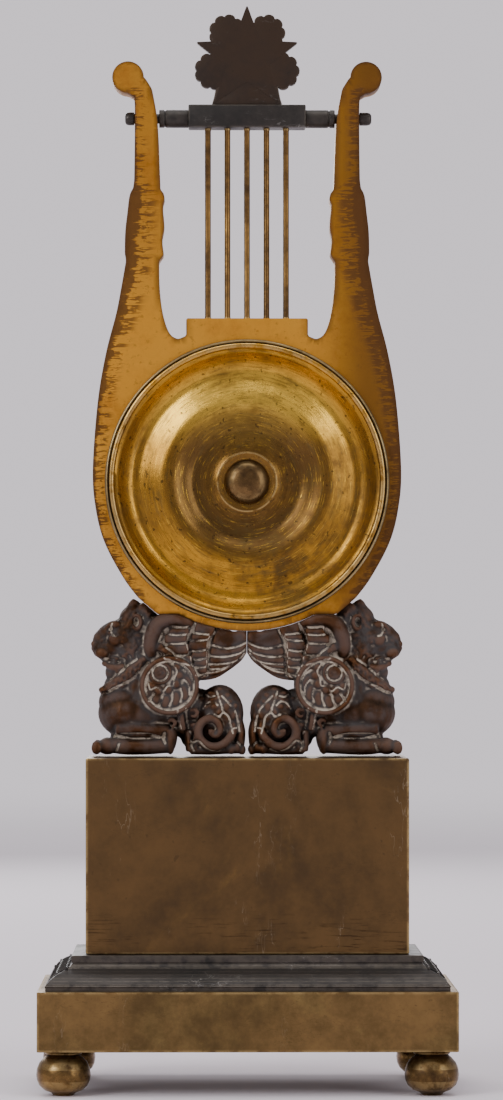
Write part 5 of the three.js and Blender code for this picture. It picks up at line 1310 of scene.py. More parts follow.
# The ledge that carries the dial: its inner radius, front and rear.
LEDGE = (44.0, -20.7, -16.7)
HINGE = (-55.2, -22.35)
KNUCKLE_RADIUS = 1.9
RING_STEPS = [
    (49.3, 10.0), (53.0, 10.0), (53.0, 12.4), (52.7, 13.0), (52.2, 13.3), (51.75, 13.0), (51.6, 12.2), (49.3, 12.2),
]
COVER_RADIUS = 51.3
COVER_TOP = 14.8
COVER_DEPTH = 7.2
COVER_FACE = [
    (0.985, 0.2), (0.998, 0.14), (1.0, 0.06), (0.99, 0.0), (0.976, 0.01), (0.966, 0.08), (0.962, 0.17), (0.945, 0.22),
    (0.93, 0.34), (0.9, 0.58), (0.87, 0.78), (0.84, 0.92), (0.81, 0.98), (0.77, 0.9), (0.72, 0.72), (0.66, 0.49),
    (0.62, 0.37), (0.575, 0.32), (0.53, 0.38), (0.49, 0.52), (0.455, 0.68), (0.42, 0.86), (0.39, 0.95), (0.36, 0.965),
    (0.3, 0.96), (0.226, 0.955), (0.22, 0.92), (0.208, 0.91), (0.2, 0.94), (0.16, 0.95),
]
COVER_REAR_FACE = [(0.1, 0.95), (0.39, 0.95), (0.56, 0.36), (0.81, 0.98), (0.87, 0.78), (0.9, 0.72)]
COVER_SKIRT = [(45.8, 6.5), (45.8, 5.9), (46.7, 5.9), (46.7, 10.9), (49.0, 10.9), (49.0, 12.5), (50.6, 12.5)]
COVER_WALL = 0.9
BOSS_BASE = 7.96
BOSS_SHARES = [
    (0.0, -0.78), (0.24, -0.78), (0.24, 0.0), (0.97, 0.0), (1.0, 0.05), (1.0, 0.13), (0.965, 0.2), (0.93, 0.36),
    (0.86, 0.55), (0.74, 0.73), (0.58, 0.86), (0.4, 0.945), (0.2, 0.99), (0.0, 1.0),
]
BOSS_RADIUS = 8.3
BOSS_HEIGHT = 4.6
BEZEL_STEPS = [
    (47.6, -22.5), (53.0, -22.5), (53.0, -24.0), (52.5, -24.5), (51.8, -24.9), (51.6, -25.5), (51.2, -26.6),
    (50.5, -27.6), (49.6, -28.3), (48.9, -28.6), (48.3, -28.6), (47.8, -28.2), (47.5, -27.6), (46.8, -27.3),
    (45.6, -26.9), (44.6, -26.5), (44.6, -26.1), (47.6, -26.1),
]
BEAD_COUNT = 120
BEAD_CIRCLE = (52.2, -24.9)
BEAD_RADIUS = 0.62
GLASS_RADIUS = 47.2
GLASS_SEAT = -26.02
GLASS_SIGHT = 44.6
GLASS_RISE = 2.2
GLASS_THICKNESS = 1.05


def leaf_and_knuckle(bm, reaches, front, rear):
    """A hinge knuckle with the leaf that joins it to its ring."""
    low, high = reaches
    turned(
        bm,
        softened([(0.95, low), (KNUCKLE_RADIUS, low), (KNUCKLE_RADIUS, high), (0.95, high)], 0.25, True, 2),
        "Z",
        (HINGE[0], HINGE[1], DIAL_Z),
        32,
        True,
    )
    block(bm, (HINGE[0] + 1.0, front, DIAL_Z + low), (-DRUM_RADIUS + 0.6, rear, DIAL_Z + high), 0.15)


class ClockCase(bpy.types.Operator):
    """Drum, rear ring and turned back cover with its boss"""

    bl_idname = "clock.case"
    bl_label = "Case"

    def execute(self, context):
        bm = bmesh.new()
        ledge, front, rear = LEDGE
        band = [
            (DRUM_RADIUS, DRUM_FRONT), (DRUM_RADIUS, DRUM_REAR), (DRUM_INNER, DRUM_REAR), (DRUM_INNER, rear),
            (ledge, rear), (ledge, front), (DRUM_INNER, front), (DRUM_INNER, DRUM_FRONT),
        ]
        turned(bm, softened(band, 0.3, True, 2), ring=True)
        for reaches in ((2.5, 6.9), (-6.9, -2.5)):
            leaf_and_knuckle(bm, reaches, HINGE[1] + 0.3, HINGE[1] + KNUCKLE_RADIUS)
        finished("drum_turned", bm, "clock", "drum_brass", ["drum"])
        ring = softened(RING_STEPS, 0.2, True, 2)
        lathed("rear_ring_turned", ring, "clock", "rim_brass", "aged_brass", ["rear_ring"], 50, ring=True)
        face = [(r * COVER_RADIUS, COVER_TOP - d * COVER_DEPTH) for r, d in COVER_FACE]
        inside = [(r * COVER_RADIUS, COVER_TOP - d * COVER_DEPTH - COVER_WALL) for r, d in COVER_REAR_FACE]
        dish = inside + COVER_SKIRT + face
        lathed("back_cover_dish", dish, "back", "dish_brass", "aged_brass", ["back_cover"], 50, ring=True)
        boss = [(r * BOSS_RADIUS, BOSS_BASE + a * BOSS_HEIGHT) for r, a in BOSS_SHARES]
        lathed("back_cover_button", boss, "back", "boss_brass", "brown_brass", ["back_cover_boss"], 50, steps=72)
        return {"FINISHED"}


NUMERALS = ("XII", "I", "II", "III", "IIII", "V", "VI", "VII", "VIII", "IX", "X", "XI")
DIAL_FACE = -21.7
DIAL_EDGE = 46.7
NUMERAL_INNER = 30.4
NUMERAL_OUTER = 38.6
TRACK_RADII = (40.2, 43.4)
THICK, THIN, SERIF = 1.25, 0.4, 0.3
LETTER_SPANS = {"I": 2.1, "V": 4.4, "X": 4.4}
PAINT = 0.06
ARBOR_HOLE = 3.0
WINDING_HOLE = 2.3
WINDING_PLACE = (-16.829, 209.371)
COLLAR_STEPS = [(2.3, 0.5), (3.0, 0.5), (3.0, -0.16), (2.3, -0.16)]


def stroke(bm, start, end, width, angle):
    """One painted stroke: start and end are (across, up) in a numeral that stands at that angle."""
    first, last = Vector(start), Vector(end)
    length = (last - first).length
    lean = math.atan2(last.x - first.x, last.y - first.y)
    middle = (first + last) / 2
    matrix = (
        Matrix.Translation(Vector((0, 0, DIAL_Z)) * MM)
        @ Matrix.Rotation(angle, 4, "Y")
        @ Matrix.Translation(Vector((middle.x, DIAL_FACE, middle.y)) * MM)
        @ Matrix.Rotation(lean, 4, "Y")
        @ Matrix.Diagonal((width * MM, 2 * PAINT * MM, length * MM, 1.0))
    )
    bmesh.ops.create_cube(bm, size=1.0, matrix=matrix)


def numeral(bm, letters, angle):
    """Thick and thin strokes with serifs for each letter, standing on the inner circle."""
    low, high = NUMERAL_INNER, NUMERAL_OUTER
    left = -sum(LETTER_SPANS[letter] for letter in letters) / 2
    for letter in letters:
        right = left + LETTER_SPANS[letter]
        middle = (left + right) / 2
        if letter == "I":
            stroke(bm, (middle, low), (middle, high), THICK, angle)
        elif letter == "V":
            stroke(bm, (left + 0.9, high), (middle + 0.1, low), THICK, angle)
            stroke(bm, (right - 0.8, high), (middle + 0.1, low), THIN, angle)
        else:
            stroke(bm, (left + 0.9, high), (right - 0.9, low), THICK, angle)
            stroke(bm, (right - 0.9, high), (left + 0.9, low), THIN, angle)
        for level in (low, high):
            if letter != "V" or level == high:
                stroke(bm, (left + 0.25, level), (right - 0.25, level), SERIF, angle)
        left = right


def painted_ring(bm, radius, width):
    rear, front = DIAL_FACE + PAINT, DIAL_FACE - PAINT
    band = [(radius, rear), (radius + width, rear), (radius + width, front), (radius, front)]
    turned(bm, band, steps=120, ring=True)


class ClockDial(bpy.types.Operator):
    """Enamel dial with Roman numerals and a minute track"""

    bl_idname = "clock.dial"
    bl_label = "Dial"

    def execute(self, context):
        bm = bmesh.new()
        outline = circle(0, DIAL_Z, DIAL_EDGE, 144)
        holes = [circle(0, DIAL_Z, ARBOR_HOLE, 36), circle(*WINDING_PLACE, WINDING_HOLE, 28)]
        sawn(bm, [outline, *holes], DIAL_FACE + 1.0, DIAL_FACE, 0.2)
        finished("dial_enamel", bm, "clock", "enamel", ["dial"], 35)
        bm = bmesh.new()
        for i, letters in enumerate(NUMERALS):
            numeral(bm, letters, math.tau * i / 12)
        for radius in TRACK_RADII:
            painted_ring(bm, radius, 0.25)
        for i in range(60):
            reach = 0.0 if i % 5 else 0.5
            width = 0.3 if i % 5 else 0.8
            stroke(bm, (0, TRACK_RADII[0] - reach), (0, TRACK_RADII[1]), width, math.tau * i / 60)
        finished("dial_painting", bm, "clock", "dial_black")
        x, z = WINDING_PLACE
        collar = softened(COLLAR_STEPS, 0.1, True, 2)
        place = {"centre": (x, DIAL_FACE, z), "steps": 40, "ring": True}
        lathed("winding_collar", collar, "clock", "movement_brass", "movement_brass", **place)
        return {"FINISHED"}


HAND_TIMES = {"hour_hand": math.tau * (1 + 5 / 6) / 12, "minute_hand": math.tau * 5 / 6}
# Length, front, height and radius of the eye, half width, body and bore.
HAND_SHAPES = {
    "hour_hand": (22.0, -22.9, 15.2, 2.9, 1.15, "hours", 3.3),
    "minute_hand": (34.0, -24.1, 26.5, 2.5, 0.85, "minutes", 1.4),
}
HUB_RADIUS = 3.5
EYE_RIM = 0.75
HAND_THICKNESS = 0.6


def hand_outline(length, eye, eye_radius, half):
    """The right way round a hand that points up, from its hub by the eye to the tip and back."""
    dots = [(-half, math.sqrt(HUB_RADIUS * HUB_RADIUS - half * half)), (-half * 0.62, eye - eye_radius)]
    for k in range(10):
        angle = math.pi * 1.5 - math.radians(20) - (math.tau - math.radians(40)) * k / 20
        dots.append((eye_radius * math.cos(angle), eye + eye_radius * math.sin(angle)))
    dots += [(-half * 0.9, eye + eye_radius + 0.2), (0, length)]
    dots += [(-x, z) for x, z in reversed(dots[:-1])]
    start = math.asin(half / HUB_RADIUS)
    for k in range(1, 30):
        angle = math.pi / 2 - start - (math.tau - 2 * start) * k / 30
        dots.append((HUB_RADIUS * math.cos(angle), HUB_RADIUS * math.sin(angle)))
    return [Vector(dot) for dot in dots]


class ClockHands(bpy.types.Operator):
    """Blued hands with an open ring near the tip, and the nut that holds them"""

    bl_idname = "clock.hands"
    bl_label = "Hands"

    def execute(self, context):
        for name, (length, front, eye, eye_radius, half, body, bore) in HAND_SHAPES.items():
            fresh = bmesh.new()
            holes = [circle(0, eye, eye_radius - EYE_RIM, 24), circle(0, 0, bore, 28)]
            outline = hand_outline(length, eye, eye_radius, half)
            sawn(fresh, [outline, *holes], front + HAND_THICKNESS, front, 0.12)
            place = Matrix.Translation(Vector((0, 0, DIAL_Z)) * MM) @ Matrix.Rotation(HAND_TIMES[name], 4, "Y")
            bm = bmesh.new()
            add_to(bm, fresh, place)
            finished(name + "_blued", bm, body, "blue_steel", [name], 30)
        finish_node("hand_nut", "movement_brass", 0.15)
        return {"FINISHED"}


class ClockBezel(bpy.types.Operator):
    """Hinged bezel with a row of beads, and its domed glass"""

    bl_idname = "clock.bezel"
    bl_label = "Bezel"

    def execute(self, context):
        bm = bmesh.new()
        turned(bm, softened(BEZEL_STEPS, 0.18, True, 2), ring=True)
        leaf_and_knuckle(bm, (-2.2, 2.2), HINGE[1] - KNUCKLE_RADIUS, HINGE[1] - 0.3)
        reach, y = BEAD_CIRCLE
        for k in range(BEAD_COUNT):
            angle = math.tau * k / BEAD_COUNT
            place = (reach * math.cos(angle), y, DIAL_Z + reach * math.sin(angle))
            lump(bm, place, (BEAD_RADIUS,) * 3, sides=6, rings=4)
        finished("bezel_turned", bm, "bezel_door", "gilt_plain", ["bezel"], 50)
        outer = []
        for k in range(14):
            share = k / 14 * GLASS_RADIUS / GLASS_SIGHT
            dome = GLASS_SEAT - 0.03 - GLASS_RISE * (1 - share ** 2)
            outer.append((GLASS_RADIUS * k / 14, min(dome, GLASS_SEAT)))
        outer.append((GLASS_RADIUS, GLASS_SEAT))
        glass = outer + [(r, a + GLASS_THICKNESS) for r, a in reversed(outer)]
        lathed("glass_dome", glass, "bezel_door", "clear_glass", "clear_glass", ["glass"], 50)
        finish_node("bezel_hinge_pin", "steel")
        return {"FINISHED"}


BRASS_WORKS = (
    "front_plate", "back_plate", "pillar_1", "pillar_2", "pillar_3", "barrel", "barrel_cover", "centre_wheel",
    "third_wheel", "fourth_wheel", "escape_wheel", "pendulum_bob", "back_cock", "minute_wheel", "hour_wheel",
)
STEEL_WORKS = (
    "mainspring", "winding_arbor", "ratchet_wheel", "click", "pallet_arbor", "pendulum", "cannon_pinion",
)


class ClockMovement(bpy.types.Operator):
    """Finishes of the movement inside the case"""

    bl_idname = "clock.movement"
    bl_label = "Movement"

    def execute(self, context):
        for name in BRASS_WORKS:
            finish_node(name, "movement_brass", 0.12)
        for name in STEEL_WORKS:
            finish_node(name, "steel", 0.08)
        return {"FINISHED"}


# ---- lions, carved on the +X side and mirrored to the other; places are (x, z) or (x, y, z) in millimetres


LION_NODES = {"lion_left": 1, "lion_right": -1}
LION_NUTS = ("lion_nut_left", "lion_nut_right")
# Masses on the middle of the lion: path of (x, z), half widths along Y, half heights.
LION_MASSES = [
    ([(13.6, 140.7), (19.9, 142.3), (29.4, 141.0), (41.2, 140.5)], [5.0, 8.8, 10.0, 10.2], [6.2, 7.2, 8.4, 9.2]),
    (
        [(40.4, 141.6), (40.3, 151.1), (40.3, 159.8), (41.2, 169.3), (41.9, 177.2), (42.2, 182.6)],
        [9.2, 8.4, 7.8, 7.0, 5.2, 1.4],
        [8.8, 7.8, 7.2, 6.4, 4.2, 1.0],
    ),
    (
        [(45.2, 166.0), (50.3, 165.2), (53.5, 165.0), (55.8, 164.7), (57.3, 165.1), (58.1, 165.5)],
        [6.6, 6.0, 5.1, 4.1, 2.6, 0.4],
        [7.0, 6.6, 5.9, 3.9, 2.0, 0.4],
    ),
    ([(44.0, 158.6), (48.3, 157.9), (51.8, 158.4)], [6.0, 4.9, 2.0], [2.6, 2.1, 0.8]),
    ([(49.1, 171.5), (52.1, 169.8), (54.8, 167.6), (57.0, 165.7)], [5.4, 4.8, 4.0, 2.6], [3.4, 3.4, 3.0, 1.6]),
    ([(53.7, 161.2), (51.7, 160.1), (48.3, 159.4)], [3.8, 4.6, 5.4], [1.8, 2.2, 2.4]),
    ([(44.8, 170.5), (44.4, 175.6), (42.9, 180.2), (42.3, 182.7)], [6.6, 5.6, 3.2, 0.8], [4.6, 3.4, 1.7, 0.5]),
    ([(51.5, 129.6), (41.2, 129.9), (33.7, 130.4), (27.2, 130.3)], [5.6, 6.4, 6.4, 5.6], [4.2, 5.4, 5.4, 4.6]),
    ([(26.2, 134.5), (23.4, 132.5), (21.5, 130.3), (19.9, 126.6)], [6.0, 6.4, 6.2, 5.6], [3.4, 2.6, 3.2, 2.2]),
    ([(40.3, 180.5), (38.1, 177.2), (36.8, 173.3), (37.0, 168.4)], [5.0, 6.4, 7.0, 7.4], [2.6, 4.2, 4.4, 4.6]),
]
# Lumps on the middle of the lion: centre (x, z) and radii.
LION_LUMPS = [
    ((10.4, 139.3), (9.0, 8.8, 11.0)),
    ((44.7, 139.9), (11.1, 10.7, 9.4)),
    ((37.3, 144.8), (8.6, 9.6, 9.0)),
    ((40.3, 139.3), (14.4, 10.6, 9.3)),
    ((46.0, 144.0), (9.6, 9.4, 7.4)),
    ((21.1, 134.5), (4.6, 7.4, 5.2)),
    ((4.7, 131.0), (3.2, 6.0, 6.4)),
    ((16.7, 138.5), (5.0, 7.6, 6.0)),
    ((46.0, 168.1), (7.2, 7.0, 7.4)),
    ((49.1, 172.0), (3.4, 5.0, 2.6)),
    ((53.7, 163.0), (3.2, 5.0, 3.2)),
    ((48.5, 155.1), (4.6, 6.2, 4.4)),
    ((47.4, 150.2), (6.2, 7.2, 4.8)),
    ((50.5, 148.6), (4.0, 6.4, 3.0)),
    ((53.7, 148.3), (1.7, 4.4, 1.5)),
    ((42.6, 163.9), (7.0, 7.8, 8.0)),
]
# Lumps on each flank: centre and radii.
FLANK_LUMPS = [
    ((10.0, 4.6, 139.7), (8.9, 6.7, 10.8)),
    ((52.1, 7.2, 127.5), (4.0, 4.1, 3.1)),
    ((28.6, 7.4, 129.6), (1.9, 4.0, 5.2)),
    ((49.1, 5.0, 167.1), (2.7, 2.4, 2.5)),
    ((49.0, 4.5, 172.9), (2.1, 1.8, 1.5)),
    ((54.0, 3.6, 162.4), (2.9, 2.4, 2.3)),
    ((53.2, 3.4, 164.6), (2.3, 1.6, 1.5)),
    ((50.9, 5.0, 170.0), (1.0, 0.9, 0.9)),
    ((57.0, 1.6, 165.7), (1.5, 1.5, 1.3)),
    ((52.8, 2.4, 158.4), (1.6, 2.4, 1.2)),
    ((54.0, 4.0, 148.6), (1.5, 2.2, 1.3)),
]
# Forms drawn out on each flank: path, half widths along Y, half heights.
FLANK_FORMS = [
    (
        [(27.5, 7.2, 128.1), (37.3, 7.2, 127.3), (45.2, 7.2, 127.3), (53.5, 7.2, 128.1)],
        [3.2, 3.7, 3.8, 3.4],
        [3.0, 2.9, 3.0, 2.6],
    ),
    (
        [(28.3, 6.6, 133.3), (34.1, 6.4, 133.7), (42.0, 6.4, 134.5), (49.1, 5.6, 135.6)],
        [3.4, 3.9, 4.0, 3.4],
        [2.2, 3.0, 3.8, 3.6],
    ),
    ([(28.9, 7.2, 133.7), (28.3, 7.4, 130.9), (28.9, 7.2, 127.4)], [3.2, 3.6, 3.2], [2.2, 2.3, 2.2]),
    (
        [(21.8, 7.0, 126.8), (14.3, 7.4, 126.2), (7.2, 7.2, 126.8), (2.3, 6.6, 126.2)],
        [3.2, 4.0, 4.2, 2.6],
        [2.3, 1.9, 2.2, 1.6],
    ),
    ([(2.9, 5.0, 137.7), (2.3, 6.2, 132.6), (2.9, 6.6, 127.8)], [3.0, 4.0, 3.4], [1.3, 1.8, 2.0]),
    ([(21.5, 6.5, 133.7), (21.7, 6.8, 129.0), (21.5, 6.8, 125.4)], [3.0, 3.4, 3.2], [1.6, 1.5, 1.3]),
    (
        [(48.3, 5.2, 173.6), (50.9, 4.9, 172.9), (52.8, 3.6, 171.2), (55.3, 2.0, 168.7)],
        [1.0, 1.1, 0.9, 0.6],
        [0.9, 1.0, 0.8, 0.5],
    ),
    ([(47.1, 5.9, 168.4), (49.9, 5.9, 168.4), (52.1, 4.9, 167.9)], [0.7, 0.9, 0.5], [0.5, 0.6, 0.4]),
    ([(53.1, 3.0, 159.7), (50.7, 4.6, 160.3), (47.7, 5.6, 159.7)], [0.7, 0.9, 0.7], [0.6, 0.7, 0.5]),
    (
        [(37.3, 7.8, 161.2), (41.5, 7.5, 157.3), (46.0, 7.0, 153.7), (50.4, 6.0, 150.7), (53.7, 4.2, 148.8)],
        [1.5, 1.8, 1.8, 1.7, 1.2],
        [1.5, 1.9, 1.9, 1.7, 1.2],
    ),
    ([(46.1, 6.6, 156.8), (49.4, 5.6, 156.8), (52.6, 3.6, 157.8)], [1.8, 1.8, 1.0], [1.6, 1.5, 0.9]),
]
TAIL = [
    (5.7, 9.0, 136.6), (5.3, 10.2, 133.3), (7.1, 11.0, 129.9), (10.4, 11.4, 127.6), (14.5, 11.5, 127.7),
    (17.5, 11.5, 130.3), (18.2, 11.5, 133.6), (16.7, 11.5, 136.6), (13.7, 11.5, 137.9), (11.0, 11.5, 136.6),
    (10.1, 11.4, 133.7), (11.5, 11.3, 131.7), (13.2, 11.5, 132.5), (13.2, 12.0, 133.9),
]
TAIL_WIDTHS = [1.3, 1.7, 1.7, 1.7, 1.6, 1.4, 1.2, 1.2]
LEAF_BELOW_TAIL = [
    (20.0, 11.2, 130.7), (17.7, 11.5, 129.8), (15.0, 11.6, 127.1), (11.8, 11.4, 126.2), (9.2, 11.0, 127.3),
]
SHOULDER = [
    (35.5, 7.6, 161.2), (36.0, 9.2, 165.4), (35.1, 10.0, 169.6), (32.7, 10.2, 173.3), (28.4, 10.2, 174.8),
    (23.8, 9.8, 174.5), (20.4, 8.8, 172.8),
]
SHOULDER_WIDTHS = [2.4, 3.4, 3.5, 3.4, 3.3, 3.2, 2.0]
SHOULDER_DEPTHS = [2.2, 2.7, 2.8, 2.8, 2.5, 2.5, 1.4]
WING_BLADE = [
    (37.3, 161.2), (38.3, 165.4), (37.9, 170.1), (35.7, 174.7), (31.7, 177.1), (25.4, 177.2), (19.2, 175.9),
    (11.7, 172.8), (7.2, 171.2), (4.2, 170.1), (2.9, 171.2), (1.1, 172.0), (-0.8, 170.7), (-1.1, 168.4),
    (-1.0, 164.9), (0.8, 161.4), (2.6, 159.0), (6.8, 155.8), (11.7, 152.9), (17.7, 152.1), (23.8, 152.7),
    (30.2, 155.9), (35.7, 158.2),
]
WING_REAR = 4.8
WING_FRONT = 9.3
# Feathers of the three ranks: points from root to tip along the middle, and half widths.
LONG_FEATHERS = [
    ([(12.6, 168.4), (8.7, 167.4), (4.1, 167.9), (0.0, 169.0)], [3.1, 3.3, 2.8, 1.6]),
    ([(14.0, 163.1), (8.8, 162.5), (3.8, 163.5), (-0.4, 166.1)], [1.8, 1.7, 1.4, 0.7]),
    ([(14.2, 159.7), (9.6, 159.7), (5.2, 160.5), (1.4, 163.0)], [1.7, 1.5, 1.3, 0.6]),
    ([(14.3, 157.1), (10.4, 157.3), (6.3, 158.2), (3.0, 160.5)], [1.2, 1.1, 0.9, 0.5]),
    ([(14.5, 154.9), (11.2, 155.2), (7.9, 156.5), (5.7, 157.8)], [0.9, 0.8, 0.6, 0.4]),
]
MIDDLE_FEATHERS = [
    ([(19.6, 171.8), (16.2, 171.5), (12.1, 170.6)], [2.2, 2.4, 2.0]),
    ([(20.8, 168.3), (17.7, 168.2), (13.6, 168.4)], [1.3, 1.4, 1.3]),
    ([(21.9, 165.2), (18.3, 165.2), (14.3, 165.4)], [1.8, 2.0, 1.8]),
    ([(20.8, 161.6), (17.7, 161.6), (14.5, 162.0)], [1.6, 1.7, 1.6]),
    ([(20.0, 158.6), (17.5, 158.6), (14.5, 158.7)], [1.5, 1.6, 1.5]),
    ([(19.4, 155.7), (17.3, 155.7), (14.8, 156.0)], [1.3, 1.4, 1.2]),
    ([(18.3, 153.5), (16.7, 153.5), (15.1, 154.0)], [0.9, 0.9, 0.7]),
]
SHORT_FEATHERS = [
    ([(29.2, 170.6), (25.7, 170.4), (21.6, 170.6)], [1.3, 1.5, 1.4]),
    ([(30.8, 167.6), (27.0, 167.6), (22.3, 167.9)], [1.7, 1.9, 1.7]),
    ([(29.7, 164.3), (25.9, 163.8), (21.6, 164.1)], [1.6, 2.2, 2.1]),
    ([(26.2, 160.3), (23.5, 159.8), (20.4, 159.7)], [1.5, 1.9, 1.7]),
    ([(23.8, 157.6), (21.8, 157.3), (19.6, 157.1)], [1.0, 1.2, 1.0]),
]
LEAF_SCALLOPS = [(32.5, 10.2, 164.4), (30.5, 10.5, 163.1), (28.4, 10.8, 161.4), (26.8, 11.2, 159.2)]
VOLUTE_CENTRE = (28.9, 150.2)
VOLUTE_PROFILE = [
    (0.0, 6.0), (10.6, 6.0), (11.0, 6.5), (11.0, 12.9), (10.8, 13.5), (10.3, 13.8), (9.8, 13.7), (9.4, 13.3),
    (9.1, 12.6), (0.0, 12.45),
]
ROSETTE = (32.4, 13.0, 154.9)
ROSETTE_PETALS = 8
ROSETTE_RIM = [(3.4, -1.0), (4.3, -1.0), (4.3, 0.2), (3.85, 0.6), (3.4, 0.2)]
VOLUTE_LOBES = [(26.2, 157.1), (25.3, 154.1), (26.5, 150.8), (29.4, 148.8), (33.0, 148.4), (35.5, 149.9)]
VOLUTE_SEGMENTS = [
    ([(23.7, 157.8), (21.3, 155.6), (20.0, 153.5)], [1.3, 1.9, 1.0]),
    ([(23.5, 153.8), (21.0, 151.1), (20.8, 148.1)], [1.3, 2.1, 1.0]),
    ([(24.6, 150.3), (23.0, 147.5), (23.5, 144.8)], [1.2, 2.0, 1.0]),
    ([(27.0, 147.8), (26.4, 145.1), (27.2, 142.8)], [1.2, 1.8, 0.9]),
    ([(30.2, 146.4), (30.3, 144.2), (31.1, 142.0)], [1.2, 1.8, 0.9]),
    ([(33.3, 146.4), (34.3, 144.6), (35.1, 143.2)], [1.1, 1.6, 0.8]),
    ([(36.3, 148.0), (37.3, 146.7), (37.6, 145.4)], [0.9, 1.2, 0.6]),
]
STRAP = ([(25.0, 10.4, 140.2), (24.4, 10.6, 136.7), (23.7, 9.8, 133.3)], [0.9, 0.9, 0.9], [1.25, 1.2, 1.1])
CURLS = [
    [(21.5, 10.4, 140.7), (19.6, 10.9, 141.3), (18.5, 11.0, 139.9), (19.7, 10.9, 138.6), (21.1, 10.6, 139.3)],
    [(20.8, 10.2, 135.2), (19.6, 10.6, 135.6), (19.1, 10.5, 134.4), (20.4, 10.2, 133.7)],
    [(29.5, 9.8, 136.6), (27.9, 10.2, 137.5), (26.8, 10.3, 136.0), (28.1, 10.0, 134.5)],
    [(21.3, 10.0, 128.4), (19.6, 10.6, 129.3), (18.6, 10.6, 127.7), (20.2, 10.2, 126.6)],
]
FORE_TOES = (56.1, 7.2, 127.3)
TOES = [(6.1, 9.6, 126.5), (3.8, 8.8, 127.1), (2.0, 7.4, 126.3)]
HAUNCH_TUFTS = [
    ((7.9, 142.1), 1.9, 1.1, 55), ((5.3, 139.0), 1.9, 1.1, 70), ((4.8, 135.3), 1.9, 1.0, 84),
    ((10.4, 145.8), 1.5, 0.9, 20), ((13.6, 147.3), 1.4, 0.8, -10), ((7.5, 146.4), 1.4, 0.8, 45),
    ((4.5, 142.4), 1.3, 0.8, 60), ((2.9, 138.5), 1.2, 0.7, 80), ((12.1, 142.4), 1.5, 0.9, 10),
    ((10.4, 140.2), 1.2, 0.7, 50), ((16.7, 145.1), 1.3, 0.8, -25), ((15.1, 142.3), 1.3, 0.8, 0),
    ((10.4, 148.9), 1.2, 0.7, 10), ((13.2, 144.8), 1.1, 0.7, 30), ((2.9, 133.7), 1.3, 0.7, 84),
    ((6.6, 144.0), 1.0, 0.6, 40),
]
# Engraved lines that hold pale residue: points, half width, depth.
FLANK_LINES = [
    (
        [(11.3, 148.0), (10.4, 145.1), (9.4, 142.4), (8.8, 140.4), (6.8, 138.5), (6.1, 135.0), (5.2, 132.5)],
        0.55,
        0.45,
    ),
    ([(9.4, 146.4), (6.4, 143.2), (4.4, 140.7), (3.3, 136.9), (2.8, 133.1)], 0.5, 0.4),
    ([(16.4, 141.6), (14.8, 143.7), (12.6, 144.3), (10.9, 142.9)], 0.5, 0.35),
    ([(16.7, 148.0), (14.2, 146.1), (12.1, 146.4)], 0.5, 0.3),
    ([(8.8, 140.4), (10.4, 138.8), (12.3, 139.4)], 0.5, 0.4),
    ([(5.7, 134.2), (3.9, 134.5)], 0.5, 0.35),
    ([(47.7, 128.7), (48.3, 126.8), (49.0, 124.9)], 0.6, 0.6),
    ([(30.8, 132.5), (31.4, 130.6), (30.5, 128.7)], 0.6, 0.6),
    ([(51.8, 130.7), (47.5, 131.8), (42.5, 132.1), (37.3, 132.0), (32.8, 130.9)], 0.6, 0.7),
    ([(50.4, 173.6), (50.9, 171.5), (50.4, 169.3), (49.0, 168.8)], 0.55, 0.5),
    ([(54.3, 147.3), (51.5, 148.0), (49.1, 149.4), (45.5, 151.1), (42.3, 153.0), (40.7, 155.1)], 0.6, 0.5),
    ([(51.5, 151.9), (48.3, 154.3), (45.2, 157.1), (41.2, 160.0)], 0.5, 0.4),
    ([(25.9, 141.2), (25.4, 137.7), (24.8, 133.9)], 0.55, 0.5),
    ([(22.7, 141.6), (22.4, 138.0), (21.9, 134.4)], 0.55, 0.5),
    ([(21.5, 133.3), (20.2, 131.4), (21.0, 128.7), (19.9, 125.8)], 0.55, 0.5),
    ([(21.0, 128.2), (18.3, 129.6), (15.1, 126.6), (11.8, 125.5), (8.5, 126.5)], 0.55, 0.5),
    ([(6.1, 128.7), (4.4, 129.6), (2.5, 128.1)], 0.5, 0.45),
]
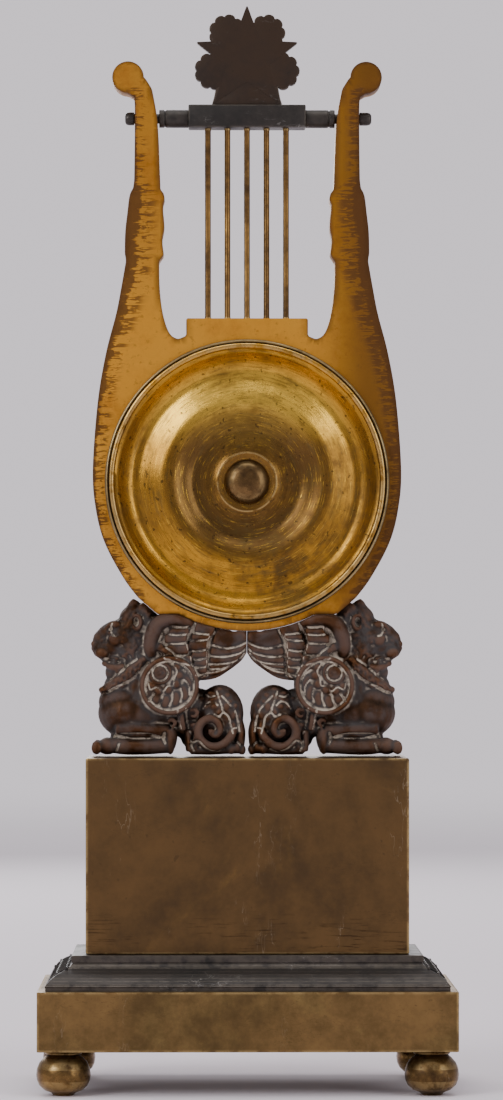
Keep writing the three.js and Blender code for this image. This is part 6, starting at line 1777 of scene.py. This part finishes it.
# Lines without residue.
BARE_LINES = [
    ([(55.3, 160.5), (53.1, 160.1), (50.7, 160.3), (47.9, 159.2)], 0.5, 0.6),
    ([(52.0, 168.4), (53.1, 166.8), (54.7, 166.0)], 0.5, 0.35),
    ([(52.6, 130.6), (46.8, 131.7), (40.4, 132.0), (34.1, 131.5)], 0.5, 0.4),
]
WING_LINES = [
    [(12.8, 165.2), (9.6, 164.3), (6.8, 164.1), (3.0, 164.9), (-0.4, 166.7)],
    [(14.7, 161.4), (10.4, 160.9), (6.8, 161.1), (1.9, 162.6), (-0.6, 165.2)],
    [(14.7, 158.1), (10.4, 158.2), (6.8, 158.6), (3.0, 159.8), (0.9, 162.2)],
    [(14.7, 156.2), (11.2, 156.3), (8.7, 156.7), (5.2, 158.1)],
    [(14.7, 154.8), (10.4, 155.6), (6.4, 157.3)],
    [
        (11.5, 172.0), (12.4, 169.4), (14.1, 167.9), (14.7, 164.9), (14.9, 161.4), (14.7, 158.1), (14.7, 155.0),
        (16.7, 153.0),
    ],
    [(20.0, 169.8), (17.3, 169.5), (14.3, 169.2)],
    [(21.0, 167.0), (17.9, 166.9), (14.7, 167.3)],
    [(20.5, 163.0), (17.9, 163.0), (15.1, 163.6)],
    [(20.0, 159.8), (17.7, 159.9), (15.1, 160.5)],
    [(19.7, 156.9), (17.3, 156.9), (15.0, 157.3)],
    [(19.1, 154.1), (17.3, 154.1), (15.5, 154.6)],
    [
        (19.2, 173.9), (20.0, 171.3), (21.1, 169.8), (22.5, 166.4), (21.5, 162.6), (20.4, 158.8), (20.0, 156.9),
        (18.5, 154.6),
    ],
    [(29.0, 169.2), (25.7, 169.0), (21.9, 169.3)],
    [(30.9, 165.8), (27.0, 165.7), (22.4, 166.0)],
    [(26.8, 161.4), (24.3, 161.4), (21.6, 161.7)],
    [(25.3, 158.4), (22.7, 158.1), (20.2, 157.8)],
    [(28.1, 172.2), (25.3, 171.8), (21.3, 172.0)],
    [(28.3, 172.0), (29.5, 170.4), (31.1, 169.2), (31.4, 165.7)],
    [(33.2, 162.7), (31.3, 161.9), (30.6, 160.1), (28.7, 159.7), (28.1, 157.8)],
    [(31.4, 165.7), (29.7, 164.1), (27.5, 162.5), (26.2, 160.6)],
]
VOLUTE_LINES = [
    [(23.8, 156.0), (21.5, 154.3), (19.9, 151.9)],
    [(23.5, 152.4), (21.8, 150.2), (21.5, 146.9)],
    [(24.9, 149.2), (24.3, 146.7), (24.9, 143.9)],
    [(27.8, 147.5), (27.9, 145.1), (29.0, 142.6)],
    [(31.4, 146.7), (31.9, 144.6), (33.0, 142.8)],
    [(34.6, 147.2), (35.5, 145.9), (36.5, 144.5)],
    [
        (27.8, 158.4), (26.2, 155.7), (27.2, 152.9), (27.5, 150.3), (29.7, 150.0), (31.3, 148.0), (33.6, 149.6),
        (36.0, 148.6), (36.8, 150.8),
    ],
]
# Half width and depth of the engraved lines on wing and volute.
WING_GROOVE = (0.46, 0.42)
VOLUTE_GROOVE = (0.44, 0.4)
EAR = (41.2, 6.8, 173.9)
# Hollows of ear, eye and brow: centre, radii, depth.
LION_HOLLOWS = [
    ((EAR[0] + 0.3, EAR[2]), (1.2, 2.2), 2.2),
    ((52.1, 166.6), (0.9, 0.6), 0.5),
    ((51.2, 171.0), (1.1, 1.3), 0.7),
]
# Gaps kept to the pedestal and to the lyre, and how near the middle and far out a lion may reach.
LION_GAPS = (0.02, 0.12)
LION_REACH = (0.16, 58.4)
# Relief, in millimetres, at which the masks of hollows, heights and rough places are full.
HOLLOW_DEPTH = 0.42
HEIGHT_RISE = 0.22
ROUGH_RELIEF = 0.09
MANE_AREA = [
    (42.3, 182.4), (44.5, 178.0), (47.4, 175.6), (46.9, 170.9), (47.5, 168.4), (46.6, 165.4), (48.3, 162.2),
    (51.5, 158.1), (49.1, 155.6), (49.4, 153.0), (53.1, 149.6), (54.2, 147.8), (49.9, 148.8), (46.0, 150.0),
    (41.2, 155.1), (38.1, 159.7), (38.5, 165.4), (38.1, 170.7), (35.7, 175.2), (38.1, 179.6),
]
MANE_SPACING = 1.15
MANE_SEED = 11
FUSED_FACES = 20000


def flank_surface(tree, x, z, side):
    """The y of the surface at (x, z) seen from one side, or None beside the lion."""
    hit = tree.ray_cast(Vector((x, side * 30.0, z)) * MM, Vector((0, -side, 0)))
    return None if hit[0] is None else hit[0].y / MM


def inside_outline(outline, x, z):
    inside = False
    for (x1, z1), (x2, z2) in zip(outline, outline[1:] + outline[:1]):
        if (z1 > z) != (z2 > z) and x < (x2 - x1) * (z - z1) / (z2 - z1) + x1:
            inside = not inside
    return inside


def sided(points, side):
    return [Vector((x, side * y, z)) for x, y, z in points]


def lion_masses(bm):
    for path, widths, heights in LION_MASSES:
        drawn(bm, [(x, 0.0, z) for x, z in path], widths, heights, Y_AXIS, 20, 20)
    for (x, z), radii in LION_LUMPS:
        lump(bm, (x, 0.0, z), radii, sides=24, rings=16)
    for side in (-1, 1):
        for (x, y, z), radii in FLANK_LUMPS:
            lump(bm, (x, side * y, z), radii, sides=18, rings=12)
        for path, widths, heights in FLANK_FORMS:
            drawn(bm, sided(path, side), widths, heights, Y_AXIS, 16, 14)
        ends = (side * WING_REAR, side * WING_FRONT)
        sawn(bm, [spline(WING_BLADE, 3, True)], min(ends), max(ends), 0.4)


def feather(bm, line, widths, side, lifts):
    """A rounded feather on the wing: flat below, crowned above, with its tip lifted over what is behind."""
    root, tip = lifts
    count = len(line) - 1
    path = [Vector((x, side * (root + (tip - root) * k / count), z)) for k, (x, z) in enumerate(line)]
    drawn(bm, path, [0.75] * len(widths), widths, Y_AXIS, 14, 10)


def lion_wing(bm, side):
    drawn(bm, sided(SHOULDER, side), SHOULDER_WIDTHS, SHOULDER_DEPTHS, Y_AXIS, 34, 20)
    for rank, lifts in ((LONG_FEATHERS, (9.5, 10.0)), (MIDDLE_FEATHERS, (9.8, 10.8)), (SHORT_FEATHERS, (10.2, 11.5))):
        for line, widths in reversed(rank):
            feather(bm, line, widths, side, lifts)
    for x, y, z in LEAF_SCALLOPS:
        lump(bm, (x, side * y, z), (1.7, 1.1, 1.7))


def lion_volute(bm, side):
    """The round disc at the root of the wing: smooth rim, rosette, lobes and a rank of curved leaves."""
    x, z = VOLUTE_CENTRE
    turned(bm, [(r, side * y) for r, y in VOLUTE_PROFILE], "Y", (x, 0, z), 72)
    for line, widths in VOLUTE_SEGMENTS:
        path = [Vector((u, side * 12.5, w)) for u, w in line]
        drawn(bm, path, [0.6, 0.75, 0.6], widths, Y_AXIS, 12, 10)
    for u, w in VOLUTE_LOBES:
        lump(bm, (u, side * 12.7, w), (1.75, 0.85, 1.75))
        lump(bm, (u, side * 13.4, w), (0.6, 0.35, 0.6), sides=10, rings=7)
    u, y, w = ROSETTE
    turned(bm, [(r, side * (y + lift)) for r, lift in ROSETTE_RIM], "Y", (u, 0, w), 48, True)
    for k in range(ROSETTE_PETALS):
        angle = math.tau * (k + 0.5) / ROSETTE_PETALS
        out = Vector((math.cos(angle), 0, math.sin(angle)))
        middle = Vector((u, side * y, w))
        petal = [middle + out * reach for reach in (0.7, 2.0, 3.3)]
        drawn(bm, petal, [0.5, 0.75, 0.4], [0.3, 0.85, 0.5], Y_AXIS, 8, 8)
    lump(bm, (u, side * (y + 0.2), w), (0.8, 0.7, 0.8), sides=12, rings=8)


def lion_tail(bm, side):
    """The coiled tail with its leaf, the strap, the curls on the flank and the toes."""
    drawn(bm, sided(TAIL, side), TAIL_WIDTHS, TAIL_WIDTHS, Y_AXIS, 80, 14)
    drawn(bm, sided(LEAF_BELOW_TAIL, side), [0.5, 0.8, 0.7, 0.4], [0.8, 1.1, 0.9, 0.3], Y_AXIS, 24, 8)
    path, widths, heights = STRAP
    drawn(bm, sided(path, side), widths, heights, Y_AXIS, 12, 12)
    for curl in CURLS:
        drawn(bm, sided(curl, side), [0.6, 0.8, 0.7, 0.5], [0.6, 0.85, 0.75, 0.5], Y_AXIS, 20, 8)
    for x, y, z in TOES:
        lump(bm, (x, side * y, z), (1.35, 1.7, 2.0))
        lump(bm, (x - 0.3, side * (y - 2.8), z - 0.2), (1.35, 1.5, 1.9))
    x, middle, z = FORE_TOES
    for k in (-1.5, -0.5, 0.5, 1.5):
        lump(bm, (x, side * (middle + k * 2.0), z - abs(k) * 0.25), (2.0, 1.15, 2.5), sides=14, rings=10)


def lion_ear(bm, side):
    """A round ear: a raised rim round a deep hollow."""
    x, y, z = EAR
    rim = []
    for k in range(11):
        angle = math.radians(40) + math.radians(300) * k / 10
        rim.append(Vector((x + 1.55 * math.cos(angle), side * (y + 0.35), z + 2.5 * math.sin(angle))))
    drawn(bm, rim, [0.8, 0.9, 0.9, 0.6], [0.5, 0.75, 0.8, 0.45], Y_AXIS, 34, 9)


def lion_hair(bm, tree, side, chance):
    """Locks of the mane and tufts of the haunch, laid on the masses below them."""
    xs = [p[0] for p in MANE_AREA]
    zs = [p[1] for p in MANE_AREA]
    rows = int((max(zs) - min(zs)) / MANE_SPACING)
    columns = int((max(xs) - min(xs)) / MANE_SPACING)
    for row in range(rows + 1):
        for column in range(columns + 1):
            x = min(xs) + (column + 0.5 * (row % 2)) * MANE_SPACING + chance.uniform(-0.3, 0.3)
            z = min(zs) + row * MANE_SPACING + chance.uniform(-0.3, 0.3)
            near_ear = math.hypot((x - EAR[0]) / 2.6, (z - EAR[2]) / 3.6) < 1.0
            y = flank_surface(tree, x, z, side)
            if near_ear or y is None or not inside_outline(MANE_AREA, x, z):
                continue
            lean = math.radians(-115 + 40 * math.sin(0.7 * x + 0.9 * z) + chance.uniform(-35, 35))
            flow = Vector((math.cos(lean), 0, math.sin(lean)))
            aside = Vector((-flow.z, 0, flow.x)) * chance.choice((-1, 1))
            root = Vector((x, y - side * 0.1, z))
            crown = root + flow * 0.8 + Y_AXIS * (side * 0.35)
            tip = root + flow * 1.3 + aside * 0.55 + Y_AXIS * (side * 0.1)
            size = chance.uniform(0.34, 0.5)
            drawn(bm, [root, crown, tip], [0.25, size, 0.15], [0.25, size, 0.2], Y_AXIS, 6, 7)
    for (x, z), length, width, turn in HAUNCH_TUFTS:
        y = flank_surface(tree, x, z, side)
        if y is None:
            continue
        lump(bm, (x, y - side * 0.15, z), (length, 0.75, width), (0, turn, 0), sides=12, rings=8)


def fused(bm, grain):
    """One closed casting from forms that run into each other."""
    mesh = bpy.data.meshes.new("forms")
    bm.to_mesh(mesh)
    bm.free()
    holder = bpy.data.objects.new("forms", mesh)
    bpy.context.scene.collection.objects.link(holder)
    melt = holder.modifiers.new("Fuse", "REMESH")
    melt.mode = "VOXEL"
    melt.voxel_size = grain
    ready = holder.evaluated_get(bpy.context.evaluated_depsgraph_get())
    result = bpy.data.meshes.new_from_object(ready)
    bpy.data.objects.remove(holder)
    bpy.data.meshes.remove(mesh)
    return result


def vertex_rows(mesh, what):
    """The places ("co") or normals ("normal") of a mesh's vertices, as rows of three."""
    values = np.empty(len(mesh.vertices) * 3)
    mesh.vertices.foreach_get(what, values)
    return values.reshape(-1, 3)


def edge_pairs(mesh):
    pairs = np.empty(len(mesh.edges) * 2, dtype=np.int32)
    mesh.edges.foreach_get("vertices", pairs)
    return pairs.reshape(-1, 2)


def eased(values, pairs, rounds):
    """Each value moved towards the mean of its neighbours, that many times."""
    count = len(values)
    ends = np.concatenate((pairs[:, 0], pairs[:, 1]))
    starts = np.concatenate((pairs[:, 1], pairs[:, 0]))
    degree = np.maximum(np.bincount(ends, minlength=count), 1)
    for _ in range(rounds):
        if values.ndim == 1:
            values = np.bincount(ends, weights=values[starts], minlength=count) / degree
        else:
            sums = [np.bincount(ends, weights=values[starts, k], minlength=count) / degree for k in range(3)]
            values = np.stack(sums, axis=1)
    return values


def engrave(dots, normals, residue, line, half, depth):
    """Sinks the surface along a line of (x, z) points, on both flanks, and notes the residue in it."""
    facing = np.clip((np.abs(normals[:, 1]) - 0.25) / 0.4, 0.0, 1.0)
    nearest = distances(dots[:, (0, 2)], spline(line, 5))
    fall = np.clip(1.0 - (nearest / half) ** 2, 0.0, 1.0) * facing
    dots -= normals * (fall * depth)[:, None]
    np.maximum(residue, fall, out=residue)


def sink(dots, normals, centre, radii, depth):
    """Sinks a hollow into both flanks."""
    x, z = centre
    reach = ((dots[:, 0] - x) / radii[0]) ** 2 + ((dots[:, 2] - z) / radii[1]) ** 2
    facing = np.clip((np.abs(normals[:, 1]) - 0.1) / 0.4, 0.0, 1.0)
    dots[:, 1] -= np.sign(dots[:, 1]) * np.clip(1.0 - reach, 0.0, 1.0) * facing * depth


def lyre_floor(across):
    """The underside of the lyre above each x."""
    low = np.array([tuple(dot) for dot in lyre_half()[:60] if dot.y < DIAL_Z])
    low = low[np.argsort(low[:, 0], kind="stable")]
    return np.interp(across, low[:, 0], low[:, 1], right=1e3)


def lion_casting():
    """The carved mesh of the lion on the +X side, with attributes for its hollows, heights and rough places."""
    chance = random.Random(MANE_SEED)
    bm = bmesh.new()
    lion_masses(bm)
    tree = BVHTree.FromBMesh(bm)
    for side in (-1, 1):
        lion_wing(bm, side)
        lion_volute(bm, side)
        lion_tail(bm, side)
        lion_ear(bm, side)
        lion_hair(bm, tree, side, chance)
    mesh = fused(bm, sizes().carving_grain)
    dots = vertex_rows(mesh, "co") / MM
    normals = vertex_rows(mesh, "normal")
    pairs = edge_pairs(mesh)
    residue = np.zeros(len(dots))
    for line, half, depth in FLANK_LINES:
        engrave(dots, normals, residue, line, half, depth)
    for line in WING_LINES:
        engrave(dots, normals, residue, line, *WING_GROOVE)
    rings = [circle(*VOLUTE_CENTRE, 9.0, 30), circle(ROSETTE[0], ROSETTE[2], 2.9, 14)]
    for line in VOLUTE_LINES + [ring + ring[:1] for ring in rings]:
        engrave(dots, normals, residue, line, *VOLUTE_GROOVE)
    for line, half, depth in BARE_LINES:
        engrave(dots, normals, np.zeros(len(dots)), line, half, depth)
    for centre, radii, depth in LION_HOLLOWS:
        sink(dots, normals, centre, radii, depth)
    ceiling = lyre_floor(np.abs(dots[:, 0])) - LION_GAPS[1]
    dots[:, 2] = np.clip(dots[:, 2], PEDESTAL_TOP + LION_GAPS[0], np.maximum(ceiling, PEDESTAL_TOP + 1.0))
    dots[:, 0] = np.clip(dots[:, 0], *LION_REACH)
    blurred = eased(dots, pairs, 10)
    inwards = np.einsum("ij,ij->i", blurred - dots, normals)
    mesh.vertices.foreach_set("co", (dots * MM).ravel())
    masks = {
        "hollow": np.maximum(eased(inwards, pairs, 1) / HOLLOW_DEPTH, residue * 1.1),
        # the height mask carries both wear on raised forms and a painted highlight
        "height": eased(-inwards, pairs, 2) / HEIGHT_RISE,
        "rough": eased(np.abs(inwards), pairs, 14) / ROUGH_RELIEF,
    }
    for label, values in masks.items():
        layer = mesh.attributes.new(label, "FLOAT", "POINT")
        layer.data.foreach_set("value", np.clip(values, 0.0, 1.0).astype(np.float32))
    mesh.update()
    return mesh


class ClockLions(bpy.types.Operator):
    """Two winged lions, fused from their forms and mirrored"""

    bl_idname = "clock.lions"
    bl_label = "Lions"

    def execute(self, context):
        carved = lion_casting()
        if len(carved.polygons) < FUSED_FACES:
            raise RuntimeError("the lion's forms did not fuse")
        for name, side in LION_NODES.items():
            bm = bmesh.new()
            bm.from_mesh(carved)
            if side < 0:
                bmesh.ops.scale(bm, vec=(-1.0, 1.0, 1.0), verts=bm.verts)
                bmesh.ops.reverse_faces(bm, faces=bm.faces)
            finished(name + "_cast", bm, "clock", "dark_bronze", [name], 60)
        bpy.data.meshes.remove(carved)
        for name in LION_NUTS:
            finish_node(name, "steel")
        return {"FINISHED"}


# ---- studio


FLOOR_WIDTH = 11.0
# The floor melts into the air between these distances from the clock.
FLOOR_FADE = (0.45, 3.6)
# How much paler the air looks than the light it gives.
BACKDROP_LIFT = 0.62
# Soft lights: place, size and power, all aimed at one point.
LIGHTS = {
    "key_left": ((1.1, 1.1, 0.95), (0.8, 1.0), 15.0),
    "fill_right": ((-1.2, 1.0, 0.6), (0.7, 1.2), 9.0),
    "top": ((0.0, 0.1, 1.5), (1.2, 1.0), 10.0),
    "front_fill": ((0.3, -1.4, 0.8), (1.0, 0.9), 12.0),
}
LIGHTS_AIM = (0, 0, 0.2)
CAMERA_PLACE = (0.016, 1.542, 0.163)
CAMERA_TURN = (90, 0, 180 - 0.66)
CAMERA_LENS = 134.5
CAMERA_SHIFT = 0.092
BLACK = (0.0, 0.0, 0.0, 1.0)


def studio_finish():
    """Pale lilac grey floor with a faint mottle, which melts into the backdrop with distance."""
    f = Finish("studio_floor")
    b = f.bench
    mottle = b.times(b.noise(f.vector, 2.2, 3.0), 0.3)
    far = b.step(b.plus(b.length(f.vector), mottle), *FLOOR_FADE)
    f.put(
        base_color=b.mix(far, chosen("floor"), BLACK),
        roughness=0.9,
        specular_ior_level=0.0,
        emission_color=b.mix(far, BLACK, chosen("backdrop")),
        emission_strength=1.0 + BACKDROP_LIFT,
    )
    f.bump(b.noise(f.vector, 300.0, 2.0), 0.03)
    return f.material


def soft_light(name, place, size, power):
    light = bpy.data.lights.new(name, "AREA")
    light.shape = "RECTANGLE"
    light.size, light.size_y = size
    light.energy = power
    lamp = bpy.data.objects.new(name, light)
    lamp.location = place
    lamp.rotation_euler = (Vector(LIGHTS_AIM) - Vector(place)).to_track_quat("-Z", "Y").to_euler()
    bpy.context.scene.collection.objects.link(lamp)


class ClockStudio(bpy.types.Operator):
    """Pale floor, plain air, soft lights and the camera behind the clock"""

    bl_idname = "clock.studio"
    bl_label = "Studio"

    def execute(self, context):
        scene = context.scene
        bm = bmesh.new()
        bmesh.ops.create_grid(bm, x_segments=1, y_segments=1, size=FLOOR_WIDTH / 2)
        mesh = bpy.data.meshes.new("studio_floor")
        bm.to_mesh(mesh)
        bm.free()
        floor = bpy.data.objects.new("studio_floor", mesh)
        scene.collection.objects.link(floor)
        mesh.materials.append(studio_finish())
        world = bpy.data.worlds.new("studio_air")
        world.use_nodes = True
        air = world.node_tree.nodes["Background"].inputs
        bench = NodeBench(world.node_tree)
        seen = bench.add("ShaderNodeLightPath").outputs["Is Camera Ray"]
        bench.feed(air["Color"], chosen("backdrop"))
        bench.feed(air["Strength"], bench.plus(1.0, bench.times(seen, BACKDROP_LIFT)))
        scene.world = world
        for name, (place, size, power) in LIGHTS.items():
            soft_light(name, place, size, power)
        lens = bpy.data.cameras.new("photo_camera")
        lens.lens = CAMERA_LENS
        lens.sensor_width = 36.0
        lens.sensor_fit = "AUTO"
        lens.shift_y = CAMERA_SHIFT
        camera = bpy.data.objects.new("photo_camera", lens)
        camera.location = CAMERA_PLACE
        camera.rotation_euler = [math.radians(angle) for angle in CAMERA_TURN]
        scene.collection.objects.link(camera)
        scene.camera = camera
        return {"FINISHED"}


PIECES = (
    ClockFeet, ClockBase, ClockLions, ClockLyre, ClockStrings, ClockCrossbar, ClockCrown, ClockCase, ClockDial,
    ClockHands, ClockBezel, ClockMovement, ClockStudio,
)


class ClockPanel(bpy.types.Panel):
    """Lists the pieces of the clock in the order they are made"""

    bl_idname = "VIEW3D_PT_lyre_clock"
    bl_label = "Lyre clock"
    bl_space_type = "VIEW_3D"
    bl_region_type = "UI"
    bl_category = "Lyre clock"

    def draw(self, context):
        for settings in (context.scene.clock_sizes, context.scene.clock_colours):
            for name in settings.bl_rna.properties.keys():
                if name not in ("rna_type", "name"):
                    self.layout.prop(settings, name)
        for piece in PIECES:
            self.layout.operator(piece.bl_idname)


CLASSES = (ClockSizes, ClockColours, *PIECES, ClockPanel)


def register():
    for item in CLASSES:
        bpy.utils.register_class(item)
    bpy.types.Scene.clock_sizes = bpy.props.PointerProperty(type=ClockSizes)
    bpy.types.Scene.clock_colours = bpy.props.PointerProperty(type=ClockColours)


def unregister():
    del bpy.types.Scene.clock_colours
    del bpy.types.Scene.clock_sizes
    for item in reversed(CLASSES):
        bpy.utils.unregister_class(item)


def main():
    register()
    for piece in PIECES:
        group, action = piece.bl_idname.split(".")
        getattr(getattr(bpy.ops, group), action)()


if __name__ == "__main__":
    main()
